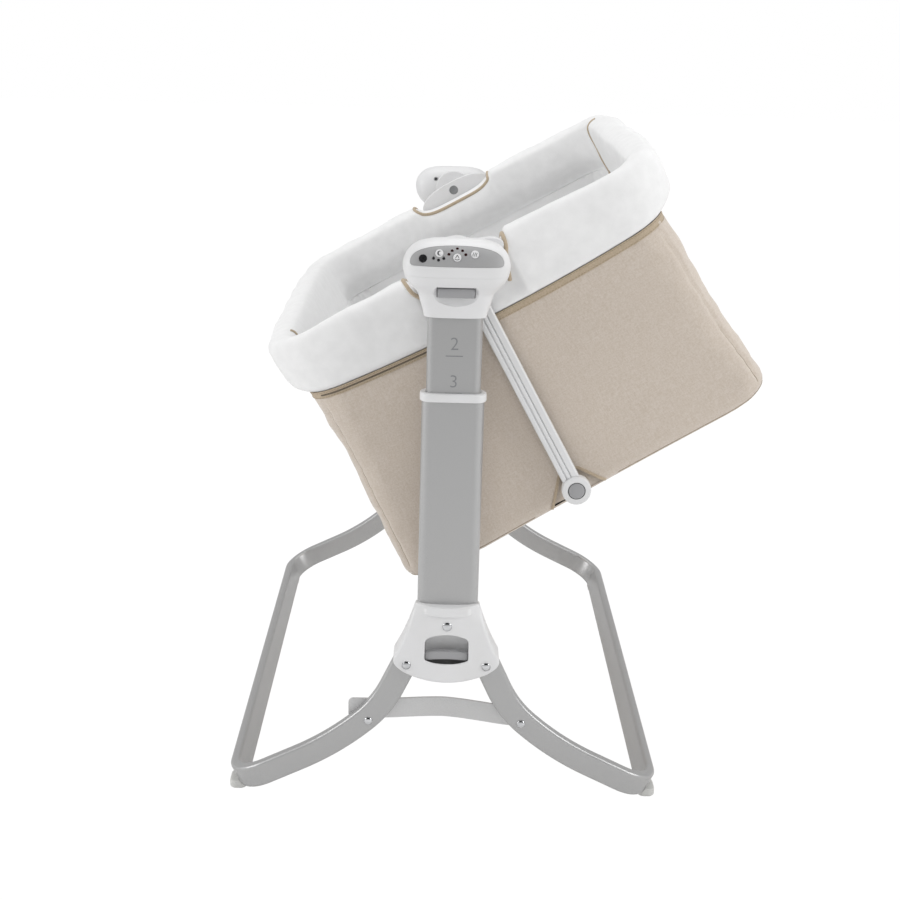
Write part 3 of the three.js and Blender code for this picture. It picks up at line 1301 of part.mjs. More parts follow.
// White arm cover with raised ribs along its face and the end plate at its head
function sideArm() {
  const shape = new THREE.Shape();
  const low = -ARM_BACK_Y;
  const groove = -ARM_FRONT_Y + ARM_RIB_DEPTH;
  const crest = -ARM_FRONT_Y;
  const pitch = ARM_HALF * 2 / ARM_RIBS;
  shape.moveTo(ARM_HALF, low);
  shape.lineTo(-ARM_HALF, low);
  shape.lineTo(-ARM_HALF, groove);
  for (let i = 0; i < ARM_RIBS; i += 1) {
    const start = -ARM_HALF + i * pitch;
    shape.lineTo(start + pitch * ARM_FOOT_SHARE, groove);
    shape.lineTo(start + pitch * ARM_CREST_SHARE, crest);
    shape.lineTo(start + pitch * (1 - ARM_CREST_SHARE), crest);
    shape.lineTo(start + pitch * (1 - ARM_FOOT_SHARE), groove);
  }
  shape.lineTo(ARM_HALF, groove);
  shape.closePath();
  const bar = prismUp(shape, BOTTOM_HUB_W, 0);
  const head = prismAlongY(roundedOutline(ARM_HEAD_RADIUS, ARM_HEAD_RADIUS, ARM_HEAD_RADIUS), -ARM_FRONT_Y,
    -ARM_BACK_Y, ARM_HEAD_BEVEL);
  const plate = cut(prismAlongY(plateOutline(), -PLATE_FRONT_Y, -PLATE_BACK_Y, PLATE_BEVEL, CURVE_STEPS),
    strutBar(SEAT));
  const bore = rodAlongY(AXLE_RADIUS + SEAT, -ARM_FRONT_Y - OVERRUN, -STRUT_BACK_Y, 0, 0);
  const hubHole = rodAlongY(BOTTOM_HUB_RADIUS + SEAT, -ARM_FRONT_Y - OVERRUN, -ARM_BACK_Y + OVERRUN, 0,
    BOTTOM_HUB_W);
  return cut(join(bar, head, plate), bore, hubHole);
}

// Round cap with a boss that reaches the bottom tube and a pocket for the button
function bottomHub() {
  const outline = roundedOutline(BOTTOM_HUB_RADIUS, BOTTOM_HUB_RADIUS, BOTTOM_HUB_RADIUS, 0, BOTTOM_HUB_W);
  const cap = prismAlongY(outline, -BOTTOM_HUB_FRONT_Y, -ARM_BACK_Y, BOTTOM_HUB_BEVEL);
  const boss = rodAlongY(BOTTOM_BOSS_RADIUS, -ARM_BACK_Y - LAP, -LOW_HALF_Y - BOTTOM_BOSS_REACH, 0,
    BOTTOM_HUB_W);
  const pocket = rodAlongY(PUSH_RADIUS + PUSH_GAP, -BOTTOM_HUB_FRONT_Y - OVERRUN,
    -BOTTOM_HUB_FRONT_Y + PUSH_DEPTH, 0, BOTTOM_HUB_W);
  const guide = rodAlongY(PUSH_STEM_RADIUS + SEAT, -BOTTOM_HUB_FRONT_Y,
    -BOTTOM_HUB_FRONT_Y + PUSH_GUIDE_DEPTH, 0, BOTTOM_HUB_W);
  return cut(join(cap, boss), pocket, guide, lowTube(SEAT));
}

function pushButton() {
  const front = -BOTTOM_HUB_FRONT_Y - PUSH_PROUD;
  const disc = rodAlongY(PUSH_RADIUS, front, front + PUSH_THICK, 0, BOTTOM_HUB_W);
  const stem = rodAlongY(PUSH_STEM_RADIUS, front + LAP, front + LAP + PUSH_STEM_LENGTH, 0, BOTTOM_HUB_W);
  return join(disc, stem);
}

function axle() {
  return rodAlongY(AXLE_RADIUS, -AXLE_FRONT_Y, -AXLE_BACK_Y, 0, 0);
}

// Hardware at one end of the basket, built at negative Y round the pivot
function basketEnd(tag) {
  const end = new THREE.Group();
  end.add(piece(`axle_${tag}`, axle(), FINISHES.steel()));
  end.add(piece(`side_arm_${tag}`, sideArm(), FINISHES.whitePlastic()));
  end.add(piece(`strut_${tag}`, strut(), FINISHES.steel()));
  end.add(piece(`bottom_hub_${tag}`, bottomHub(), FINISHES.whitePlastic()));
  end.add(piece(`bottom_button_${tag}`, pushButton(), FINISHES.greyPlastic()));
  return end;
}

function basket() {
  const group = new THREE.Group();
  const rear = basketEnd('rear');
  rear.rotation.z = Math.PI;
  group.add(basketEnd('front'), rear);
  group.add(piece('rim_tube', rimTube(), FINISHES.satinTube()));
  group.add(piece('bottom_tube', lowTube(), FINISHES.satinTube()));
  group.add(piece('fabric_body', fabricBody(), FINISHES.melange()));
  group.add(piece('rim_cover', rimCover(), FINISHES.whiteTextile()));
  group.add(piece('inner_liner', innerLiner(), FINISHES.whiteTextile()));
  group.add(piece('bottom_board', floorBoard(), FINISHES.boardGrey()));
  group.add(piece('mattress', mattress(), FINISHES.whiteTextile()));
  group.position.z = PIVOT_Z;
  group.rotation.y = -TILT;
  return group;
}

function stand() {
  const group = new THREE.Group();
  const rear = standEnd('rear');
  rear.rotation.z = Math.PI;
  group.add(standEnd('front'), rear, panelPieces());
  group.add(piece('leg_loop_left', legTube(-1), FINISHES.satinTube()));
  group.add(piece('leg_loop_right', legTube(1), FINISHES.satinTube()));
  return group;
}

// Centres the object's outline over the origin, which stays on the floor
function centred(group) {
  group.updateMatrixWorld(true);
  const box = new THREE.Box3().setFromObject(group, true);
  group.position.x = -(box.min.x + box.max.x) / 2;
  group.position.y = -(box.min.y + box.max.y) / 2;
  return group;
}

const cradle = new THREE.Group();
cradle.add(stand(), basket());
const model = new THREE.Group();
model.add(centred(cradle));

export default model;
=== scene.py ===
"""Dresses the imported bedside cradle: smooth shells, soft goods, finishes, camera and light.

Lengths are written in millimetres and turned into metres when a piece is finished.
In an end's own frame the post stands at negative Y and the panel looks along negative Y.
In the basket's own frame u runs across the basket, Y along it and w up from the pivot.
"""

from __future__ import annotations

import json
import logging
import math
from dataclasses import dataclass, field, replace
from enum import Enum
from typing import Iterable, Sequence

import bmesh
import bpy
from mathutils import Matrix, Vector, noise


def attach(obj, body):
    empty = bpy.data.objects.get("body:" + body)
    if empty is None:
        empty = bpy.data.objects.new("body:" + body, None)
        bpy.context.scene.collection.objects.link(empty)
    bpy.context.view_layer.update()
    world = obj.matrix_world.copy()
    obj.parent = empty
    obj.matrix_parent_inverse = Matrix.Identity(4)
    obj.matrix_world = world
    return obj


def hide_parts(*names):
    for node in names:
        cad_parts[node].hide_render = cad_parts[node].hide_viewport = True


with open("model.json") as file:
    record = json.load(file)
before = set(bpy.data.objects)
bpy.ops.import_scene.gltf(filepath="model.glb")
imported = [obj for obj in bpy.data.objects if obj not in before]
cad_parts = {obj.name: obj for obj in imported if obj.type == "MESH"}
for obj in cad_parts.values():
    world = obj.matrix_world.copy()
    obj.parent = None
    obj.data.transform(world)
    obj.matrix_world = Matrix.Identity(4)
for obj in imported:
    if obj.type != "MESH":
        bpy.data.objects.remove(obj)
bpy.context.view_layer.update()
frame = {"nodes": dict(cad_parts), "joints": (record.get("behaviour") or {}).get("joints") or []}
log = logging.getLogger("cradle")

MILLIMETRE = 0.001
TILT = math.radians(29)
Ring = list[Vector]
Mesh = bmesh.types.BMesh
Tree = bpy.types.NodeTree
Socket = bpy.types.NodeSocket
Node = bpy.types.Node


class End(Enum):
    """The two ends of the cradle."""

    FRONT = "front"
    REAR = "rear"

    @property
    def turn(self) -> Matrix:
        """Half turn about the upright axis that carries the front end to this one."""
        return Matrix.Rotation(math.pi if self is End.REAR else 0, 4, "Z")


class Carving(Enum):
    """Ways to put two closed shells together."""

    CUT = "DIFFERENCE"
    KEEP_SHARED = "INTERSECT"
    JOIN = "UNION"


@dataclass(frozen=True)
class Layout:
    """Frames that carry a piece drawn in millimetres to its place in metres."""

    pivot: Vector

    @classmethod
    def of_record(cls) -> Layout:
        """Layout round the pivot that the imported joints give."""
        rock = next(joint for joint in frame["joints"] if joint["name"] == "basket_rock")
        return cls(Vector(rock["pos_m"]))

    def stand(self, end: End = End.FRONT) -> Matrix:
        """Frame of the stand or a post at one end."""
        middle = Matrix.Translation((self.pivot.x, 0, 0))
        return middle @ end.turn @ Matrix.Scale(MILLIMETRE, 4)

    def basket(self, end: End = End.FRONT) -> Matrix:
        """Frame of the tilted basket, seen from one of its ends."""
        lean = Matrix.Rotation(-TILT, 4, "Y")
        return Matrix.Translation(self.pivot) @ lean @ end.turn @ Matrix.Scale(MILLIMETRE, 4)


# Colours and nodes


def linear(shade: str) -> tuple[float, float, float, float]:
    """Turns an sRGB hex value into linear light.

    Args:
        shade: Six hex digits.

    Returns:
        Red, green, blue and an alpha of one.
    """
    parts = [int(shade[i : i + 2], 16) / 255 for i in (0, 2, 4)]
    light = [
        part / 12.92 if part <= 0.04045 else ((part + 0.055) / 1.055) ** 2.4 for part in parts
    ]
    return light[0], light[1], light[2], 1.0


def add_node(
    tree: Tree,
    kind: str,
    settings: dict | None = None,
    links: dict | None = None,
) -> Node:
    """Adds a node with its settings and links.

    Args:
        tree: Node tree that takes the node.
        kind: Node type.
        settings: Properties of the node, or values of its inputs, by name or index.
        links: Output sockets, by the input's name or index.

    Returns:
        The new node.
    """
    node = tree.nodes.new(kind)
    for key, value in (settings or {}).items():
        if isinstance(key, str) and hasattr(node, key):
            setattr(node, key, value)
        else:
            node.inputs[key].default_value = value
    for key, source in (links or {}).items():
        tree.links.new(source, node.inputs[key])
    return node


def maths(tree: Tree, operation: str, *values: Socket | float) -> Socket:
    """Result of a calculation in a shader.

    Args:
        tree: Node tree.
        operation: Name of the operation.
        values: Sockets or numbers that go into it.

    Returns:
        The socket with the result.
    """
    node = add_node(tree, "ShaderNodeMath", {"operation": operation})
    for i, value in enumerate(values):
        if isinstance(value, Socket):
            tree.links.new(value, node.inputs[i])
        else:
            node.inputs[i].default_value = value
    return node.outputs[0]


@dataclass(frozen=True)
class Finish:
    """Base of the finishes: one shader, a slot name, and tools for its detail."""

    name: str
    shade: str
    roughness: float
    metallic: float = 0.0
    slot: str | None = None

    def build(self) -> bpy.types.Material:
        """Makes the material, or returns the one that is there already.

        Returns:
            The material.
        """
        known = bpy.data.materials.get(self.name)
        if known:
            return known
        material = bpy.data.materials.new(self.name)
        material.use_nodes = True
        tree = material.node_tree
        tree.nodes.clear()
        values = {"Base Color": linear(self.shade), "Roughness": self.roughness, "Metallic": self.metallic}
        shader = add_node(tree, "ShaderNodeBsdfPrincipled", values)
        add_node(tree, "ShaderNodeOutputMaterial", links={"Surface": shader.outputs[0]})
        self.detail(tree, shader)
        return material

    def detail(self, tree: Tree, shader: Node) -> None:
        """Adds the surface's own detail to the shader."""

    def paint(self, tree: Tree, shader: Node, share: Socket, low: str, high: str) -> None:
        """Colours the shader between two shades, by a share."""
        tree.links.new(self.tint(tree, share, low, high), shader.inputs["Base Color"])

    def vary_gloss(self, tree: Tree, shader: Node, value: Socket, less: float, more: float) -> None:
        """Moves the roughness to both sides of its own value, by a noise value."""
        gloss = self.banded(tree, value, 0.3, 0.7, self.roughness - less, self.roughness + more)
        tree.links.new(gloss, shader.inputs["Roughness"])

    def sine(self, tree: Tree, place: Socket, length: float) -> Socket:
        """Sine of a place in metres, with a full wave in a length in millimetres."""
        return maths(tree, "SINE", maths(tree, "MULTIPLY", place, math.tau / (length * MILLIMETRE)))

    def speckle(self, tree: Tree, grain: float, stretch: Vector | None = None) -> Socket:
        """Noise on object coordinates whose spots are about one grain across.

        Args:
            tree: Node tree.
            grain: Size of a spot in millimetres.
            stretch: How much finer the noise is along each axis.

        Returns:
            The noise value.
        """
        place = add_node(tree, "ShaderNodeTexCoord").outputs["Object"]
        if stretch:
            place = add_node(tree, "ShaderNodeMapping", {"Scale": stretch}, {"Vector": place}).outputs[0]
        return self.cloud(tree, place, 1 / (grain * MILLIMETRE))

    def cloud(self, tree: Tree, place: Socket, scale: float) -> Socket:
        """Value of a noise at a place, at a scale."""
        settings = {"Scale": scale, "Detail": 2.0}
        return add_node(tree, "ShaderNodeTexNoise", settings, {"Vector": place}).outputs["Fac"]

    def tint(
        self, tree: Tree, share: Socket, low: str, high: str
    ) -> Socket:
        """Colour between two shades.

        Args:
            tree: Node tree.
            share: Socket with the share of the second shade.
            low: First shade.
            high: Second shade.

        Returns:
            The colour socket.
        """
        mix = add_node(tree, "ShaderNodeMix", {"data_type": "RGBA"}, {0: share})
        mix.inputs[6].default_value = linear(low)
        mix.inputs[7].default_value = linear(high)
        return mix.outputs[2]

    def relief(
        self,
        tree: Tree,
        shader: Node,
        height: Socket,
        depth: float,
        strength: float = 1.0,
        below: Node | None = None,
    ) -> Node:
        """Raises the surface by a height.

        Args:
            tree: Node tree.
            shader: Shader that takes the normal.
            height: Socket with the height.
            depth: Height of a full step in millimetres.
            strength: Strength of the bump.
            below: Bump that this one lies on.

        Returns:
            The bump node.
        """
        settings = {"Distance": depth * MILLIMETRE, "Strength": strength}
        links = {"Height": height}
        if below:
            links["Normal"] = below.outputs[0]
        bump = add_node(tree, "ShaderNodeBump", settings, links)
        tree.links.new(bump.outputs[0], shader.inputs["Normal"])
        return bump

    def banded(
        self, tree: Tree, source: Socket, low: float, high: float, least: float, most: float
    ) -> Socket:
        """Maps a value from one range into another, held at the ends.

        Args:
            tree: Node tree.
            source: Value.
            low: Start of the first range.
            high: End of the first range.
            least: Start of the second range.
            most: End of the second range.

        Returns:
            The mapped value.
        """
        settings = {"From Min": low, "From Max": high, "To Min": least, "To Max": most}
        return add_node(tree, "ShaderNodeMapRange", settings, {"Value": source}).outputs[0]


@dataclass(frozen=True)
class MouldedPlastic(Finish):
    """Injection-moulded ABS with the fine spark-eroded grain of its mould."""

    shadow: str = "dcdcdd"
    grain: float = 0.7
    depth: float = 0.03

    def detail(self, tree: Tree, shader: Node) -> None:
        """Adds fine grain, faint flow clouds and uneven gloss.

        Args:
            tree: Node tree.
            shader: Shader that takes the detail.
        """
        clouds = self.speckle(tree, 60)
        fine = self.speckle(tree, self.grain)
        share = self.banded(tree, clouds, 0.3, 0.7, 0, 1)
        self.paint(tree, shader, share, self.shadow, self.shade)
        self.vary_gloss(tree, shader, fine, 0.05, 0.06)
        self.relief(tree, shader, fine, self.depth, 0.5)


@dataclass(frozen=True)
class SatinTube(Finish):
    """Aluminium or steel tube under silver lacquer, with metal flakes that show as a fine speckle."""

    flake: str = "b4b4b4"
    grain: float = 1.1

    def detail(self, tree: Tree, shader: Node) -> None:
        """Adds flakes, drawn twice as coarse as real ones so that they show, and orange peel.

        Args:
            tree: Node tree.
            shader: Shader that takes the detail.
        """
        fine = self.speckle(tree, self.grain)
        peel = self.speckle(tree, 9)
        share = self.banded(tree, fine, 0.32, 0.68, 0, 1)
        self.paint(tree, shader, share, self.shade, self.flake)
        self.vary_gloss(tree, shader, fine, 0.06, 0.08)
        base = self.relief(tree, shader, peel, 0.05, 0.4)
        self.relief(tree, shader, fine, 0.04, 0.5, base)


@dataclass(frozen=True)
class BrightMetal(Finish):
    """Plated or drawn steel, with fine turned or drawn lines along one axis."""

    dull: str = "8d8f92"
    lines: Vector = field(default_factory=lambda: Vector((1, 0.1, 1)))

    def detail(self, tree: Tree, shader: Node) -> None:
        """Adds drawing lines and small stains.

        Args:
            tree: Node tree.
            shader: Shader that takes the detail.
        """
        drawn = self.speckle(tree, 0.6, self.lines)
        stains = self.speckle(tree, 14)
        share = self.banded(tree, stains, 0.35, 0.75, 1, 0.4)
        self.paint(tree, shader, share, self.dull, self.shade)
        self.vary_gloss(tree, shader, stains, 0, 0.12)
        self.relief(tree, shader, drawn, 0.01, 0.4)


@dataclass(frozen=True)
class Weave(Finish):
    """Plain-woven cloth of mixed light and dark yarn, on the piece's own UV map in metres."""

    shadow: str = "c9bbab"
    light: str = "d8cdc2"
    thread: float = 1.3
    depth: float = 0.22
    sheen: float = 0.4

    def detail(self, tree: Tree, shader: Node) -> None:
        """Adds crossing threads, drawn coarser than real ones so that they show, yarn of mixed tone, and
        painted shade in the low valleys between the threads.

        Args:
            tree: Node tree.
            shader: Shader that takes the detail.
        """
        flat = add_node(tree, "ShaderNodeUVMap").outputs[0]
        parts = add_node(tree, "ShaderNodeSeparateXYZ", links={0: flat}).outputs
        waves = [self.sine(tree, parts[i], 2 * self.thread) for i in (0, 1)]
        ridges = [maths(tree, "ABSOLUTE", wave) for wave in waves]
        over = self.banded(tree, maths(tree, "MULTIPLY", *waves), -0.15, 0.15, 0, 1)
        height = add_node(tree, "ShaderNodeMix", links={0: over, 2: ridges[0], 3: ridges[1]}).outputs[0]
        yarn = self.yarn(tree, flat, 26, 1.4)
        cross = self.yarn(tree, flat, 1.4, 26)
        mixed = add_node(tree, "ShaderNodeMix", links={0: over, 2: yarn, 3: cross}).outputs[0]
        share = self.banded(tree, maths(tree, "ADD", mixed, self.speckle(tree, 2.6)), 0.72, 1.3, 0, 1)
        tone = self.tint(tree, share, self.shadow, self.light)
        # Painted shade: the colour is darkened where the threads lie low, in the valleys between them.
        dark = self.banded(tree, height, 0, 0.6, 0.92, 1)
        blend = {"data_type": "RGBA", "blend_type": "MULTIPLY", 0: 1.0}
        shaded = add_node(tree, "ShaderNodeMix", blend, {6: tone, 7: dark})
        tree.links.new(shaded.outputs[2], shader.inputs["Base Color"])
        shader.inputs["Sheen Weight"].default_value = self.sheen
        shader.inputs["Sheen Roughness"].default_value = 0.6
        self.relief(tree, shader, height, self.depth, 0.6)

    def yarn(
        self, tree: Tree, flat: Socket, along: float, across: float
    ) -> Socket:
        """Noise drawn out along one thread direction.

        Args:
            tree: Node tree.
            flat: UV socket.
            along: Length of a tone along the first direction in millimetres.
            across: Length of a tone along the second direction in millimetres.

        Returns:
            The noise value.
        """
        scale = Vector((1 / (along * MILLIMETRE), 1 / (across * MILLIMETRE), 1))
        place = add_node(tree, "ShaderNodeMapping", {"Scale": scale}, {"Vector": flat}).outputs[0]
        return self.cloud(tree, place, 1.0)


@dataclass(frozen=True)
class Velour(Finish):
    """Brushed knit with a short nap that lies in soft patches."""

    shadow: str = "ececec"
    nap: float = 2.4
    depth: float = 0.2
    sheen: float = 0.2

    def detail(self, tree: Tree, shader: Node) -> None:
        """Adds brushed patches, the nap itself and shallow creases.

        Args:
            tree: Node tree.
            shader: Shader that takes the detail.
        """
        patches = self.speckle(tree, 17)
        nap = self.speckle(tree, self.nap)
        pile = self.speckle(tree, 0.9)
        creases = self.speckle(tree, 30, Vector((1, 0.45, 1.3)))
        share = self.banded(tree, patches, 0.3, 0.7, 0.25, 1)
        self.paint(tree, shader, share, self.shadow, self.shade)
        shader.inputs["Sheen Weight"].default_value = self.sheen
        shader.inputs["Sheen Roughness"].default_value = 0.5
        first = self.relief(tree, shader, creases, 1.4, 0.4)
        second = self.relief(tree, shader, nap, self.depth, 0.6, first)
        self.relief(tree, shader, pile, 0.12, 0.6, second)


@dataclass(frozen=True)
class Ribbed(Finish):
    """Woven tape with ribs across it, on the piece's own UV map in metres."""

    shadow: str = "a08f78"
    rib: float = 1.5

    def detail(self, tree: Tree, shader: Node) -> None:
        """Adds ribs across the tape and mixed yarn.

        Args:
            tree: Node tree.
            shader: Shader that takes the detail.
        """
        flat = add_node(tree, "ShaderNodeUVMap").outputs[0]
        parts = add_node(tree, "ShaderNodeSeparateXYZ", links={0: flat}).outputs
        wave = self.sine(tree, parts[1], self.rib)
        yarn = self.speckle(tree, 2.2)
        share = self.banded(tree, yarn, 0.3, 0.7, 0, 1)
        self.paint(tree, shader, share, self.shadow, self.shade)
        shader.inputs["Sheen Weight"].default_value = 0.2
        self.relief(tree, shader, wave, 0.12, 0.7)


@dataclass(frozen=True)
class Printed(Finish):
    """Screen-printed ink, a little uneven where the screen laid it."""

    thin: str = "8f9092"

    def detail(self, tree: Tree, shader: Node) -> None:
        """Adds uneven ink."""
        share = self.banded(tree, self.speckle(tree, 1.2), 0.35, 0.6, 1, 0)
        self.paint(tree, shader, share, self.shade, self.thin)


@dataclass(frozen=True)
class Lens(Finish):
    """Tinted clear plastic over a dark inside."""

    edge: str = "1c1c1e"

    def detail(self, tree: Tree, shader: Node) -> None:
        """Adds a faint ripple and a clear coat.

        Args:
            tree: Node tree.
            shader: Shader that takes the detail.
        """
        share = self.banded(tree, self.speckle(tree, 3), 0.35, 0.65, 0, 1)
        self.paint(tree, shader, share, self.shade, self.edge)
        shader.inputs["Coat Weight"].default_value = 0.6
        shader.inputs["Coat Roughness"].default_value = 0.08


@dataclass(frozen=True)
class Fibreboard(Finish):
    """Pressed board of short fibres."""

    fibre: str = "b9b3a6"

    def detail(self, tree: Tree, shader: Node) -> None:
        """Adds short fibres lying every way.

        Args:
            tree: Node tree.
            shader: Shader that takes the detail.
        """
        fibres = self.speckle(tree, 2.5, Vector((1, 0.3, 1)))
        share = self.banded(tree, fibres, 0.4, 0.65, 0, 1)
        self.paint(tree, shader, share, self.shade, self.fibre)
        self.relief(tree, shader, fibres, 0.1, 0.5)


WHITE_ABS = MouldedPlastic("moulded_white_abs", "e2e2e2", 0.36, shadow="e7e7e8", slot="white_plastic")
GREY_ABS = MouldedPlastic("moulded_grey_abs", "a6a6a7", 0.42, shadow="9f9fa1", slot="grey_plastic")
# Dark grey for the slab in the hub's slot under the lever: painted shade.
PAINTED_SLOT_SHADE = MouldedPlastic("painted_slot_shade_abs", "6f6f6f", 0.5, shadow="666666", slot="grey_plastic")
PANEL_ABS = MouldedPlastic(
    "satin_panel_abs", "a9a9a9", 0.45, shadow="a3a3a4", grain=0.4, depth=0.015, slot="grey_plastic"
)
OUTER_TUBE = SatinTube(
    "silver_lacquered_tube", "b0b0b0", 0.33, 0.55, flake="bcbcbc", grain=0.6, slot="satin_tube"
)
INNER_TUBE = SatinTube(
    "anodised_aluminium_tube", "acacac", 0.36, 0.45, flake="bababa", grain=0.5, slot="inner_tube"
)
CROSSBAR_STEEL = SatinTube(
    "lacquered_strip_steel", "c6c6c6", 0.42, 0.2, flake="d8d8d8", grain=0.6, slot="satin_tube"
)
RIVET_CHROME = BrightMetal("plated_rivet_steel", "dcdddf", 0.08, 1.0, dull="b4b6b8", slot="steel")
DRAWN_STEEL = BrightMetal("zinc_plated_steel", "b9bbbd", 0.3, 1.0)
FOOT_RUBBER = MouldedPlastic(
    "clear_foot_rubber", "d9d9d6", 0.55, shadow="cfcfcc", grain=1.5, slot="pad_rubber"
)
DARK_LENS = Lens("infrared_window_acrylic", "2f2f31", 0.15, slot="dark_lens")
DARK_PRINT = replace(DARK_LENS, slot=None)
RED_LAMP = Lens("red_lamp_acrylic", "3a1818", 0.2, edge="2c1011", slot="dark_lens")
CIRCUIT = Fibreboard("solder_masked_circuit_board", "3f7a4a", 0.5, fibre="376c41")
BOARD = Fibreboard("grey_fibreboard", "cfcdc8", 0.85)
MELANGE = Weave("melange_canvas", "d2c5b7", 0.92, slot="melange_fabric")
BINDING = Ribbed("beige_binding_tape", "c3b29b", 0.85, shadow="b5a48c", slot="melange_fabric")
WHITE_VELOUR = Velour("white_brushed_velour", "f3f3f3", 0.95, slot="white_textile")
WHITE_JERSEY = Velour(
    "white_knitted_jersey", "f0f0f0", 0.95, nap=1.6, depth=0.1, shadow="ebebeb", slot="white_textile"
)
GREY_INK = Printed("grey_scale_ink", "848587", 0.6)
ICON_INK = Printed("dark_icon_ink", "3e4042", 0.6, thin="4c4e50")
ZIP_COIL = Ribbed("nylon_zip_coil", "6e6252", 0.6, shadow="5c5143", rib=2.2)
STITCHING = Ribbed("beige_sewing_thread", "a99a85", 0.8, shadow="988973", rib=1.0)


# Shapes in millimetres


def oval_ring(
    half_x: float,
    half_y: float,
    corner: float,
    z: float = 0.0,
    corner_steps: int = 8,
    side_steps: int = 1,
) -> Ring:
    """Points of a rectangle with round corners, counter-clockwise from the right side.

    Args:
        half_x: Half width.
        half_y: Half depth.
        corner: Corner radius.
        z: Height.
        corner_steps: Steps round each corner.
        side_steps: Steps along each side.

    Returns:
        The points.
    """
    corners = []
    for turn, (sign_x, sign_y) in enumerate(((1, 1), (-1, 1), (-1, -1), (1, -1))):
        arc = []
        for i in range(corner_steps + 1):
            angle = (turn + i / corner_steps) * math.pi / 2
            x = sign_x * (half_x - corner) + corner * math.cos(angle)
            y = sign_y * (half_y - corner) + corner * math.sin(angle)
            arc.append(Vector((x, y, z)))
        corners.append(arc)
    points = []
    for i, arc in enumerate(corners):
        points.extend(arc)
        after = corners[(i + 1) % 4][0]
        points.extend(arc[-1].lerp(after, j / side_steps) for j in range(1, side_steps))
    return points


def quarter(steps: int) -> list[float]:
    """Angles of a quarter turn in even steps, with both ends."""
    return [i / steps * math.pi / 2 for i in range(steps + 1)]


def held(value: float) -> float:
    """The value, held between 0 and 1."""
    return min(1.0, max(0.0, value))


def eased(value: float) -> float:
    """A share from 0 to 1 that starts and ends softly."""
    return value * value * (3 - 2 * value)


def bezier(*poles: tuple[float, float], steps: int = 8) -> Ring:
    """Points in the XZ plane along a curve of two, three or four poles, without its last point.

    Args:
        poles: Poles of the curve.
        steps: Number of steps.

    Returns:
        The points.
    """
    found = []
    for i in range(steps):
        level = [Vector((x, 0, z)) for x, z in poles]
        while len(level) > 1:
            level = [a.lerp(b, i / steps) for a, b in zip(level, level[1:])]
        found.append(level[0])
    return found


def smooth_path(points: Sequence[Vector], steps: int, is_loop: bool = False) -> list[Vector]:
    """Points of a smooth curve that passes through all the given ones.

    Args:
        points: Points to pass through, of any dimension.
        steps: Steps between two of them.
        is_loop: Whether the curve closes on itself.

    Returns:
        The points of the curve.
    """
    count = len(points)
    found = []
    for i in range(count if is_loop else count - 1):
        picks = [i - 1, i, i + 1, i + 2]
        near = [k % count if is_loop else min(max(k, 0), count - 1) for k in picks]
        a, b, c, d = (points[k] for k in near)
        square, cube = a * 2 - b * 5 + c * 4 - d, b * 3 - a - c * 3 + d
        for j in range(steps):
            t = j / steps
            found.append((b * 2 + (c - a) * t + square * t**2 + cube * t**3) / 2)
    if not is_loop:
        found.append(points[-1].copy())
    return found


def inward(points: Ring, distance: float) -> Ring:
    """Moves each point of a closed outline in the XZ plane towards its inside.

    Args:
        points: Outline, counter-clockwise when X runs right and Z up.
        distance: How far inward.

    Returns:
        The new outline.
    """
    moved = []
    for i, point in enumerate(points):
        along = points[(i + 1) % len(points)] - points[i - 1]
        away = Vector((-along.z, 0, along.x)).normalized()
        moved.append(point + away * distance)
    return moved


def at_depth(points: Ring, y: float) -> Ring:
    """The outline at another place along Y."""
    return [Vector((point.x, y, point.z)) for point in points]


def upright(ring: Ring, x: float = 0.0, z: float = 0.0) -> Ring:
    """A level outline stood up into the XZ plane and moved there."""
    return [Vector((point.x + x, 0, point.y + z)) for point in ring]


def whole_outline(right: Ring, top: float) -> Ring:
    """Outline whose left half mirrors its right one, which starts at the bottom of the middle line."""
    return right + [Vector((0, 0, top))] + [Vector((-point.x, 0, point.z)) for point in right[:0:-1]]


def circle(radius: float, x: float, y: float, z: float, sides: int) -> Ring:
    """Points of a circle square to Y, counter-clockwise seen from negative Y."""
    turns = [k / sides * math.tau for k in range(sides)]
    return [Vector((x + radius * math.cos(t), y, z + radius * math.sin(t))) for t in turns]


def grow(bm: Mesh, rings: Sequence[Ring], is_loop: bool = False, is_capped: bool = True) -> list[list]:
    """Grows a skin ring by ring from a circle by extruding its edges.

    Args:
        bm: Mesh that takes the skin.
        rings: Rings of as many points each.
        is_loop: Whether the last ring joins the first one.
        is_capped: Whether the two ends are closed by a face.

    Returns:
        The vertices, row by row.
    """
    count = len(rings[0])
    row = list(bmesh.ops.create_circle(bm, segments=count, radius=1)["verts"])
    rows = [row]
    for vert, place in zip(row, rings[0]):
        vert.co = place
    first = edges = [bm.edges.get((row[i], row[(i + 1) % count])) for i in range(count)]
    for ring in rings[1:]:
        grown = bmesh.ops.extrude_edge_only(bm, edges=edges)["geom"]
        fresh = {part for part in grown if isinstance(part, bmesh.types.BMVert)}
        row = [next(e.other_vert(v) for e in v.link_edges if e.other_vert(v) in fresh) for v in row]
        for vert, place in zip(row, ring):
            vert.co = place
        edges = [bm.edges.get((row[i], row[(i + 1) % count])) for i in range(count)]
        rows.append(row)
    if is_loop:
        bmesh.ops.bridge_loops(bm, edges=first + edges)
    elif is_capped:
        bmesh.ops.contextual_create(bm, geom=first)
        bmesh.ops.contextual_create(bm, geom=edges)
    return rows


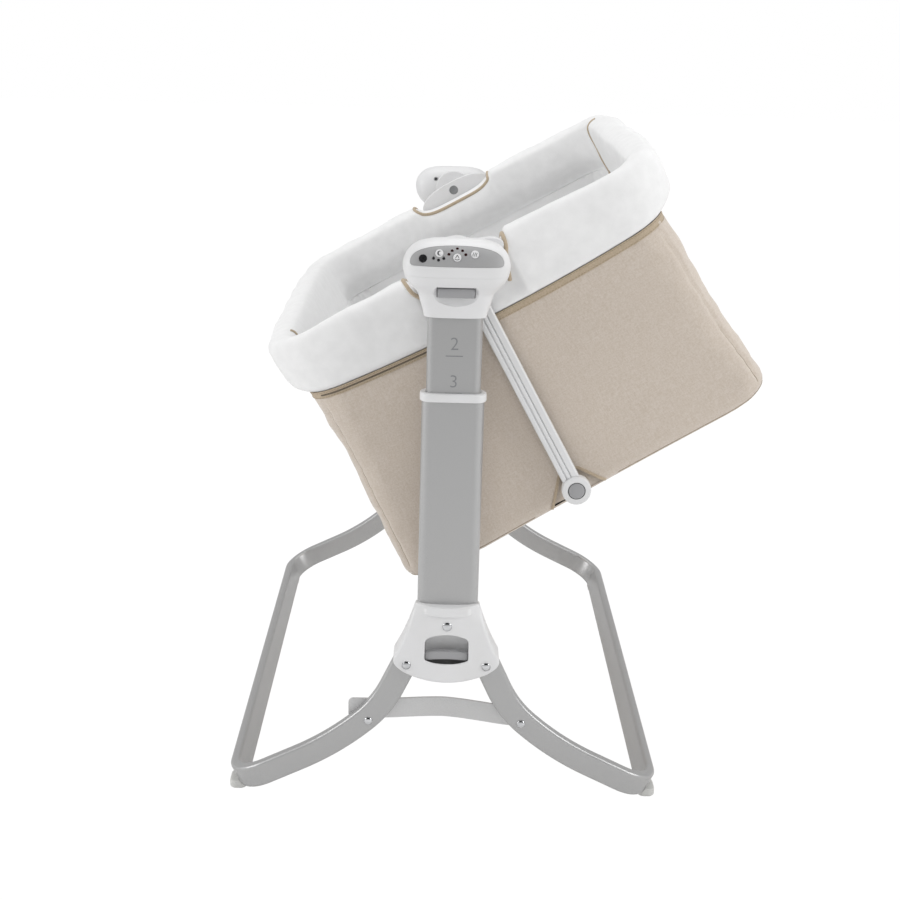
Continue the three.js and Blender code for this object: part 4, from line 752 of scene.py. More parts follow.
def lay_out(bm: Mesh, rows: list[list], is_loop: bool = False) -> None:
    """Gives a grown skin a UV map in metres: along its rings and from ring to ring.

    Args:
        bm: Mesh with the skin.
        rows: Its vertices, row by row, in millimetres.
        is_loop: Whether the last row joins the first one.
    """
    layer = bm.loops.layers.uv.verify()
    count = len(rows[0])
    middle = rows[len(rows) // 2]
    along = [0.0]
    for i in range(count):
        along.append(along[-1] + (middle[(i + 1) % count].co - middle[i].co).length)
    rise = [0.0]
    for i in range(len(rows)):
        after = rows[(i + 1) % len(rows)]
        steps = [(after[k].co - rows[i][k].co).length for k in range(0, count, 4)]
        rise.append(rise[-1] + sum(steps) / (count / 4))
    spot = {vert: (i, j) for i, row in enumerate(rows) for j, vert in enumerate(row)}
    for face in bm.faces:
        if not all(vert in spot for vert in face.verts):
            continue
        places = [spot[loop.vert] for loop in face.loops]
        wraps = max(j for _, j in places) - min(j for _, j in places) > count / 2
        turns = is_loop and max(i for i, _ in places) - min(i for i, _ in places) > len(rows) / 2
        for loop, (i, j) in zip(face.loops, places):
            u = along[count if wraps and j == 0 else j]
            v = rise[len(rows) if turns and i == 0 else i]
            loop[layer].uv = (u * MILLIMETRE, v * MILLIMETRE)


def shell_of(rings: Sequence[Ring], is_loop: bool = False) -> Mesh:
    """Closed mesh over rings of as many points each; in a loop the last ring joins the first one.

    Args:
        rings: Rings of as many points each.
        is_loop: Whether the last ring joins the first one.

    Returns:
        The closed mesh.
    """
    bm = bmesh.new()
    grow(bm, rings, is_loop)
    return bm


def cloth_of(rings: Sequence[Ring], is_loop: bool = False) -> Mesh:
    """Closed mesh over rings as shell_of makes it, with a UV map in metres.

    Args:
        rings: Rings of as many points each.
        is_loop: Whether the last ring joins the first one.

    Returns:
        The closed mesh.
    """
    bm = bmesh.new()
    lay_out(bm, grow(bm, rings, is_loop), is_loop)
    return bm


def tube_rings(path: Sequence[Vector], radius: float, sides: int, is_loop: bool = False) -> list[Ring]:
    """Round sections along a path, turned as little as the path allows.

    Args:
        path: Points of the centreline.
        radius: Radius of the tube.
        sides: Points of a section.
        is_loop: Whether the path closes on itself.

    Returns:
        The rings.
    """
    rings = []
    side = None
    count = len(path)
    for i, point in enumerate(path):
        before = path[(i - 1) % count] if is_loop or i else path[0]
        after = path[(i + 1) % count] if is_loop or i < count - 1 else path[-1]
        along = (after - before).normalized()
        if side is None:
            side = along.orthogonal()
        side = (side - along * side.dot(along)).normalized()
        other = along.cross(side)
        turns = [k / sides * math.tau for k in range(sides)]
        rings.append([point + side * math.cos(t) * radius + other * math.sin(t) * radius for t in turns])
    return rings


def rounded_profile(low: float, high: float, edge: float, steps: int = 3) -> list[tuple[float, float]]:
    """Heights and insets of a prism whose two rims are rounded.

    Args:
        low: Lower height.
        high: Upper height.
        edge: Radius of the rims.
        steps: Steps round each rim.

    Returns:
        Pairs of height and inset from low to high.
    """
    start = [(low + edge * (1 - math.cos(t)), edge * (1 - math.sin(t))) for t in quarter(steps)]
    finish = [(low + high - height, inset) for height, inset in reversed(start)]
    return start + finish


def slab(outline: Ring, low_y: float, high_y: float, edge: float) -> Mesh:
    """Prism along Y of an outline in the XZ plane, with rounded rims.

    Args:
        outline: Outline, counter-clockwise seen from negative Y.
        low_y: First place along Y.
        high_y: Last place along Y.
        edge: Radius of the rims.

    Returns:
        The closed mesh.
    """
    profile = rounded_profile(low_y, high_y, edge)
    return shell_of([at_depth(inward(outline, inset), y) for y, inset in profile])


def disc(
    radius: float, low_y: float, high_y: float, x: float, z: float, edge: float, sides: int = 48
) -> Mesh:
    """Round bar along Y with rounded rims.

    Args:
        radius: Radius.
        low_y: First place along Y.
        high_y: Last place along Y.
        x: Place of the axis along X.
        z: Place of the axis along Z.
        edge: Radius of the rims.
        sides: Points round it.

    Returns:
        The closed mesh.
    """
    return slab(circle(radius, x, 0, z, sides), low_y, high_y, edge)


def block(low: Sequence[float], high: Sequence[float], edge: float = 0.0) -> Mesh:
    """Rectangular block between two corners, with bevelled edges.

    Args:
        low: Lowest corner.
        high: Highest corner.
        edge: Radius of the edges.

    Returns:
        The closed mesh.
    """
    bm = bmesh.new()
    bmesh.ops.create_cube(bm, size=1)
    size = Vector(high) - Vector(low)
    bmesh.ops.scale(bm, vec=size, verts=bm.verts)
    bmesh.ops.translate(bm, vec=(Vector(high) + Vector(low)) / 2, verts=bm.verts)
    if edge:
        edges = list(bm.edges)
        bmesh.ops.bevel(bm, geom=edges, offset=edge, segments=3, affect="EDGES", profile=0.5, material=-1)
    return bm


def merged(*parts: Mesh) -> Mesh:
    """One mesh with all the given ones in it, untouched.

    Args:
        parts: Meshes that are put in, and used up.

    Returns:
        The closed mesh.
    """
    whole = bmesh.new()
    for part in parts:
        mesh = bpy.data.meshes.new("part")
        part.to_mesh(mesh)
        part.free()
        whole.from_mesh(mesh)
        bpy.data.meshes.remove(mesh)
    return whole


def carved(body: Mesh, tool: Mesh, carving: Carving) -> Mesh:
    """Cuts, joins or intersects two closed meshes.

    Args:
        body: Mesh that is worked on, and used up.
        tool: Mesh that works on it, and is used up.
        carving: What is done.

    Returns:
        The new mesh.
    """
    stand_ins = []
    for bm in (body, tool):
        bmesh.ops.recalc_face_normals(bm, faces=bm.faces)
        mesh = bpy.data.meshes.new("blank")
        bm.to_mesh(mesh)
        bm.free()
        blank = bpy.data.objects.new("blank", mesh)
        bpy.context.scene.collection.objects.link(blank)
        stand_ins.append(blank)
    modifier = stand_ins[0].modifiers.new("carving", "BOOLEAN")
    modifier.operation = carving.value
    modifier.object = stand_ins[1]
    modifier.solver = "EXACT"
    seen = stand_ins[0].evaluated_get(bpy.context.evaluated_depsgraph_get())
    result = bmesh.new()
    result.from_mesh(seen.to_mesh())
    for blank in stand_ins:
        mesh = blank.data
        bpy.data.objects.remove(blank)
        bpy.data.meshes.remove(mesh)
    return result


def make_piece(
    name: str,
    bm: Mesh,
    place: Matrix,
    body: str,
    finish: Finish,
    stands_for: Iterable[str] = (),
    crease: float = 35.0,
    levels: int = 0,
    wall: float = 0.0,
) -> bpy.types.Object:
    """Turns a mesh in millimetres into a finished piece that rides on a body.

    Args:
        name: Name of the piece.
        bm: Its mesh, which is used up.
        place: Frame that carries it to its place in metres.
        body: Body that it rides on.
        finish: Its finish.
        stands_for: Solids that it stands for.
        crease: Angle in degrees past which an edge is drawn sharp.
        levels: Levels of subdivision.
        wall: Thickness given to a sheet, in millimetres.

    Returns:
        The piece.
    """
    bmesh.ops.transform(bm, matrix=place, verts=bm.verts)
    bmesh.ops.recalc_face_normals(bm, faces=bm.faces)
    limit = math.radians(crease)
    for face in bm.faces:
        face.smooth = True
    for edge in bm.edges:
        edge.smooth = len(edge.link_faces) != 2 or edge.calc_face_angle() < limit
    mesh = bpy.data.meshes.new(name)
    bm.to_mesh(mesh)
    bm.free()
    piece = bpy.data.objects.new(name, mesh)
    bpy.context.scene.collection.objects.link(piece)
    mesh.materials.append(finish.build())
    if wall:
        solidify = piece.modifiers.new("wall", "SOLIDIFY")
        solidify.thickness = wall * MILLIMETRE
        solidify.offset = -1
    if levels:
        smooth = piece.modifiers.new("smooth", "SUBSURF")
        smooth.levels = smooth.render_levels = levels
    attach(piece, body)
    if stands_for:
        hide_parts(*stands_for)
    log.info("%s: %d faces on %s", name, len(mesh.polygons), body)
    return piece


def dress(node: str, finish: Finish) -> None:
    """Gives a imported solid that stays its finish.

    Args:
        node: Name of the solid.
        finish: Its finish.
    """
    mesh = frame["nodes"][node].data
    mesh.materials.clear()
    mesh.materials.append(finish.build())


# Stand


@dataclass
class LegLoops:
    """Two bent tubes on the floor, with the pads under their corners and the bars between them."""

    length: float = 900.0
    width: float = 37.0
    thick: float = 16.5
    edge: float = 5.0
    rail_x: float = 308.3
    rail_z: float = 23.7
    lean: float = math.radians(26)
    corner: float = 50.0
    straight: float = 53.5
    bends: tuple[tuple[float, float], ...] = ((420.0, math.radians(42)), (170.0, math.radians(65)))
    top_run: float = 50.0
    pad_half: tuple[float, float] = (13.0, 19.0)
    pad_height: float = 12.6
    pad_edge: float = 2.5
    pad_corner: float = 10.0
    pad_play: float = 0.3
    pad_lead: float = -1.0
    pad_inset: float = 52.0
    bar_span: tuple[float, float] = (-142.0, 120.0)
    bar_height: float = 31.0
    bar_thick: float = 3.5
    bar_corner: float = 7.0
    bar_bow: float = 10.0
    bar_flat: float = 16.0
    bar_levels: tuple[tuple[float, float], ...] = (
        (-142.0, 148.0), (-60.0, 148.5), (0.0, 147.5), (60.0, 143.5), (112.0, 138.5), (142.0, 138.0),
    )
    rivet_x: float = 112.0
    rivet_z: float = 136.0
    rivet_radius: float = 6.0
    rivet_rise: float = 2.6

    def half_loop(self, side: int) -> list[tuple[Vector, Vector, Vector]]:
        """Stations of a loop's front half, from the rail up to the leg's top.

        Args:
            side: 1 for the right loop, -1 for the left one.

        Returns:
            Centre, wide direction and thin direction of the tube at each station.
        """
        leg_y = self.length / 2 - self.thick / 2
        wide = Vector((side * math.sin(self.lean), 0, math.cos(self.lean)))
        into = Vector((-side * math.cos(self.lean), 0, math.sin(self.lean))) * self.corner
        centre = Vector((side * self.rail_x, -leg_y + self.corner, self.rail_z)) + into
        half = []
        for turn in quarter(14):
            point = centre - into * math.cos(turn) - Vector((0, self.corner * math.sin(turn), 0))
            half.append((point, wide, -into.normalized() * math.cos(turn) - Vector((0, math.sin(turn), 0))))
        front = Vector((0, -1, 0))
        angle = self.lean
        point = half[-1][0] + into.normalized() * self.straight
        half.append((point, wide, front))
        for radius, last in self.bends:
            for i in range(1, 13):
                turn = angle + (last - angle) * i / 12
                x = point.x - side * radius * (math.sin(turn) - math.sin(angle))
                z = point.z + radius * (math.cos(angle) - math.cos(turn))
                across = Vector((side * math.sin(turn), 0, math.cos(turn)))
                half.append((Vector((x, point.y, z)), across, front))
            angle, point = last, half[-1][0]
        run = Vector((-side * math.cos(angle), 0, math.sin(angle))) * self.top_run
        half.append((point + run, half[-1][1], front))
        return half

    def tube(self, section: Ring, stations: Iterable[tuple[Vector, Vector, Vector]]) -> Mesh:
        """Tube with one section along stations."""
        return shell_of([[p + w * s.x + t * s.y for s in section] for p, w, t in stations])

    def build(self, layout: Layout) -> None:
        """Builds the loops, pads, bars and rivets.

        Args:
            layout: Frames of the cradle.
        """
        section = oval_ring(self.width / 2, self.thick / 2, self.edge, corner_steps=6)
        flip = Matrix.Diagonal((1, -1, 1))
        for side, word in ((-1, "left"), (1, "right")):
            half = self.half_loop(side)
            tube = self.tube(section, half[::-1] + [(flip @ p, flip @ w, flip @ t) for p, w, t in half])
            name = f"leg_loop_{word}"
            make_piece(f"{name}_tube", tube, layout.stand(), "stand", OUTER_TUBE, [name], 50)
            for end in End:
                self.pad(layout, end, side)
        for end in End:
            self.bar(layout, end)
            for x in (-self.rivet_x, self.rivet_x):
                self.rivet(layout, end, x)

    def pad(self, layout: Layout, end: End, side: int) -> None:
        """Builds the soft pad under one corner of a loop.

        Args:
            layout: Frames of the cradle.
            end: End that it is built at.
            side: 1 for the right loop, -1 for the left one.
        """
        place = Vector((side * (self.rail_x - self.pad_lead), -(self.length / 2 - self.pad_inset), 0))
        half_x, half_y = self.pad_half
        profile = rounded_profile(0, self.pad_height, self.pad_edge)
        rings = [
            oval_ring(half_x - inset, half_y - inset, self.pad_corner - inset, z, 6) for z, inset in profile
        ]
        pad = shell_of([[point + place for point in ring] for ring in rings])
        wide, thick = self.width / 2 + self.pad_play, self.thick / 2 + self.pad_play
        fit = oval_ring(wide, thick, self.edge, corner_steps=4)
        pad = carved(pad, self.tube(fit, self.half_loop(side)[:20]), Carving.CUT)
        word = "left" if side < 0 else "right"
        name = f"foot_{word}_{end.value}"
        make_piece(f"{name}_pad", pad, layout.stand(end), "stand", FOOT_RUBBER, [name])

    def bar(self, layout: Layout, end: End) -> None:
        """Builds the strip that bows back between its two riveted ends and falls a little to one side.

        Args:
            layout: Frames of the cradle.
            end: End that it is built at.
        """
        near = -(self.length / 2 - self.thick) + 0.3
        first, last = self.bar_span
        outline = oval_ring((last - first) / 2, self.bar_height / 2, self.bar_corner, corner_steps=10)
        bm = slab(upright(outline, (first + last) / 2), near, near + self.bar_thick, 0.6)
        flat = self.rivet_x - self.bar_flat
        for i in range(-20, 21):
            cut_x = i / 20 * flat
            geom = list(bm.verts) + list(bm.edges) + list(bm.faces)
            bmesh.ops.bisect_plane(bm, geom=geom, plane_co=(cut_x, 0, 0), plane_no=(1, 0, 0))
        for vert in bm.verts:
            if abs(vert.co.x) < flat:
                vert.co.y += self.bar_bow * (1 + math.cos(vert.co.x / flat * math.pi)) / 2
            for (start, low), (after, high) in zip(self.bar_levels, self.bar_levels[1:]):
                if start <= vert.co.x <= after:
                    vert.co.z += low + (high - low) * (vert.co.x - start) / (after - start)
                    break
        name = f"crossbar_{end.value}"
        make_piece(f"{name}_strip", bm, layout.stand(end), "stand", CROSSBAR_STEEL, [name])

    def rivet(self, layout: Layout, end: End, x: float) -> None:
        """Builds a domed rivet head on the front of a leg.

        Args:
            layout: Frames of the cradle.
            end: End that it is built at.
            x: Place along X.
        """
        bm = domed_head(self.rivet_radius, self.rivet_rise, x, -self.length / 2 + 0.2, self.rivet_z)
        side = "left" if x < 0 else "right"
        make_piece(f"leg_rivet_{side}_{end.value}", bm, layout.stand(end), "stand", RIVET_CHROME)


def domed_head(radius: float, rise: float, x: float, y: float, z: float) -> Mesh:
    """Domed rivet head that stands on a face looking along negative Y.

    Args:
        radius: Radius of the head.
        rise: Height of the dome.
        x: Place along X.
        y: Face that it stands on.
        z: Place along Z.

    Returns:
        The closed mesh.
    """
    profile = [(radius, 0.0)]
    for i in range(9):
        turn = i / 9 * math.pi / 2
        profile.append((radius * math.cos(turn), 0.5 + rise * math.sin(turn)))
    return shell_of([circle(r, x, y - h, z, 32) for r, h in profile])


@dataclass
class Hub:
    """Two moulded covers that clamp the legs and the foot of the post, with the lever in their window."""

    front: float = -459.0
    split: float = -441.75
    back: float = -407.0
    top_z: float = 322.5
    top_half: float = 46.5
    neck_half: float = 58.0
    neck_z: float = 272.0
    side_half: float = 76.0
    side_z: float = 237.0
    low_half: float = 58.0
    low_z: float = 216.0
    bottom_z: float = 203.0
    bevel: float = 4.0
    wrap: float = 14.0
    wrap_start: float = 284.0
    middle_z: float = 252.0
    back_lowered: float = 10.0
    pocket: float = -434.0
    well_half: tuple[float, float] = (43.9, 16.4)
    well_y: float = -428.0
    well_low: float = 284.6
    brim_low: float = 308.0
    brim_high: float = 320.0
    brim_half: float = 34.0
    brim_proud: float = 4.2
    window_half: float = 31.5
    window_low: float = 237.4
    window_dip: float = 4.6
    window_side: float = 268.0
    window_top: float = 279.0
    window_lip: float = 1.2
    lever_half: float = 30.6
    lever_mid: float = 243.0
    lever_arch: float = 3.0
    lever_front: float = -455.6
    lever_deep: float = 10.0
    lever_tall: float = 6.6
    # Outline and height of the dark slab that paints the shade in the slot under the lever.
    shade_slab_half: tuple[float, float, float] = (31.0, 9.5, 3.0)
    shade_slab_z: float = 236.8
    rivet_rise: float = 2.8
    seat_profile: tuple[tuple[float, float], ...] = (
        (0.2, -2.0), (0.2, 0.3), (0.6, 0.6), (1.1, 0.3), (1.3, -2.0),
    )
    rivets: tuple[tuple[str, float, float, float], ...] = (
        ("top", 0.0, 292.5, 6.8), ("left", -57.5, 231.0, 6.2), ("right", 57.5, 231.0, 6.2),
    )

    def outline(self, lowered: float = 0.0) -> Ring:
        """Outline of the covers, counter-clockwise seen from the front.

        Args:
            lowered: How much lower than the front cover's its top edge lies.

        Returns:
            The outline.
        """
        side, low, neck = self.side_half, self.side_z, self.neck_half
        half, top = self.top_half, self.top_z - lowered
        crown = top - 2.0
        foot = (self.low_half, self.low_z)
        right = bezier((0, self.bottom_z), (self.low_half / 2, self.bottom_z), foot, steps=20)
        right += bezier(foot, (side + 6, low - 8), (side - 1, low + 5), steps=20)
        right += bezier((side - 1, low + 5), (neck, self.neck_z), (half + 0.6, top - 3), steps=26)
        right += bezier((half + 0.6, top - 3), (half, top), (half - 3, top), steps=6)
        right += bezier((half - 3, top), (half / 2, crown), (0, crown), steps=16)
        return whole_outline(right, crown)

    def window(self, inset: float = 0.0, drop: float = 0.0) -> Ring:
        """Outline of the window.

        Args:
            inset: How far it is drawn inward.
            drop: How much deeper its floor lies.

        Returns:
            The outline, counter-clockwise seen from the front.
        """
        half, side = self.window_half - inset, self.window_side
        low, top = self.window_low + inset - drop, self.window_top - inset
        dip = low - self.window_dip
        points = bezier((0, dip), (half * 0.55, dip), (half - 3.5, low), steps=16)
        points += bezier((half - 3.5, low), (half, low + 0.8), (half, low + 4), steps=5)
        points += bezier((half, low + 4), (half, side - 3), steps=10)
        points += bezier((half, side - 3), (half, side + 4), (half - 7, top - 4.6), steps=8)
        points += bezier((half - 7, top - 4.6), (half * 0.4, top), (0, top), steps=12)
        return whole_outline(points, top)

    def seen_from_middle(self, ring: Ring, like: Ring) -> Ring:
        """Points of one outline that lie in the same directions from the window's middle as another's.

        Args:
            ring: Outline that is met.
            like: Outline whose directions are taken.

        Returns:
            As many points as the other outline has.
        """
        middle = Vector((0, 0, self.middle_z))
        found = []
        for aim in like:
            way = aim - middle
            for start, after in zip(ring, ring[1:] + ring[:1]):
                a, b = start - middle, after - middle
                side_a, side_b = way.x * a.z - way.z * a.x, way.x * b.z - way.z * b.x
                if side_a <= 0 < side_b and a.dot(way) + b.dot(way) > 0:
                    found.append(start.lerp(after, side_a / (side_a - side_b)))
                    break
        return found

    def wrapped(self, ring: Ring, y: float) -> Ring:
        """The ring at a depth, with its upper corners drawn back round the post.

        Args:
            ring: Outline.
            y: Place along Y.

        Returns:
            The points.
        """
        placed = []
        for point in ring:
            rise = held((point.z - self.wrap_start) / (self.top_z - self.wrap_start))
            share = eased(rise) * (abs(point.x) / self.top_half) ** 2.6
            bulge = 1.6 * (1 - min(1, abs(point.x) / self.side_half) ** 2)
            depth = (self.split - y) / (self.split - self.front)
            placed.append(Vector((point.x, y + (self.wrap * min(1, share) + 1.6 - bulge) * depth, point.z)))
        return placed

    def build(self, layout: Layout, end: End) -> None:
        """Builds the covers, the lever and the rivets of one end.

        Args:
            layout: Frames of the cradle.
            end: End that it is built at.
        """
        tag = end.value
        place = layout.stand(end)
        shells = (
            (f"hub_front_shell_{tag}", self.front_cover(), f"hub_front_cover_{tag}"),
            (f"hub_back_shell_{tag}", self.back_cover(), f"hub_back_cover_{tag}"),
        )
        for name, shell, solid in shells:
            make_piece(name, shell, place, "stand", WHITE_ABS, [solid], 32)
        lever = f"hub_lever_{tag}"
        make_piece(f"hub_lever_bar_{tag}", self.lever(), place, lever, GREY_ABS, [lever], 32)
        # Dark slab behind the lever: painted shade in the slot under it, where the light does not reach.
        shade_slab_outline = upright(oval_ring(*self.shade_slab_half), z=self.shade_slab_z)
        slot = slab(shade_slab_outline, self.split - 3.2, self.split - 0.2, 0.3)
        make_piece(f"hub_slot_painted_shade_{tag}", slot, place, "stand", PAINTED_SLOT_SHADE)
        for word, x, z, radius in self.rivets:
            head = domed_head(radius, self.rivet_rise, x, self.front + 1.0, z)
            make_piece(f"hub_rivet_{word}_{tag}", head, place, "stand", RIVET_CHROME)
            profile = [(radius + wider, self.front - rise) for wider, rise in self.seat_profile]
            seat = shell_of([circle(reach, x, y, z, 36) for reach, y in profile], is_loop=True)
            make_piece(f"hub_rivet_seat_{word}_{tag}", seat, place, "stand", WHITE_ABS)

    def back_cover(self) -> Mesh:
        """Back cover: round rear rim, pocket behind the window, well for the foot of the lift.

        Returns:
            The closed mesh.
        """
        outline = self.outline(self.back_lowered)
        rings = [at_depth(inward(outline, 0.4), self.split + 0.1), at_depth(outline, self.split + 0.5)]
        for turn in quarter(6):
            inset = self.bevel * (1 - math.cos(turn))
            rings.append(at_depth(inward(outline, inset), self.back - self.bevel * (1 - math.sin(turn))))
        back = carved(shell_of(rings), slab(self.window(), self.split - 1, self.pocket, 0.2), Carving.CUT)
        section = oval_ring(*self.well_half, self.well_half[1] - 1, corner_steps=10)
        levels = (self.well_low, self.top_z + 10)
        well = shell_of([[Vector((p.x, p.y + self.well_y, z)) for p in section] for z in levels])
        return carved(back, well, Carving.CUT)

    def front_cover(self) -> Mesh:
        """Front cover: round front rim, corners drawn back at the top, window with a thin lip, brim.

        Returns:
            The closed mesh.
        """
        outline = self.outline()
        window = self.seen_from_middle(self.window(), outline)
        cavity = self.seen_from_middle(self.window(-0.6, 9), outline)
        rings = [at_depth(inward(outline, 0.4), self.split), at_depth(outline, self.split - 0.4)]
        for turn in quarter(6):
            inset, depth = self.bevel * (1 - math.cos(turn)), self.bevel * (1 - math.sin(turn))
            rings.append(self.wrapped(inward(outline, inset), self.front + depth))
        inner = inward(outline, self.bevel)
        for share in (0.2, 0.4, 0.6, 0.8, 0.92):
            rings.append(self.wrapped([a.lerp(b, share) for a, b in zip(inner, window)], self.front))
        lip = self.window_lip
        for turn in quarter(4):
            edge = inward(window, -lip * (1 - math.sin(turn)))
            rings.append(self.wrapped(edge, self.front + lip * (1 - math.cos(turn))))
        rings.append(self.wrapped(window, self.front + 2 * lip))
        rings.append(at_depth(cavity, self.front + 2.8))
        rings.append(at_depth(cavity, self.split))
        return merged(shell_of(rings, is_loop=True), self.brim())

    def brim(self) -> Mesh:
        """Raised brim under the top edge, flush above and standing proud along its bowed lower edge.

        Returns:
            The closed mesh.
        """
        rings = []
        reach = self.brim_half
        for i in range(33):
            x = -reach + 2 * reach * i / 32
            fade = min(1.0, (reach - abs(x)) / 4) ** 0.5
            bow = 2.2 * (x / reach) ** 2
            low, high = self.brim_low + bow, self.brim_high - 0.6 * bow
            face = self.front + self.wrap * (abs(x) / self.top_half) ** 2.6 * 0.9
            proud = self.brim_proud * fade
            points = (
                (face + 4, high),
                (face + 0.6, high - 0.1),
                (face - proud * 0.6, (low + high) / 2 + 1),
                (face - proud * 0.95, low + 2.4),
                (face - proud, low + 1.2),
                (face - proud * 0.9, low + 0.4),
                (face - proud * 0.6, low),
                (face + 4, low + 1),
            )
            rings.append([Vector((x, y, z)) for y, z in points])
        return shell_of(rings)

    def lever(self) -> Mesh:
        """Arched lever bar with a rounded front and a thumb notch in the middle of its top.

        Returns:
            The closed mesh.
        """
        section = oval_ring(self.lever_deep / 2, self.lever_tall, 2.0, corner_steps=5)
        rings = []
        for i in range(33):
            share = i / 32 * 2 - 1
            x = share * self.lever_half
            rise = 1 - share**2
            trim = 1 - 0.16 * abs(share) ** 16
            y = self.lever_front + self.lever_deep / 2 + 1.8 * (1 - rise)
            z = self.lever_mid + self.lever_arch * rise
            rings.append([Vector((x, y + s.x * trim, z + s.y * trim)) for s in section])
        top = self.lever_mid + self.lever_arch + self.lever_tall
        nick = block((-4.4, self.lever_front + 0.6, top - 0.9), (4.4, self.lever_front + 1.5, top + 2))
        return carved(shell_of(rings), nick, Carving.CUT)


@dataclass
class Post:
    """Outer tube with its collar, and the inner tube that slides in it with its printed scale."""

    y: float = -428.0
    outer_half: tuple[float, float, float] = (43.5, 16.0, 14.0)
    outer_span: tuple[float, float] = (285.0, 620.0)
    outer_wall: float = 2.5
    collar_lip: float = 2.6
    collar_height: float = 12.0
    sleeve_depth: float = 42.0
    inner_half: tuple[float, float, float] = (37.8, 12.0, 11.0)
    inner_span: tuple[float, float] = (420.0, 782.7)
    inner_wall: float = 2.2
    marks: tuple[tuple[str, float], ...] = (("2", 702.0), ("3", 649.4), ("4", 597.0), ("5", 544.6))
    digit_height: float = 17.5
    digit_share: float = 0.69
    ink: float = 0.06
    bar_half: tuple[float, float] = (11.6, 0.75)
    bar_drop: float = 8.6

    def ring(self, half: tuple[float, float, float], grow_by: float, z: float) -> Ring:
        """Section of a tube at a height, larger all round by a length."""
        half_x, half_y, corner = (value + grow_by for value in half)
        return [p + Vector((0, self.y, z)) for p in oval_ring(half_x, half_y, corner, corner_steps=12)]

    def pipe(self, half: tuple[float, float, float], wall: float, span: tuple[float, float]) -> Mesh:
        """Tube with softened ends.

        Args:
            half: Half width, half depth and corner radius.
            wall: Thickness of the wall.
            span: First and last place.

        Returns:
            The closed mesh.
        """
        low, high = span
        profile = [(-wall, low), (-0.4, low), (0, low + 0.4), (0, high - 0.4), (-0.4, high), (-wall, high)]
        return shell_of([self.ring(half, reach, z) for reach, z in profile], is_loop=True)

    def build(self, layout: Layout, end: End) -> None:
        """Builds the tubes, the collar and the scale of one end.

        Args:
            layout: Frames of the cradle.
            end: End that it is built at.
        """
        tag, place = end.value, layout.stand(end)
        outer = self.pipe(self.outer_half, self.outer_wall, self.outer_span)
        make_piece(f"outer_tube_{tag}", outer, place, "stand", OUTER_TUBE, [f"outer_post_{tag}"])
        inner = self.pipe(self.inner_half, self.inner_wall, self.inner_span)
        make_piece(f"inner_tube_{tag}", inner, place, "lift", INNER_TUBE, [f"inner_post_{tag}"])
        self.collar(place, tag)
        for mark, z in self.marks:
            self.mark(place, tag, mark, z)

    def collar(self, place: Matrix, tag: str) -> None:
        """Builds the collar: a soft lip over the tube's end and a sleeve inside it.

        Args:
            place: Frame that carries it to its place.
            tag: Word for the end, used in the names.
        """
        top = self.outer_span[1] + self.collar_height
        low, lip = self.outer_span[1] + 0.3, self.collar_lip
        bore = self.inner_half[0] + 0.4 - self.outer_half[0]
        sleeve, foot = -self.outer_wall - 0.3, self.outer_span[1] - self.sleeve_depth
        profile = [
            (bore, foot), (sleeve, foot), (sleeve, low), (lip - 0.8, low),
            (lip, low + 0.8), (lip, top - 2.6), (lip - 0.5, top - 1.2), (lip - 1.6, top - 0.2),
            (lip - 2.8, top), (bore + 0.8, top), (bore, top - 0.8),
        ]
        collar = shell_of([self.ring(self.outer_half, reach, z) for reach, z in profile], is_loop=True)
        make_piece(f"post_ring_{tag}", collar, place, "stand", WHITE_ABS, [f"post_collar_{tag}"])

    def mark(self, place: Matrix, tag: str, mark: str, z: float) -> None:
        """Prints one number of the scale with its bar under it.

        Args:
            place: Frame that carries it to its place.
            tag: Word for the end, used in the names.
            mark: Number that is printed.
            z: Height.
        """
        curve = bpy.data.curves.new("digit", "FONT")
        curve.body = mark
        curve.size = self.digit_height / self.digit_share
        curve.align_x = "CENTER"
        curve.extrude = self.ink
        curve.offset = -0.25
        digit = bpy.data.objects.new("digit", curve)
        bpy.context.scene.collection.objects.link(digit)
        seen = digit.evaluated_get(bpy.context.evaluated_depsgraph_get())
        bm = bmesh.new()
        bm.from_mesh(seen.to_mesh())
        bpy.data.objects.remove(digit)
        bpy.data.curves.remove(curve)
        face = self.y - self.inner_half[1] - 0.08
        foot = z - self.digit_height / 2
        stand_up = Matrix.Translation((0, face, foot)) @ Matrix.Rotation(math.pi / 2, 4, "X")
        bmesh.ops.transform(bm, matrix=stand_up, verts=bm.verts)
        wide, tall = self.bar_half
        bar_z = foot - self.bar_drop
        bar = block((-wide, face - self.ink, bar_z - tall), (wide, face + self.ink, bar_z + tall))
        make_piece(f"scale_mark_{mark}_{tag}", merged(bm, bar), place, "lift", GREY_INK)


# Pod


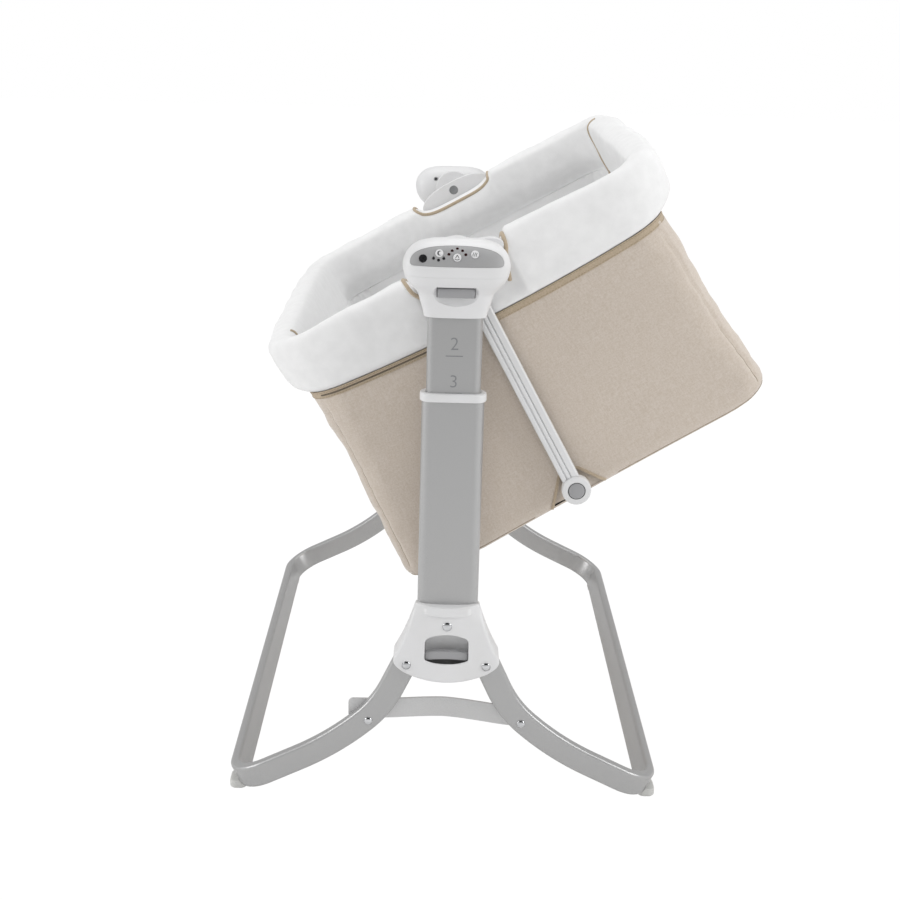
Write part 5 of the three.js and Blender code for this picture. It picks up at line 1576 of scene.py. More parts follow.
@dataclass
class Pod:
    """Head on the inner tube: body with the release lever's pocket, and cover over the axle."""

    sections: tuple[tuple[float, float, float, float], ...] = (
        (738.0, 42.6, 445.0, 411.0),
        (750.0, 45.4, 446.7, 410.3),
        (759.2, 48.4, 449.2, 409.3),
        (769.8, 51.2, 454.0, 407.6),
        (776.9, 56.2, 459.6, 405.9),
        (784.0, 63.2, 465.2, 404.2),
        (791.0, 67.6, 469.4, 403.2),
        (797.4, 70.2, 471.6, 402.5),
        (808.7, 72.2, 473.0, 402.5),
        (817.6, 70.9, 471.9, 403.4),
        (826.5, 66.9, 468.4, 406.2),
        (834.4, 59.6, 462.2, 411.0),
        (840.1, 50.6, 454.4, 417.4),
        (843.3, 39.2, 446.0, 424.6),
    )
    top_z: float = 845.4
    power: float = 3.0
    wall: float = 2.6
    split_z: float = 797.0
    scoop_levels: tuple[tuple[float, float, float], ...] = (
        (783.3, 27.0, -449.0), (778.0, 31.5, -447.0), (771.5, 36.5, -445.4), (765.0, 39.5, -445.0),
        (760.5, 38.0, -445.2), (757.0, 30.0, -446.0), (754.6, 18.0, -447.2), (753.2, 6.0, -448.4),
    )
    scoop_mouth: tuple[float, float] = (-490.0, -467.0)
    part_box: tuple[tuple[float, float, float], ...] = ((-90.0, -490.0, 700.0), (90.0, -380.0, 860.0))
    split_gap: float = 0.12
    pocket_half: tuple[float, float] = (26.3, 8.0)
    pocket_z: float = 774.8
    pocket_span: tuple[float, float] = (-480.0, -444.6)
    paddle_half: tuple[float, float] = (24.6, 6.3)
    paddle_z: float = 774.5
    paddle_span: tuple[float, float] = (-458.6, -449.0)
    bore_half: tuple[float, float, float] = (38.2, 12.4, 11.2)
    bore_y: float = -428.0
    bore_span: tuple[float, float] = (730.0, 790.0)
    cavity_rise: float = 20.0
    seat_depth: float = 1.9
    axle_radius: float = 8.4
    axle_span: tuple[float, float] = (-436.0, -395.0)
    axle_z: float = 807.6
    screw_profile: tuple[tuple[float, float], ...] = (
        (2.4, -0.2), (2.4, 0.5), (3.1, 0.8), (3.9, 0.5), (4.1, -0.2),
    )
    screw_x: float = 34.0
    screw_y: float = -406.0
    screw_z: float = 824.0
    dense: list[Vector] = field(default_factory=list)

    def __post_init__(self) -> None:
        """Draws the sections close together."""
        self.dense = smooth_path([Vector(section) for section in self.sections], 5)

    def ring(self, section: Vector, inset: float) -> Ring:
        """One section with soft corners, drawn inward by an inset.

        Args:
            section: Measures of the section.
            inset: How far it is drawn inward.

        Returns:
            The points.
        """
        z, half, front, back = section
        depth = (front - back) / 2 - inset
        ring = []
        for i in range(96):
            turn = i / 96 * math.tau
            cosine, sine = math.cos(turn), math.sin(turn)
            x = math.copysign(abs(cosine) ** (2 / self.power), cosine) * (half - inset)
            y = math.copysign(abs(sine) ** (2 / self.power), sine) * depth
            ring.append(Vector((x, y - (front + back) / 2, z)))
        return ring

    def skin(self, inset: float = 0.0, raised: float = 0.0) -> Mesh:
        """Closed skin of the whole pod.

        Args:
            inset: How far it is drawn inward.
            raised: How far above the neck it starts.

        Returns:
            The closed mesh.
        """
        sections = [section for section in self.dense if section[0] >= self.sections[0][0] + raised]
        rings = [self.ring(section, inset) for section in sections]
        last = self.dense[-1]
        crown = -(last[2] + last[3]) / 2
        base = rings[-1]
        for turn in (0.35, 0.7, 1.0, 1.25, 1.47):
            share, lift = math.cos(turn), math.sin(turn)
            z = last[0] + (self.top_z - last[0]) * lift
            rings.append([Vector((p.x * share, crown + (p.y - crown) * share, z)) for p in base])
        for ring in rings:
            for point in ring:
                point.z -= inset * held((point.z - 820) / 20)
        return shell_of(rings)

    def face_y(self, x: float, z: float) -> float:
        """Front face of the pod at a place on it.

        Args:
            x: Place along X.
            z: Height.

        Returns:
            Place of the face along Y.
        """
        upper = next((i for i, section in enumerate(self.dense) if section[0] > z), len(self.dense) - 1)
        low, high = self.dense[upper - 1], self.dense[upper]
        _, half, front, back = low.lerp(high, (z - low[0]) / (high[0] - low[0]))
        depth = (front - back) / 2
        return -(front + back) / 2 - depth * (1 - abs(x / half) ** self.power) ** (1 / self.power)

    def build(self, layout: Layout, end: End) -> None:
        """Builds the body, the cover and the release lever of one end.

        Args:
            layout: Frames of the cradle.
            end: End that it is built at.
        """
        tag, place = end.value, layout.stand(end)
        low, high = self.part_box
        body = carved(self.skin(), block(low, (*high[:2], self.split_z)), Carving.KEEP_SHARED)
        pocket = self.lever_slab(self.pocket_half, self.pocket_z, self.pocket_span, 0.5)
        bore = shell_of([
            [p + Vector((0, self.bore_y, z)) for p in oval_ring(*self.bore_half, corner_steps=8)]
            for z in self.bore_span
        ])
        for tool in (self.scoop(), pocket, bore):
            body = carved(body, tool, Carving.CUT)
        make_piece(f"pod_shell_{tag}", body, place, "lift", WHITE_ABS, [f"pod_body_{tag}"], 30)
        make_piece(f"pod_lid_{tag}", self.cover(end), place, "lift", WHITE_ABS, [f"pod_cover_{tag}"], 30)
        lever = f"release_lever_{tag}"
        paddle = self.lever_slab(self.paddle_half, self.paddle_z, self.paddle_span, 1.4)
        make_piece(f"release_paddle_{tag}", paddle, place, lever, GREY_ABS, [lever])
        x, y, z = self.screw_x, self.screw_y, self.screw_z
        # Thin dark disc flush in the screw hole: painted shade of the hole's inside, drawn in the dark lens
        # finish.
        hole = disc(self.screw_profile[0][0], y - 0.4, y + 0.25, x, z, 0.15, 24)
        make_piece(f"pod_screw_hole_painted_shade_{tag}", hole, place, "lift", DARK_LENS)
        turned = [circle(radius, x, y + rise, z, 32) for radius, rise in self.screw_profile]
        rim = shell_of(turned, is_loop=True)
        make_piece(f"pod_screw_rim_{tag}", rim, place, "lift", GREY_ABS)

    def lever_slab(
        self, half: tuple[float, float], z: float, span: tuple[float, float], edge: float
    ) -> Mesh:
        """Slab in the shape of the release lever, between two places along Y."""
        return slab(upright(oval_ring(*half, 2.0, corner_steps=5), z=z), *span, edge)

    def scoop(self) -> Mesh:
        """Tool for the finger scoop: narrow at its ceiling, wider below, with a rounded floor.

        Returns:
            The closed mesh.
        """
        mouth, rim = self.scoop_mouth
        rings = []
        for z, half, back in smooth_path([Vector(level) for level in self.scoop_levels], 4):
            ring = [Vector((half, mouth, z)), Vector((half, rim, z))]
            for i in range(1, 24):
                turn = math.pi * i / 24
                ring.append(Vector((half * math.cos(turn), rim + (back - rim) * math.sin(turn) ** 0.8, z)))
            rings.append(ring + [Vector((-half, rim, z)), Vector((-half, mouth, z))])
        return shell_of(rings)

    def cover(self, end: End) -> Mesh:
        """Cover over the axle, with the control panel's seat on the front one.

        Args:
            end: End that it is built at.

        Returns:
            The closed mesh.
        """
        low, high = self.part_box
        upper = block((*low[:2], self.split_z + self.split_gap), high)
        cover = carved(self.skin(), upper, Carving.KEEP_SHARED)
        cover = carved(cover, self.skin(self.wall, self.cavity_rise), Carving.CUT)
        cover = carved(cover, disc(self.axle_radius, *self.axle_span, 0, self.axle_z, 0.1), Carving.CUT)
        if end is End.FRONT:
            seat = carved(panel_prism(0.3), self.skin(self.seat_depth, self.cavity_rise), Carving.CUT)
            cover = carved(cover, seat, Carving.CUT)
        return cover


def panel_outline(larger: float = 0.0) -> Ring:
    """Outline of the control panel seen from the front, counter-clockwise, made larger by a length.

    Args:
        larger: How much larger it is made.

    Returns:
        The points.
    """
    half, low, top, side = 62.2 + larger, 812.3 - larger, 838 + larger, 817.5
    right = bezier((0, low), (57, low), steps=4)
    right += bezier((57, low), (half, low), (half, side), steps=8)
    right += bezier((half, side), (half * 0.97, top - 7), (half * 0.66, top), (0, top), steps=24)
    return whole_outline(right, top)


def panel_prism(larger: float = 0.0) -> Mesh:
    """Prism of the panel's outline, made larger by a length, through the front of the pod."""
    return shell_of([at_depth(panel_outline(larger), y) for y in (-480, -436)])


@dataclass
class ControlPanel:
    """Panel on the front pod with its buttons, lamps and receiver window."""

    pod: Pod
    columns: tuple[float, ...] = (-23.5, 0.0, 23.3)
    heights: tuple[float, ...] = (829.0, 824.4, 828.6)
    radius: float = 5.35
    proud: float = 1.2
    bore_span: tuple[float, float] = (-9.0, 6.0)
    button_gap: float = 0.35
    lens_gap: float = 0.3
    cap_foot: float = -7.8
    lens_span: tuple[float, float] = (-4.7, 0.3)
    lamp_radius: float = 2.0
    lamp_span: tuple[float, float] = (-1.0, 0.45)
    icon_scale: float = 1.3
    tilt: float = math.radians(25)
    receiver: tuple[float, float] = (-45.0, 822.0)
    red_lamps: tuple[tuple[float, float], ...] = (
        (-11, 828.2), (-6.8, 832.4), (0, 834.8), (6.8, 832.6), (11.2, 828.2),
    )
    dark_lamps: tuple[tuple[float, float], ...] = ((-31, 822.8), (-24.4, 820.8), (-17.6, 823))

    def rod(self, radius: float, low: float, high: float, x: float, z: float, edge: float) -> Mesh:
        """Round bar square to the panel, between two heights over it.

        Args:
            radius: Radius.
            low: First height over the panel.
            high: Last height over the panel.
            x: Place along X.
            z: Height.
            edge: Radius of the rims.

        Returns:
            The closed mesh.
        """
        turns = [k / 40 * math.tau for k in range(40)]
        profile = rounded_profile(low, high, edge) if edge else [(low, 0), (high, 0)]
        rings = []
        for rise, inset in profile:
            reach = radius - inset
            rings.append([Vector((reach * math.cos(t), reach * math.sin(t), rise)) for t in turns])
        bm = shell_of(rings)
        bmesh.ops.transform(bm, matrix=self.frame(x, z), verts=bm.verts)
        return bm

    def frame(self, x: float, z: float) -> Matrix:
        """Frame on the panel whose Z axis looks out of it and whose Y axis runs up it.

        Args:
            x: Place along X.
            z: Height.

        Returns:
            The frame.
        """
        out = Vector((0, -math.cos(self.tilt), math.sin(self.tilt)))
        up = Vector((0, math.sin(self.tilt), math.cos(self.tilt)))
        right = Vector((1, 0, 0))
        turn = Matrix((right, up, out)).transposed().to_4x4()
        return Matrix.Translation((x, self.pod.face_y(x, z), z)) @ turn

    def build(self, layout: Layout) -> None:
        """Builds the panel and all that sits in it.

        Args:
            layout: Frames of the cradle.
        """
        place = layout.stand()
        plate = carved(self.pod.skin(), panel_prism(), Carving.KEEP_SHARED)
        plate = carved(plate, self.pod.skin(1.6, 20), Carving.CUT)
        for x, z in zip(self.columns, self.heights):
            bore = self.rod(self.radius + self.button_gap, *self.bore_span, x, z, 0)
            plate = carved(plate, bore, Carving.CUT)
        hole = self.rod(self.radius + self.lens_gap, *self.bore_span, *self.receiver, 0)
        plate = carved(plate, hole, Carving.CUT)
        make_piece("panel_plate", plate, place, "lift", PANEL_ABS, ["control_panel"], 30)
        window = self.rod(self.radius, *self.lens_span, *self.receiver, 0.5)
        make_piece("receiver_lens", window, place, "lift", DARK_LENS, ["receiver_window"])
        icons = (self.moon_icon, self.swing_icon, self.wave_icon)
        for i, (x, z) in enumerate(zip(self.columns, self.heights), 1):
            name = f"panel_button_{i}"
            cap = self.rod(self.radius, self.cap_foot, self.proud, x, z, 0.8)
            make_piece(f"{name}_cap", cap, place, name, WHITE_ABS, [name])
            icon = icons[i - 1]()
            bmesh.ops.scale(icon, vec=(self.icon_scale, self.icon_scale, 1), verts=icon.verts)
            bmesh.ops.translate(icon, vec=(0, 0, self.proud), verts=icon.verts)
            bmesh.ops.transform(icon, matrix=self.frame(x, z), verts=icon.verts)
            make_piece(f"{name}_icon", icon, place, name, ICON_INK)
        rows = (("red", self.red_lamps, RED_LAMP), ("dark", self.dark_lamps, DARK_LENS))
        for kind, lamps, finish in rows:
            for i, (x, z) in enumerate(lamps, 1):
                bead = self.rod(self.lamp_radius, *self.lamp_span, x, z, 0.4)
                make_piece(f"panel_lamp_{kind}_{i}", bead, place, "lift", finish)
        for i, (x, z) in enumerate(self.dark_lamps, 1):
            tick = block((-0.9, 2.4, -0.2), (0.9, 2.8, 0.12))
            bmesh.ops.transform(tick, matrix=self.frame(x, z), verts=tick.verts)
            make_piece(f"panel_tick_{i}", tick, place, "lift", DARK_PRINT)

    def stroke(self, path: Sequence[tuple[float, float]], wide: float) -> Mesh:
        """Flat printed line along a path on a button.

        Args:
            path: Points of the line.
            wide: Width of the line.

        Returns:
            The closed mesh.
        """
        points = smooth_path([Vector((x, y, 0)) for x, y in path], 5)
        rings = []
        for i, point in enumerate(points):
            along = (points[min(i + 1, len(points) - 1)] - points[max(i - 1, 0)]).normalized()
            side = Vector((-along.y, along.x, 0)) * wide / 2
            lift = Vector((0, 0, 0.05))
            left, right = point - side, point + side
            rings.append([left - lift, right - lift, right + lift, left + lift])
        return shell_of(rings)

    def moon_icon(self) -> Mesh:
        """Crescent.

        Returns:
            The closed mesh.
        """
        outline = []
        for middle, radius, start, sweep in ((0.3, 2.5, 1, 4.3), (1.3, 2.0, 5.1, -3.9)):
            for turn in (start + k / 20 * sweep for k in range(21)):
                outline.append(Vector((middle + radius * math.cos(turn), radius * math.sin(turn), 0)))
        return shell_of([[point + Vector((0, 0, z)) for point in outline] for z in (-0.05, 0.05)])

    def swing_icon(self) -> Mesh:
        """Peak over an arc, for the rocking.

        Returns:
            The closed mesh.
        """
        peak = self.stroke(((-1.7, -0.6), (-0.7, 1.1), (0, 2.3), (0.7, 1.1), (1.7, -0.6)), 0.7)
        arc = self.stroke(((-2.4, -1.4), (-1.2, -2.3), (0, -2.6), (1.2, -2.3), (2.4, -1.4)), 0.7)
        return merged(peak, arc)

    def wave_icon(self) -> Mesh:
        """Three slanting waves.

        Returns:
            The closed mesh.
        """
        waves = [
            self.stroke([(x - 0.9 + 0.4 * math.sin(s * 5), -2.3 + s * 1.0) for s in range(5)], 0.6)
            for x in (-0.9, 0.9, 2.5)
        ]
        return merged(*waves)


# Basket


@dataclass
class BasketShape:
    """Outlines that the basket's soft pieces share."""

    top_half: tuple[float, float] = (280.0, 376.0)
    low_half: tuple[float, float] = (300.0, 372.0)
    bottom: float = -381.0
    corner: float = 54.0
    low_corner: float = 40.0
    drift: float = 12.5
    sag: float = 19.0
    sag_from: float = 300.0
    sag_run: float = 465.0
    belly: float = 5.0
    lift: float = 15.0
    lift_from: float = 240.0
    lift_run: float = 75.0
    seam_mid: float = -94.0
    seam_rise: float = 14.0
    rim_half: tuple[float, float] = (290.5, 366.0)
    rim_corner: float = 75.0
    rim_w: float = -42.0

    def seam(self, u: float) -> float:
        """Height of the seam between the body and the rim cover."""
        return self.seam_mid + self.seam_rise * min(1.0, (u / self.top_half[0]) ** 2)

    def halves(self, w: float) -> list[float]:
        """Half width, half length and corner radius of the wall at a height.

        Args:
            w: Height.

        Returns:
            The values.
        """
        share = (w - self.bottom) / (self.seam_mid - self.bottom)
        low, top = (*self.low_half, self.low_corner), (*self.top_half, self.corner)
        return [start + (end - start) * share for start, end in zip(low, top)]

    def outline(self, w: float, inset: float = 0.0) -> Ring:
        """Outline of the body's wall at a height, drawn inward by an inset."""
        half_u, half_y, corner = (value - inset for value in self.halves(w))
        return [p + Vector((self.aside(w), 0, 0)) for p in oval_ring(half_u, half_y, corner, w, 20, 30)]

    def sagged(self, point: Vector) -> Vector:
        """A point of the cloth, sunk on the basket's low side and drawn up at its high corner.

        Args:
            point: Place on the drawn form.

        Returns:
            The place after it.
        """
        share = held((self.sag_from - point.x) / self.sag_run)
        depth = self.depth(point.z)
        slack = self.belly * max(0.0, 1 - (point.x / self.low_half[0]) ** 2)
        drawn_up = self.lift * held((point.x - self.lift_from) / self.lift_run) ** 2 * depth**6
        return point + Vector((0, 0, drawn_up - self.sag * share**2 * depth**2 - slack * depth**2))

    def depth(self, w: float) -> float:
        """Share of the way from the seam down to the bottom, between 0 and 1."""
        return held((self.seam_mid - w) / (self.seam_mid - self.bottom))

    def aside(self, w: float) -> float:
        """How far the slack cloth hangs to the high side at a height."""
        return self.drift * self.depth(w)

    def outward(self, ring: Ring, i: int) -> Vector:
        """Level direction that looks out of a ring at one of its points."""
        along = ring[(i + 1) % len(ring)] - ring[i - 1]
        return Vector((along.y, -along.x, 0)).normalized()

    def corner_reach(self, point: Vector, w: float) -> float:
        """Distance along the wall from the nearest corner seam.

        Args:
            point: Place on the wall.
            w: Height.

        Returns:
            The distance.
        """
        half_u, half_y, corner = self.halves(w)
        reach = corner * (1 - math.sqrt(0.5))
        x = point.x - self.aside(w)
        seam = Vector((math.copysign(half_u - reach, x), math.copysign(half_y - reach, point.y)))
        return (Vector((x, point.y)) - seam).length


def soft_noise(x: float, y: float, z: float, size: float) -> float:
    """Smooth noise from -1 to 1 whose waves are about a size across."""
    return noise.noise(Vector((x, y, z)) / size) * 1.6


@dataclass
class FabricBody:
    """Woven body of the basket, with its corner seams, the band round its top and the folds at the hubs."""

    shape: BasketShape
    wall: float = 2.2
    edge: float = 17.0
    opening_edge: tuple[tuple[float, float], ...] = (
        (9, 31.8), (14.5, 31), (20, 24.3), (25.5, 16.8), (31, 9.4), (35, 4), (39, -1.4), (43, -6.8),
        (47, -12.2),
    )
    seam_radius: float = 0.75
    floor_insets: tuple[float, ...] = (250, 200, 140, 90, 50)
    cut_span: tuple[float, float] = (364.0, 400.0)
    stitch_pitch: float = 4.6
    stitch_size: tuple[float, float, float] = (3.2, 0.75, 0.5)
    zip_start: float = -262.0
    zip_length: float = 200.0
    zip_steps: int = 420

    def pushed(self, point: Vector, out: Vector, below: float) -> Vector:
        """A point of the wall after the cloth has taken its folds.

        Args:
            point: Place on the drawn wall.
            out: Outward direction there.
            below: Distance under the seam.

        Returns:
            The place after puckers, corner seam and slack.
        """
        reach = self.shape.corner_reach(point, point.z)
        run = math.atan2(point.y, point.x) * 330
        puckers = math.exp(-below / 34) * 0.9 * math.sin(run / 2.9 + 3 * soft_noise(*point, 70))
        groove = -1.9 * math.exp(-((reach / 3.0) ** 2)) + 0.8 * math.exp(-(((reach - 7) / 5) ** 2))
        drag = 1.5 * math.exp(-reach / 30) * soft_noise(point.x, point.y, point.z * 2.4, 30)
        fade = min(1.0, below / 40)
        side = min(1.0, abs(point.x) / self.shape.top_half[0]) ** 8
        slack = (1.2 + 3.2 * side) * fade * soft_noise(*point, 120)
        crumple = (0.35 + 1.1 * side) * fade * soft_noise(point.x, point.y, point.z * 1.5, 38)
        fine = 0.22 * soft_noise(*point, 14)
        return point + out * (puckers + groove + drag + slack + crumple + fine)

    def floor_ring(self, inset: float) -> Ring:
        """Ring on the floor, drawn inward from the wall.

        Args:
            inset: How far it is drawn inward.

        Returns:
            The points.
        """
        shape = self.shape
        half_u, half_y = shape.low_half[0] - inset, shape.low_half[1] - inset
        ring = oval_ring(half_u, half_y, max(10, shape.low_corner - inset), shape.bottom, 20, 30)
        return [point + Vector((shape.aside(shape.bottom), 0, 0)) for point in ring]

    def rings(self) -> list[Ring]:
        """Rings from the middle of the floor up the outside, and down the inside again.

        Returns:
            The rings.
        """
        shape = self.shape
        rings = []
        for inset in self.floor_insets:
            ring = self.floor_ring(inset)
            rings.append([Vector((p.x, p.y, shape.bottom + 1.2 + 0.8 * soft_noise(*p, 90))) for p in ring])
        for turn in quarter(6):
            w = shape.bottom + self.edge * (1 - math.cos(turn))
            rings.append(shape.outline(w, self.edge * (1 - math.sin(turn))))
        steps = 44
        start = shape.bottom + self.edge
        columns = len(rings[0])
        for i in range(1, steps + 1):
            ring = []
            outlines = shape.outline(start + (shape.seam_mid - start) * i / steps)
            for k in range(columns):
                top = shape.seam(outlines[k].x) - 0.6
                w = start + (top - start) * i / steps
                point = Vector((outlines[k].x, outlines[k].y, w))
                out = shape.outward(outlines, k)
                ring.append(self.pushed(point, out, top - w) if i < steps else point)
            rings.append(ring)
        inside = []
        floor_count = len(self.floor_insets)
        for ring in reversed(rings[floor_count:]):
            inside.append([p - shape.outward(ring, k) * self.wall for k, p in enumerate(ring)])
        inside[-1] = [p + Vector((0, 0, self.wall)) for p in inside[-1]]
        floor = [[p + Vector((0, 0, self.wall)) for p in ring] for ring in reversed(rings[:floor_count])]
        return [[shape.sagged(point) for point in ring] for ring in rings + inside + floor]

    def build(self, layout: Layout) -> None:
        """Builds the body, the band, the zip and the folded edges.

        Args:
            layout: Frames of the cradle.
        """
        place = layout.basket()
        bm = cloth_of(self.rings())
        for sign in (-1, 1):
            bm = carved(bm, self.hub_opening(sign), Carving.CUT)
        body = make_piece("woven_body", bm, place, "basket", MELANGE, ["fabric_body"], 50)
        self.band(place)
        self.zip(place)
        self.seams(place)
        for end in End:
            self.folds(layout.basket(end), end)

    def hub_opening(self, sign: int) -> Mesh:
        """Tool for the opening with slanting sides that is left round a bottom hub.

        Args:
            sign: -1 at the front end, 1 at the rear one.

        Returns:
            The closed mesh.
        """
        bottom = self.shape.bottom
        corners = ((-52, -19), (52, -19), (15, 31), (-15, 31))
        outline = [Vector((u, 0, bottom + rise)) for u, rise in corners]
        return shell_of([at_depth(outline, y) for y in sorted(sign * y for y in self.cut_span)])

    def folds(self, place: Matrix, end: End) -> None:
        """Builds the turned-under edges on both sides of the hub opening.

        Args:
            place: Frame that carries it to its place.
            end: End that it is built at.
        """
        bottom = self.shape.bottom
        parts = []
        turned = -1 if end is End.REAR else 1
        for sign in (-1, 1):
            path = []
            for x, rise in self.opening_edge:
                point = Vector((sign * x, -self.shape.low_half[1] - 1.2, bottom + rise))
                above = point.z - self.shape.sagged(Vector((point.x * turned, point.y, bottom))).z
                if above < 3:
                    break
                short = max(0.0, self.edge - above)
                path.append(point + Vector((0, self.edge - math.sqrt(self.edge**2 - short**2), 0)))
            path = smooth_path(path, 6)
            rings = []
            for i, point in enumerate(path):
                along = (path[min(i + 1, len(path) - 1)] - path[max(i - 1, 0)]).normalized()
                side = along.cross(Vector((0, -1, 0))).normalized() * 2.2
                thick = Vector((0, 0.7, 0))
                rings.append([
                    point - side,
                    point - side * 0.9 - thick * 0.8,
                    point - thick,
                    point + side * 0.9 - thick * 0.8,
                    point + side,
                    point + side * 0.9 + thick,
                    point - side * 0.9 + thick,
                ])
            parts.append(cloth_of(rings))
        make_piece(f"hub_opening_edge_{end.value}", merged(*parts), place, "basket", BINDING)
        gusset = block((-56, -363, bottom - 8), (56, -361, bottom + 40), 0.4)
        make_piece(f"hub_opening_gusset_{end.value}", gusset, place, "basket", MELANGE)

    def seams(self, place: Matrix) -> None:
        """Builds the drawn-in seams down the four corners and round the bottom edge.

        Args:
            place: Frame that carries it to its place.
        """
        shape = self.shape
        parts = []
        for turn in range(4):
            path = []
            for i in range(41):
                w = shape.bottom + self.edge + (shape.seam_mid - 14 - shape.bottom - self.edge) * i / 40
                ring = shape.outline(w)
                k = turn * (len(ring) // 4) + 10
                point = ring[k]
                path.append(shape.sagged(self.pushed(point, shape.outward(ring, k), shape.seam_mid - w)))
            parts.append(cloth_of(tube_rings(path, self.seam_radius, 8)))
        inset = self.edge * (1 - math.sqrt(0.5))
        ring = shape.outline(shape.bottom + inset, inset)
        side_y = shape.low_half[1] - 40
        path = [shape.sagged(point) for point in ring if abs(point.x) > 58 or abs(point.y) < side_y]
        start = next(i for i in range(len(path)) if (path[i] - path[i - 1]).length > 60)
        path = path[start:] + path[:start]
        gap = next(i for i in range(1, len(path)) if (path[i] - path[i - 1]).length > 60)
        for piece in (path[:gap], path[gap:]):
            parts.append(cloth_of(tube_rings(piece, self.seam_radius, 8)))
        make_piece("body_seams", merged(*parts), place, "basket", STITCHING)

    def band(self, place: Matrix) -> None:
        """Builds the stitched band that covers the seam, and its two rows of stitches.

        Args:
            place: Frame that carries it to its place.
        """
        shape = self.shape
        base = shape.outline(shape.seam_mid)
        profile = (
            (0.2, 0.3), (1.3, 0.1), (1.7, -0.8), (1.5, -5.5), (1.7, -10.2), (1.3, -11.0), (0.2, -11.2),
        )
        rings = []
        for k, point in enumerate(base):
            out = shape.outward(base, k)
            seam = shape.seam(point.x)
            waver = 0.35 * soft_noise(point.x, point.y, 0, 25)
            flat = Vector((point.x, point.y, 0))
            rings.append([
                flat + out * (reach + waver * (reach > 1)) + Vector((0, 0, seam + drop))
                for reach, drop in profile
            ])
        band = cloth_of(rings, is_loop=True)
        make_piece("seam_band", band, place, "basket", BINDING, levels=1)
        for word, drop in (("upper", -2.0), ("lower", -9.2)):
            self.stitches(place, word, drop)

    def stitches(self, place: Matrix, word: str, drop: float) -> None:
        """Builds one row of stitches round the band.

        Args:
            place: Frame that carries it to its place.
            word: Word for the row, used in its name.
            drop: How far the row lies below the seam.
        """
        shape = self.shape
        base = shape.outline(shape.seam_mid)
        loop = [*base, base[0]]
        spots = []
        travelled, due = 0.0, 0.0
        for k in range(len(base)):
            start, end = loop[k], loop[k + 1]
            length = (end - start).length
            while due < travelled + length:
                share = (due - travelled) / length
                point = start.lerp(end, share)
                out = shape.outward(base, k)
                spots.append((point, out, (end - start).normalized()))
                due += self.stitch_pitch
            travelled += length
        whole = bmesh.new()
        for point, out, along in spots:
            made = bmesh.ops.create_cube(whole, size=1)["verts"]
            waver = 0.35 * soft_noise(point.x, point.y, 0, 25)
            spot = Vector((point.x, point.y, shape.seam(point.x) + drop)) + out * (1.62 + waver)
            sides = (along, Vector((0, 0, 1)), out)
            scaled = [side * size for side, size in zip(sides, self.stitch_size)]
            turn = Matrix(scaled).transposed().to_4x4()
            bmesh.ops.transform(whole, matrix=Matrix.Translation(spot) @ turn, verts=made)
        whole.loops.layers.uv.verify()
        make_piece(f"band_stitches_{word}", whole, place, "basket", STITCHING, crease=60)

    def zip(self, place: Matrix) -> None:
        """Builds the zip's coil along the left part of the front seam.

        Args:
            place: Frame that carries it to its place.
        """
        shape = self.shape
        path = []
        for i in range(self.zip_steps):
            u = self.zip_start + self.zip_length * i / (self.zip_steps - 1)
            edge = max(0.0, -u - (shape.top_half[0] - shape.corner))
            y = -(shape.top_half[1] - shape.corner + math.sqrt(shape.corner**2 - edge**2))
            path.append(Vector((u, y - 1.5, shape.seam(u) - 5.6)))
        rings = []
        for i, ring in enumerate(tube_rings(path, 1.5, 8)):
            swell = 0.82 + 0.18 * math.sin(i * 1.4)
            rings.append([path[i] + (p - path[i]) * swell for p in ring])
        make_piece("seam_zip", cloth_of(rings), place, "basket", ZIP_COIL, crease=60)


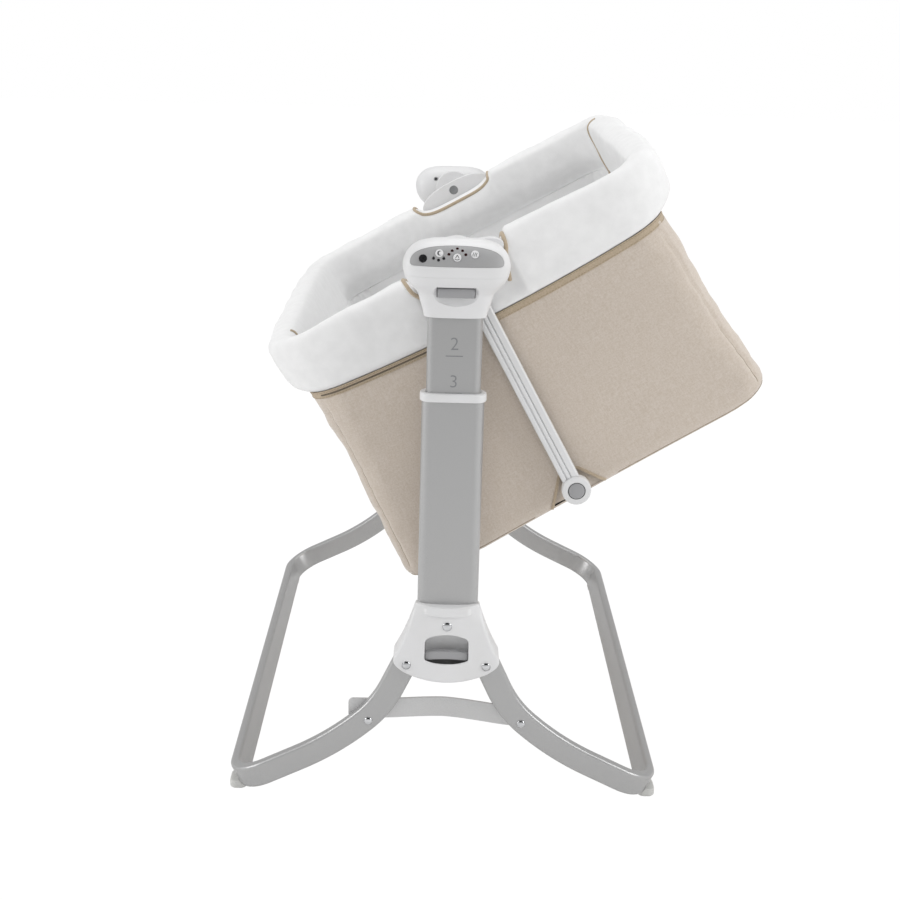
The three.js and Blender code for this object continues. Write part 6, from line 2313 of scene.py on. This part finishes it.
@dataclass
class RimCover:
    """Padded velour cover over the rim tube, notched at both ends, with its piping."""

    shape: BasketShape
    end_top: float = 6.0
    side_top: float = 10.0
    rise_run: float = 230.0
    skirt_w: float = -88.0
    notch_mid: float = -3.0
    notch_half: float = 79.5
    notch_power: float = 5.0
    notch_top: float = -13.5
    out: float = 28.0
    notch_out: float = 11.0
    into: float = 21.0
    binding_radius: float = 2.9
    piping_radius: float = 1.8
    piping_place: tuple[float, float] = (290.5, 283.0)
    binding_left: tuple[tuple[float, float], ...] = (
        (27, 8.5), (15, 12), (7, 16), (3.5, 20), (1.5, 24), (2.5, 27.5),
    )
    binding_right: tuple[tuple[float, float], ...] = (
        (8.5, 27.5), (6, 24), (5.5, 20), (8, 16), (14, 12), (25, 8.5),
    )

    def stations(self) -> list[tuple[Vector, Vector]]:
        """Places round the rim with their outward direction, close together at the notches.

        Returns:
            Place and outward direction, station by station.
        """
        half_u, half_y = self.shape.rim_half
        corner = self.shape.rim_corner
        flat_u, flat_y = half_u - corner, half_y - corner
        fine = [u for u in range(-108, 91, 3) if abs(u - self.notch_mid) > 44]
        coarse = [u for u in range(-204, 205, 12) if not 40 < abs(u - self.notch_mid) < 102]
        across = sorted(fine + coarse)
        found = []
        for turn, (sign_u, sign_y) in enumerate(((1, 1), (-1, 1), (-1, -1), (1, -1))):
            centre = Vector((sign_u * flat_u, sign_y * flat_y, 0))
            for i in range(13):
                angle = (turn + i / 12) * math.pi / 2
                out = Vector((math.cos(angle), math.sin(angle), 0))
                found.append((centre + out * corner, out))
            if turn in (0, 2):
                for u in reversed(across) if turn == 0 else across:
                    found.append((Vector((u, sign_y * half_y, 0)), Vector((0, sign_y, 0))))
            else:
                runs = 44
                for i in range(1, runs):
                    y = sign_y * flat_y * (1 - 2 * i / runs)
                    found.append((Vector((sign_u * half_u, y, 0)), Vector((sign_u, 0, 0))))
        return found

    def notch(self, point: Vector) -> float:
        """Share of the notch's depth at a place: 1 inside it, 0 away from it.

        Args:
            point: Place on the rim line.

        Returns:
            The share.
        """
        if abs(point.y) < self.shape.rim_half[1] - 0.5:
            return 0.0
        return max(0.0, 1 - (abs(point.x - self.notch_mid) / self.notch_half) ** self.notch_power)

    def body_reach(self, point: Vector, out: Vector) -> float:
        """Distance from the rim line out to the body's wall.

        Args:
            point: Place on the rim line.
            out: Outward direction there.

        Returns:
            The distance.
        """
        half_u, half_y = self.shape.top_half
        corner = self.shape.corner
        reach = 0.0
        for _ in range(10):
            place = point + out * reach
            past_u, past_y = abs(place.x) - half_u, abs(place.y) - half_y
            over_u, over_y = max(past_u + corner, 0), max(past_y + corner, 0)
            past = math.hypot(over_u, over_y) - corner if over_u and over_y else max(past_u, past_y)
            reach -= past
        return reach

    def section(self, point: Vector, out: Vector) -> list[Vector]:
        """Closed section at a station, as distances outward and heights.

        Args:
            point: Place on the rim line.
            out: Outward direction there.

        Returns:
            The points, as distance outward and height.
        """
        shape = self.shape
        notch = self.notch(point)
        sideness = eased(held((shape.rim_half[1] - abs(point.y)) / self.rise_run))
        free_top = self.end_top + (self.side_top - self.end_top) * sideness
        top = free_top + (self.notch_top - free_top) * notch
        at_end = abs(point.y) > shape.rim_half[1] - 0.5
        tucked = max(notch, 0.45) if at_end else 0.45 * (1 - sideness)
        reach = self.out + (self.notch_out - self.out) * tucked
        wall = self.body_reach(point, out)
        seam = shape.seam(point.x + out.x * wall) + 0.5
        rim = shape.rim_w
        outside = [
            (wall, seam), (wall + (reach - wall) * 0.55 + 1, seam + 7), (reach - 2.5, (seam + rim) / 2 + 2),
            (reach, rim + 14), (reach - 1.5, top - 13), (reach * 0.62, top - 2.5), (0, top),
            (-self.into * 0.7, top - 3.5), (-self.into - 2.5, top - 16), (-self.into - 2, rim - 12),
            (wall - 11, self.skirt_w + 5), (wall - 10, self.skirt_w),
        ]
        back = [(wall - 7.4, self.skirt_w + 1), (wall - 7, seam + 1), (wall - 2, seam + 2)]
        smooth = smooth_path([Vector(p) for p in outside], 4)
        return smooth + [Vector(p) for p in back]

    def rings(self) -> list[Ring]:
        """Sections placed round the rim, with the soft dents of the padding.

        Returns:
            The rings.
        """
        rings = []
        for point, out in self.stations():
            calm = 1 - 0.75 * self.notch(point)
            ring = []
            section = self.section(point, out)
            count = len(section)
            for k, (reach, w) in enumerate(section):
                place = point + out * reach + Vector((0, 0, w))
                before, after = section[k - 1], section[(k + 1) % count]
                slope = Vector((after[1] - before[1], before[0] - after[0])).normalized()
                free = math.sin(min(k, 44) / 44 * math.pi)
                dent = 2.6 * soft_noise(*place, 75) + 1.1 * soft_noise(place.x, place.y, place.z * 1.4, 30)
                run = math.atan2(place.y, place.x) * 330
                pucker = 0.8 * math.exp(-k / 5) * math.sin(run / 3.1 + 2.5 * soft_noise(*place, 60))
                gather = math.sin(run / 2.7 + 2.5 * soft_noise(*place, 40))
                inner = 1.2 * math.exp(-abs(k - 42) / 6) * gather
                if k > 44:
                    dent = pucker = inner = 0.0
                push = (dent * free + pucker * min(1, k / 2) + inner * free) * calm
                ring.append(place + (out * -slope.x + Vector((0, 0, -slope.y))) * -push)
            rings.append(ring)
        return rings

    def build(self, layout: Layout) -> None:
        """Builds the cover and its piping.

        Args:
            layout: Frames of the cradle.
        """
        place = layout.basket()
        skin = cloth_of(self.rings(), is_loop=True)
        cover = make_piece("velour_rim_cover", skin, place, "basket", WHITE_VELOUR, ["rim_cover"], 180, 1)
        for sign_y in (-1, 1):
            self.notch_binding(place, sign_y)
        for end in End:
            self.corner_piping(place, end)

    def on_skin(self, u: float, sign_y: int, along: float) -> Vector:
        """Place on the cover at one end.

        Args:
            u: Place across the basket.
            sign_y: 1 at the rear end, -1 at the front one.
            along: Place along the section, counted in its points.

        Returns:
            The place, a little outside the skin.
        """
        point, out = Vector((u, sign_y * self.shape.rim_half[1], 0)), Vector((0, sign_y, 0))
        section = self.section(point, out)
        low = int(along)
        reach, w = section[low].lerp(section[low + 1], along - low)
        before, after = section[low - 1], section[low + 2]
        slope = Vector((after[1] - before[1], before[0] - after[0])).normalized() * 0.9
        return point + out * (reach + slope.x) + Vector((0, 0, w + slope.y))

    def notch_binding(self, place: Matrix, sign_y: int) -> None:
        """Builds the binding round a notch: up outside, over the rim, along the floor and down again.

        Args:
            place: Frame that carries it to its place.
            sign_y: -1 at the front end, 1 at the rear one.
        """
        low, high = self.notch_mid - self.notch_half, self.notch_mid + self.notch_half
        points = [self.on_skin(low + inset, sign_y, along) for inset, along in self.binding_left]
        for share in (0.07, 0.13, 0.2, 0.3, 0.4, 0.5, 0.6, 0.7, 0.8, 0.87, 0.93):
            points.append(self.on_skin(low + (high - low) * share, sign_y, 29))
        points += [self.on_skin(high - inset, sign_y, along) for inset, along in self.binding_right]
        binding = cloth_of(tube_rings(smooth_path(points, 6), self.binding_radius, 14))
        word = "front" if sign_y < 0 else "rear"
        make_piece(f"notch_binding_{word}", binding, place, "basket", BINDING)

    def corner_piping(self, place: Matrix, end: End) -> None:
        """Builds the piping that runs from the crest down the inside of one corner.

        Args:
            place: Frame that carries it to its place.
            end: End that it is built at.
        """
        wanted = Vector((*self.piping_place, 0)) * (-1 if end is End.FRONT else 1)
        stations = self.stations()
        k = min(range(len(stations)), key=lambda i: (stations[i][0] - wanted).length)
        ring, out = self.rings()[k], stations[k][1]
        path = []
        for i in range(29 if end is End.FRONT else 25, 44):
            along = ring[i + 1] - ring[i - 1]
            normal = (out * along.z - Vector((0, 0, along.dot(out)))).normalized()
            path.append(ring[i] + normal * 0.6)
        path.append(path[-1] - out * 4 - Vector((0, 0, 10)))
        piping = cloth_of(tube_rings(smooth_path(path, 3), self.piping_radius, 10))
        make_piece(f"corner_piping_{end.value}", piping, place, "basket", BINDING)


@dataclass
class Lining:
    """Jersey lining under the rim cover, the mattress and the board under it."""

    shape: BasketShape
    top_w: float = -89.5
    bottom_w: float = -355.5
    gap: float = 7.6
    mattress_half: tuple[float, float] = (269.0, 344.0)
    mattress_low: float = -352.0
    mattress_thick: float = 46.0
    mattress_corner: float = 58.0
    mattress_round: float = 14.0
    slack_inset: float = 5.0
    slack_drop: float = 6.0
    channel: float = 62.0
    top_rings: tuple[tuple[float, float], ...] = ((1.5, 6.4), (11.0, 5.6))

    def build(self, layout: Layout) -> None:
        """Builds the lining and the mattress.

        Args:
            layout: Frames of the cradle.
        """
        place = layout.basket()
        bm = bmesh.new()
        rings = []
        steps = 40
        for i in range(steps + 1):
            w = self.bottom_w + 10 + (self.top_w - self.bottom_w - 10) * i / steps
            ring = self.shape.outline(w, self.gap)
            below = self.top_w - w
            moved = []
            for k, p in enumerate(ring):
                run = math.atan2(p.y, p.x) * 330
                gathers = 1.7 * math.exp(-below / 42) * math.sin(run / 2.4 + 2.6 * soft_noise(*p, 55))
                slack = 1.6 * soft_noise(*p, 95) * min(1, below / 30)
                moved.append(p - self.shape.outward(ring, k) * (2.2 + gathers + slack))
            rings.append(moved)
        rings += [self.shape.outline(self.top_w + rise, inset) for rise, inset in self.top_rings]
        rings.insert(0, self.shape.outline(self.bottom_w, self.gap + 9))
        rows = grow(bm, rings, is_capped=False)
        edges = [bm.edges.get((vert, rows[0][i - 1])) for i, vert in enumerate(rows[0])]
        bmesh.ops.contextual_create(bm, geom=edges)
        lay_out(bm, rows)
        area = sum(face.calc_area() for face in bm.faces) * MILLIMETRE**2
        solids = ["inner_liner"]
        lining = make_piece("jersey_lining", bm, place, "basket", WHITE_JERSEY, solids, 60, wall=1.2)
        self.mattress(place)

    def mattress(self, place: Matrix) -> None:
        """Builds the quilted mattress: a slack box that swells under pressure, then its stitched channels.

        Args:
            place: Frame that carries it to its place.
        """
        half_u, half_y = (half - self.slack_inset for half in self.mattress_half)
        high = self.mattress_low + self.mattress_thick - self.slack_drop
        profile = rounded_profile(self.mattress_low, high, self.mattress_round, 5)
        bm = shell_of([
            oval_ring(half_u - inset, half_y - inset, self.mattress_corner - inset, w, 10, 12)
            for w, inset in profile
        ])
        bm = swollen(bm, 6.0, 7.0)
        top = self.mattress_low + self.mattress_thick / 2
        for vert in bm.verts:
            if vert.co.z > top:
                ridge = abs(math.sin(vert.co.y / self.channel * math.pi)) ** 0.6
                vert.co.z += 2.4 * (ridge - 0.7) * min(1, (vert.co.z - top) / 12)
            vert.co.z = max(vert.co.z, self.mattress_low)
        mattress = make_piece("padded_mattress", bm, place, "basket", WHITE_JERSEY, ["mattress"], 60, 1)


def swollen(bm: Mesh, voxel: float, cap: float) -> Mesh:
    """Swells a closed form as stuffed cloth, with each point held within a cap.

    Args:
        bm: Closed form in millimetres, used up.
        voxel: Size of the mesh that the cloth gets.
        cap: Furthest that a point may move.

    Returns:
        The swollen mesh.
    """
    bmesh.ops.recalc_face_normals(bm, faces=bm.faces)
    bmesh.ops.scale(bm, vec=(MILLIMETRE,) * 3, verts=bm.verts)
    mesh = bpy.data.meshes.new("stuffing")
    bm.to_mesh(mesh)
    bm.free()
    form = bpy.data.objects.new("stuffing", mesh)
    scene = bpy.context.scene
    scene.collection.objects.link(form)
    remesh = form.modifiers.new("remesh", "REMESH")
    remesh.mode = "VOXEL"
    remesh.voxel_size = voxel * MILLIMETRE
    seen = form.evaluated_get(bpy.context.evaluated_depsgraph_get())
    form.data = bpy.data.meshes.new_from_object(seen)
    form.modifiers.clear()
    rest = [vert.co.copy() for vert in form.data.vertices]
    cloth = form.modifiers.new("cloth", "CLOTH")
    cloth.settings.use_pressure = True
    cloth.settings.uniform_pressure_force = 4
    cloth.settings.effector_weights.gravity = 0
    cloth.point_cache.frame_end = 20
    for step in range(1, 21):
        scene.frame_set(step)
    seen = form.evaluated_get(bpy.context.evaluated_depsgraph_get())
    result = bmesh.new()
    result.from_mesh(seen.to_mesh())
    for vert, start in zip(result.verts, rest):
        shift = vert.co - start
        if shift.length > cap * MILLIMETRE:
            vert.co = start + shift.normalized() * cap * MILLIMETRE
    scene.frame_set(1)
    bpy.data.objects.remove(form)
    bmesh.ops.scale(result, vec=(1 / MILLIMETRE,) * 3, verts=result.verts)
    return result


@dataclass
class BasketEnd:
    """Hardware at one end of the basket: ribbed side arm, bottom hub and push button."""

    front: float = -399.0
    back: float = -386.0
    slim: float = 0.87
    head_radius: float = 34.0
    plate_front: float = -392.0
    plate_back: float = -378.3
    strut_half: float = 11.3
    strut_back: float = -380.9
    hub_w: float = -372.0
    hub_radius: float = 21.0
    hub_front: float = -402.5
    push_radius: float = 11.5
    bore_radius: float = 8.3
    boss_radius: float = 13.0
    boss_back: float = -359.6
    rib_profile: tuple[tuple[float, float], ...] = (
        (14.5, 0), (14.5, 10.6), (13.9, 12.2), (12.4, 13), (4.2, 13), (3.2, 12.2), (2.8, 10.2), (1.8, 10.2),
        (1.4, 12.2), (0.5, 12.8), (-3.4, 12.8), (-4.3, 12.2), (-4.7, 10.2), (-6.3, 10.2), (-6.7, 12),
        (-7.6, 12.6), (-12.6, 12.6), (-14, 11.8), (-14.5, 10.2), (-14.5, 0),
    )

    def build(self, layout: Layout, end: End) -> None:
        """Builds the arm, the hub and the button of one end.

        Args:
            layout: Frames of the cradle.
            end: End that it is built at.
        """
        tag, place = end.value, layout.basket(end)
        arm, hub = f"side_arm_{tag}", f"bottom_hub_{tag}"
        make_piece(f"ribbed_arm_{tag}", self.arm(), place, "basket", WHITE_ABS, [arm], 28)
        make_piece(f"hub_cap_{tag}", self.hub(), place, "basket", WHITE_ABS, [hub], 28)
        button = disc(self.push_radius, self.hub_front - 1, self.hub_front + 4.5, 0, self.hub_w, 1.2)
        name = f"bottom_button_{tag}"
        make_piece(f"{name}_disc", button, place, name, GREY_ABS, [name], 28)

    def arm(self) -> Mesh:
        """Arm with rounded ribs, with the head that turns on the axle.

        Returns:
            The closed mesh.
        """
        section = [(u * self.slim, self.back - height) for u, height in self.rib_profile]
        bm = shell_of([[Vector((u, y, w)) for u, y in section] for w in (self.hub_w, -6)])
        right = bezier((0, -27.7), (30, -27.7), (44, -23), (60, -17), steps=10)
        right += bezier((60, -17), (68, -14), (68, -6), steps=6)
        right += bezier((68, -6), (62, 9), (34, 16), (0, 16), steps=18)
        plate = slab(whole_outline(right, 16), self.plate_front, self.plate_back, 1.5)
        bm = carved(bm, disc(self.head_radius, self.front, self.back + 0.01, 0, 0, 2.0, 64), Carving.JOIN)
        bm = carved(bm, plate, Carving.JOIN)
        tools = (
            disc(self.bore_radius, self.front - 5, self.back + 12, 0, 0, 0.1),
            disc(self.strut_half + 2, self.back - 0.02, self.strut_back, 0, 0, 0.1),
            block((-self.strut_half, self.back - 0.02, -60), (self.strut_half, self.strut_back, 0)),
            disc(self.hub_radius + 0.3, self.front - 5, self.back + 5, 0, self.hub_w, 0.1),
        )
        for tool in tools:
            bm = carved(bm, tool, Carving.CUT)
        return bm

    def hub(self) -> Mesh:
        """Turned cap with a chamfered rim and the button's pocket.

        Returns:
            The closed mesh.
        """
        cap = disc(self.hub_radius, self.hub_front, self.back, 0, self.hub_w, 2.6, 72)
        boss = disc(self.boss_radius, self.back - 1, self.boss_back, 0, self.hub_w, 0.4)
        reach, front = self.push_radius + 1.2, self.hub_front
        pocket = disc(reach, front - 5, front + 9, 0, self.hub_w, 0.1)
        return carved(carved(cap, boss, Carving.JOIN), pocket, Carving.CUT)


# Studio


@dataclass
class Studio:
    """Camera at the photograph's angle, pale floor and soft lamps."""

    eye: Vector = field(default_factory=lambda: Vector((-22.2, -2352.8, 1144.8)))
    pitch: float = math.radians(17.24)
    yaw: float = math.radians(0.77)
    roll: float = math.radians(1.58)
    lens: float = 57.76
    shift_x: float = -0.0048
    floor_glow: float = 1.05
    floor_share: float = 0.94
    room_light: float = 0.56
    card_place: tuple[float, float, float] = (0.1, -2.0, 1.75)
    card_size: tuple[float, float, float] = (2.6, 2.6, 1.0)
    lamps: tuple[tuple[str, tuple[float, float, float], float, float], ...] = (
        ("right_key", (2.9, -1.5, 1.7), 1.5, 33.0),
        ("left_fill", (-2.9, -0.9, 1.4), 1.5, 26.0),
        ("front", (-0.4, -3.6, 3.0), 2.4, 9.0),
        ("top", (0.3, 0.4, 3.4), 2.4, 31.0),
    )

    def build(self, layout: Layout) -> None:
        """Sets up the camera, the floor, the lamps and the world.

        Args:
            layout: Frames of the cradle.
        """
        scene = bpy.context.scene
        scene.view_settings.view_transform = "Standard"
        self.camera(layout)
        self.floor()
        self.dark_card()
        for name, place, size, power in self.lamps:
            light = bpy.data.lights.new(name, "AREA")
            light.energy = power
            light.size = size
            lamp = bpy.data.objects.new(name, light)
            lamp.location = place
            lamp.rotation_mode = "QUATERNION"
            lamp.rotation_quaternion = (Vector((0, 0, 0.5)) - Vector(place)).to_track_quat("-Z", "Y")
            scene.collection.objects.link(lamp)
        self.world()

    def camera(self, layout: Layout) -> None:
        """Puts the camera where the photograph was taken.

        Args:
            layout: Frames of the cradle.
        """
        level_share = math.cos(self.pitch)
        ahead = (math.sin(self.yaw) * level_share, math.cos(self.yaw) * level_share, -math.sin(self.pitch))
        forward = Vector(ahead)
        level = Vector((math.cos(self.yaw), -math.sin(self.yaw), 0))
        upright = level.cross(forward)
        right = level * math.cos(self.roll) + upright * math.sin(self.roll)
        up = upright * math.cos(self.roll) - level * math.sin(self.roll)
        data = bpy.data.cameras.new("camera")
        data.lens = self.lens
        data.sensor_width = 36.0
        data.shift_x = self.shift_x
        camera = bpy.data.objects.new("camera", data)
        turn = Matrix((right, up, -forward)).transposed()
        eye = self.eye * MILLIMETRE + Vector((layout.pivot.x, 0, 0))
        camera.matrix_world = Matrix.Translation(eye) @ turn.to_4x4()
        bpy.context.scene.collection.objects.link(camera)
        bpy.context.scene.camera = camera

    def dark_card(self) -> None:
        """Hangs a dark card over the camera that only shows as a reflection in bright metal."""
        bm = bmesh.new()
        bmesh.ops.create_grid(bm, x_segments=1, y_segments=1, size=0.5)
        mesh = bpy.data.meshes.new("studio_card")
        bm.to_mesh(mesh)
        bm.free()
        card = bpy.data.objects.new("studio_card", mesh)
        turn = (Vector((0, -0.5, 0.3)) - Vector(self.card_place)).to_track_quat("-Z", "Y")
        card.matrix_world = Matrix.LocRotScale(Vector(self.card_place), turn, Vector(self.card_size))
        bpy.context.scene.collection.objects.link(card)
        card.visible_camera = card.visible_diffuse = card.visible_shadow = False
        material = bpy.data.materials.new("black_studio_card")
        material.use_nodes = True
        tree = material.node_tree
        tree.nodes.clear()
        paint = add_node(tree, "ShaderNodeBsdfDiffuse", {"Color": linear("1a1a1a")})
        add_node(tree, "ShaderNodeOutputMaterial", links={"Surface": paint.outputs[0]})
        mesh.materials.append(material)

    def floor(self) -> None:
        """Lays a pale floor that looks almost white and keeps a soft shadow."""
        bm = bmesh.new()
        bmesh.ops.create_grid(bm, x_segments=1, y_segments=1, size=14)
        mesh = bpy.data.meshes.new("studio_floor")
        bm.to_mesh(mesh)
        bm.free()
        floor = bpy.data.objects.new("studio_floor", mesh)
        floor.location.z = -0.0005
        bpy.context.scene.collection.objects.link(floor)
        material = bpy.data.materials.new("white_studio_floor")
        material.use_nodes = True
        tree = material.node_tree
        tree.nodes.clear()
        paint = add_node(tree, "ShaderNodeBsdfDiffuse", {"Color": linear("f4f4f4")})
        glow = add_node(tree, "ShaderNodeEmission", {"Color": (1, 1, 1, 1), "Strength": self.floor_glow})
        path = add_node(tree, "ShaderNodeLightPath")
        share = maths(tree, "MULTIPLY", path.outputs["Is Camera Ray"], self.floor_share)
        links = {0: share, 1: paint.outputs[0], 2: glow.outputs[0]}
        mix = add_node(tree, "ShaderNodeMixShader", links=links)
        add_node(tree, "ShaderNodeOutputMaterial", links={"Surface": mix.outputs[0]})
        mesh.materials.append(material)

    def world(self) -> None:
        """Makes the room an even pale light that the camera sees as white."""
        world = bpy.data.worlds.new("studio_world")
        bpy.context.scene.world = world
        world.use_nodes = True
        tree = world.node_tree
        tree.nodes.clear()
        path = add_node(tree, "ShaderNodeLightPath")
        room = add_node(tree, "ShaderNodeBackground", {"Color": (1, 1, 1, 1), "Strength": self.room_light})
        seen = add_node(tree, "ShaderNodeBackground", {"Color": (1, 1, 1, 1), "Strength": 1.0})
        links = {0: path.outputs["Is Camera Ray"], 1: room.outputs[0], 2: seen.outputs[0]}
        mix = add_node(tree, "ShaderNodeMixShader", links=links)
        add_node(tree, "ShaderNodeOutputWorld", links={"Surface": mix.outputs[0]})


# Solids that stay as they are packed, and their finish
KEPT = {
    "slider_foot": WHITE_ABS,
    "bearing_block": GREY_ABS,
    "axle": DRAWN_STEEL,
    "strut": DRAWN_STEEL,
}


def main() -> None:
    """Builds every sub-assembly in order."""
    logging.basicConfig(level=logging.INFO, format="%(message)s")
    layout = Layout.of_record()
    Studio().build(layout)
    LegLoops().build(layout)
    pod = Pod()
    for end in End:
        Hub().build(layout, end)
        Post().build(layout, end)
        pod.build(layout, end)
        BasketEnd().build(layout, end)
        for stem, finish in KEPT.items():
            dress(f"{stem}_{end.value}", finish)
    ControlPanel(pod).build(layout)
    shape = BasketShape()
    FabricBody(shape).build(layout)
    RimCover(shape).build(layout)
    Lining(shape).build(layout)
    dress("rim_tube", OUTER_TUBE)
    dress("bottom_tube", OUTER_TUBE)
    dress("bottom_board", BOARD)
    dress("control_board", CIRCUIT)


if __name__ == "__main__":
    main()
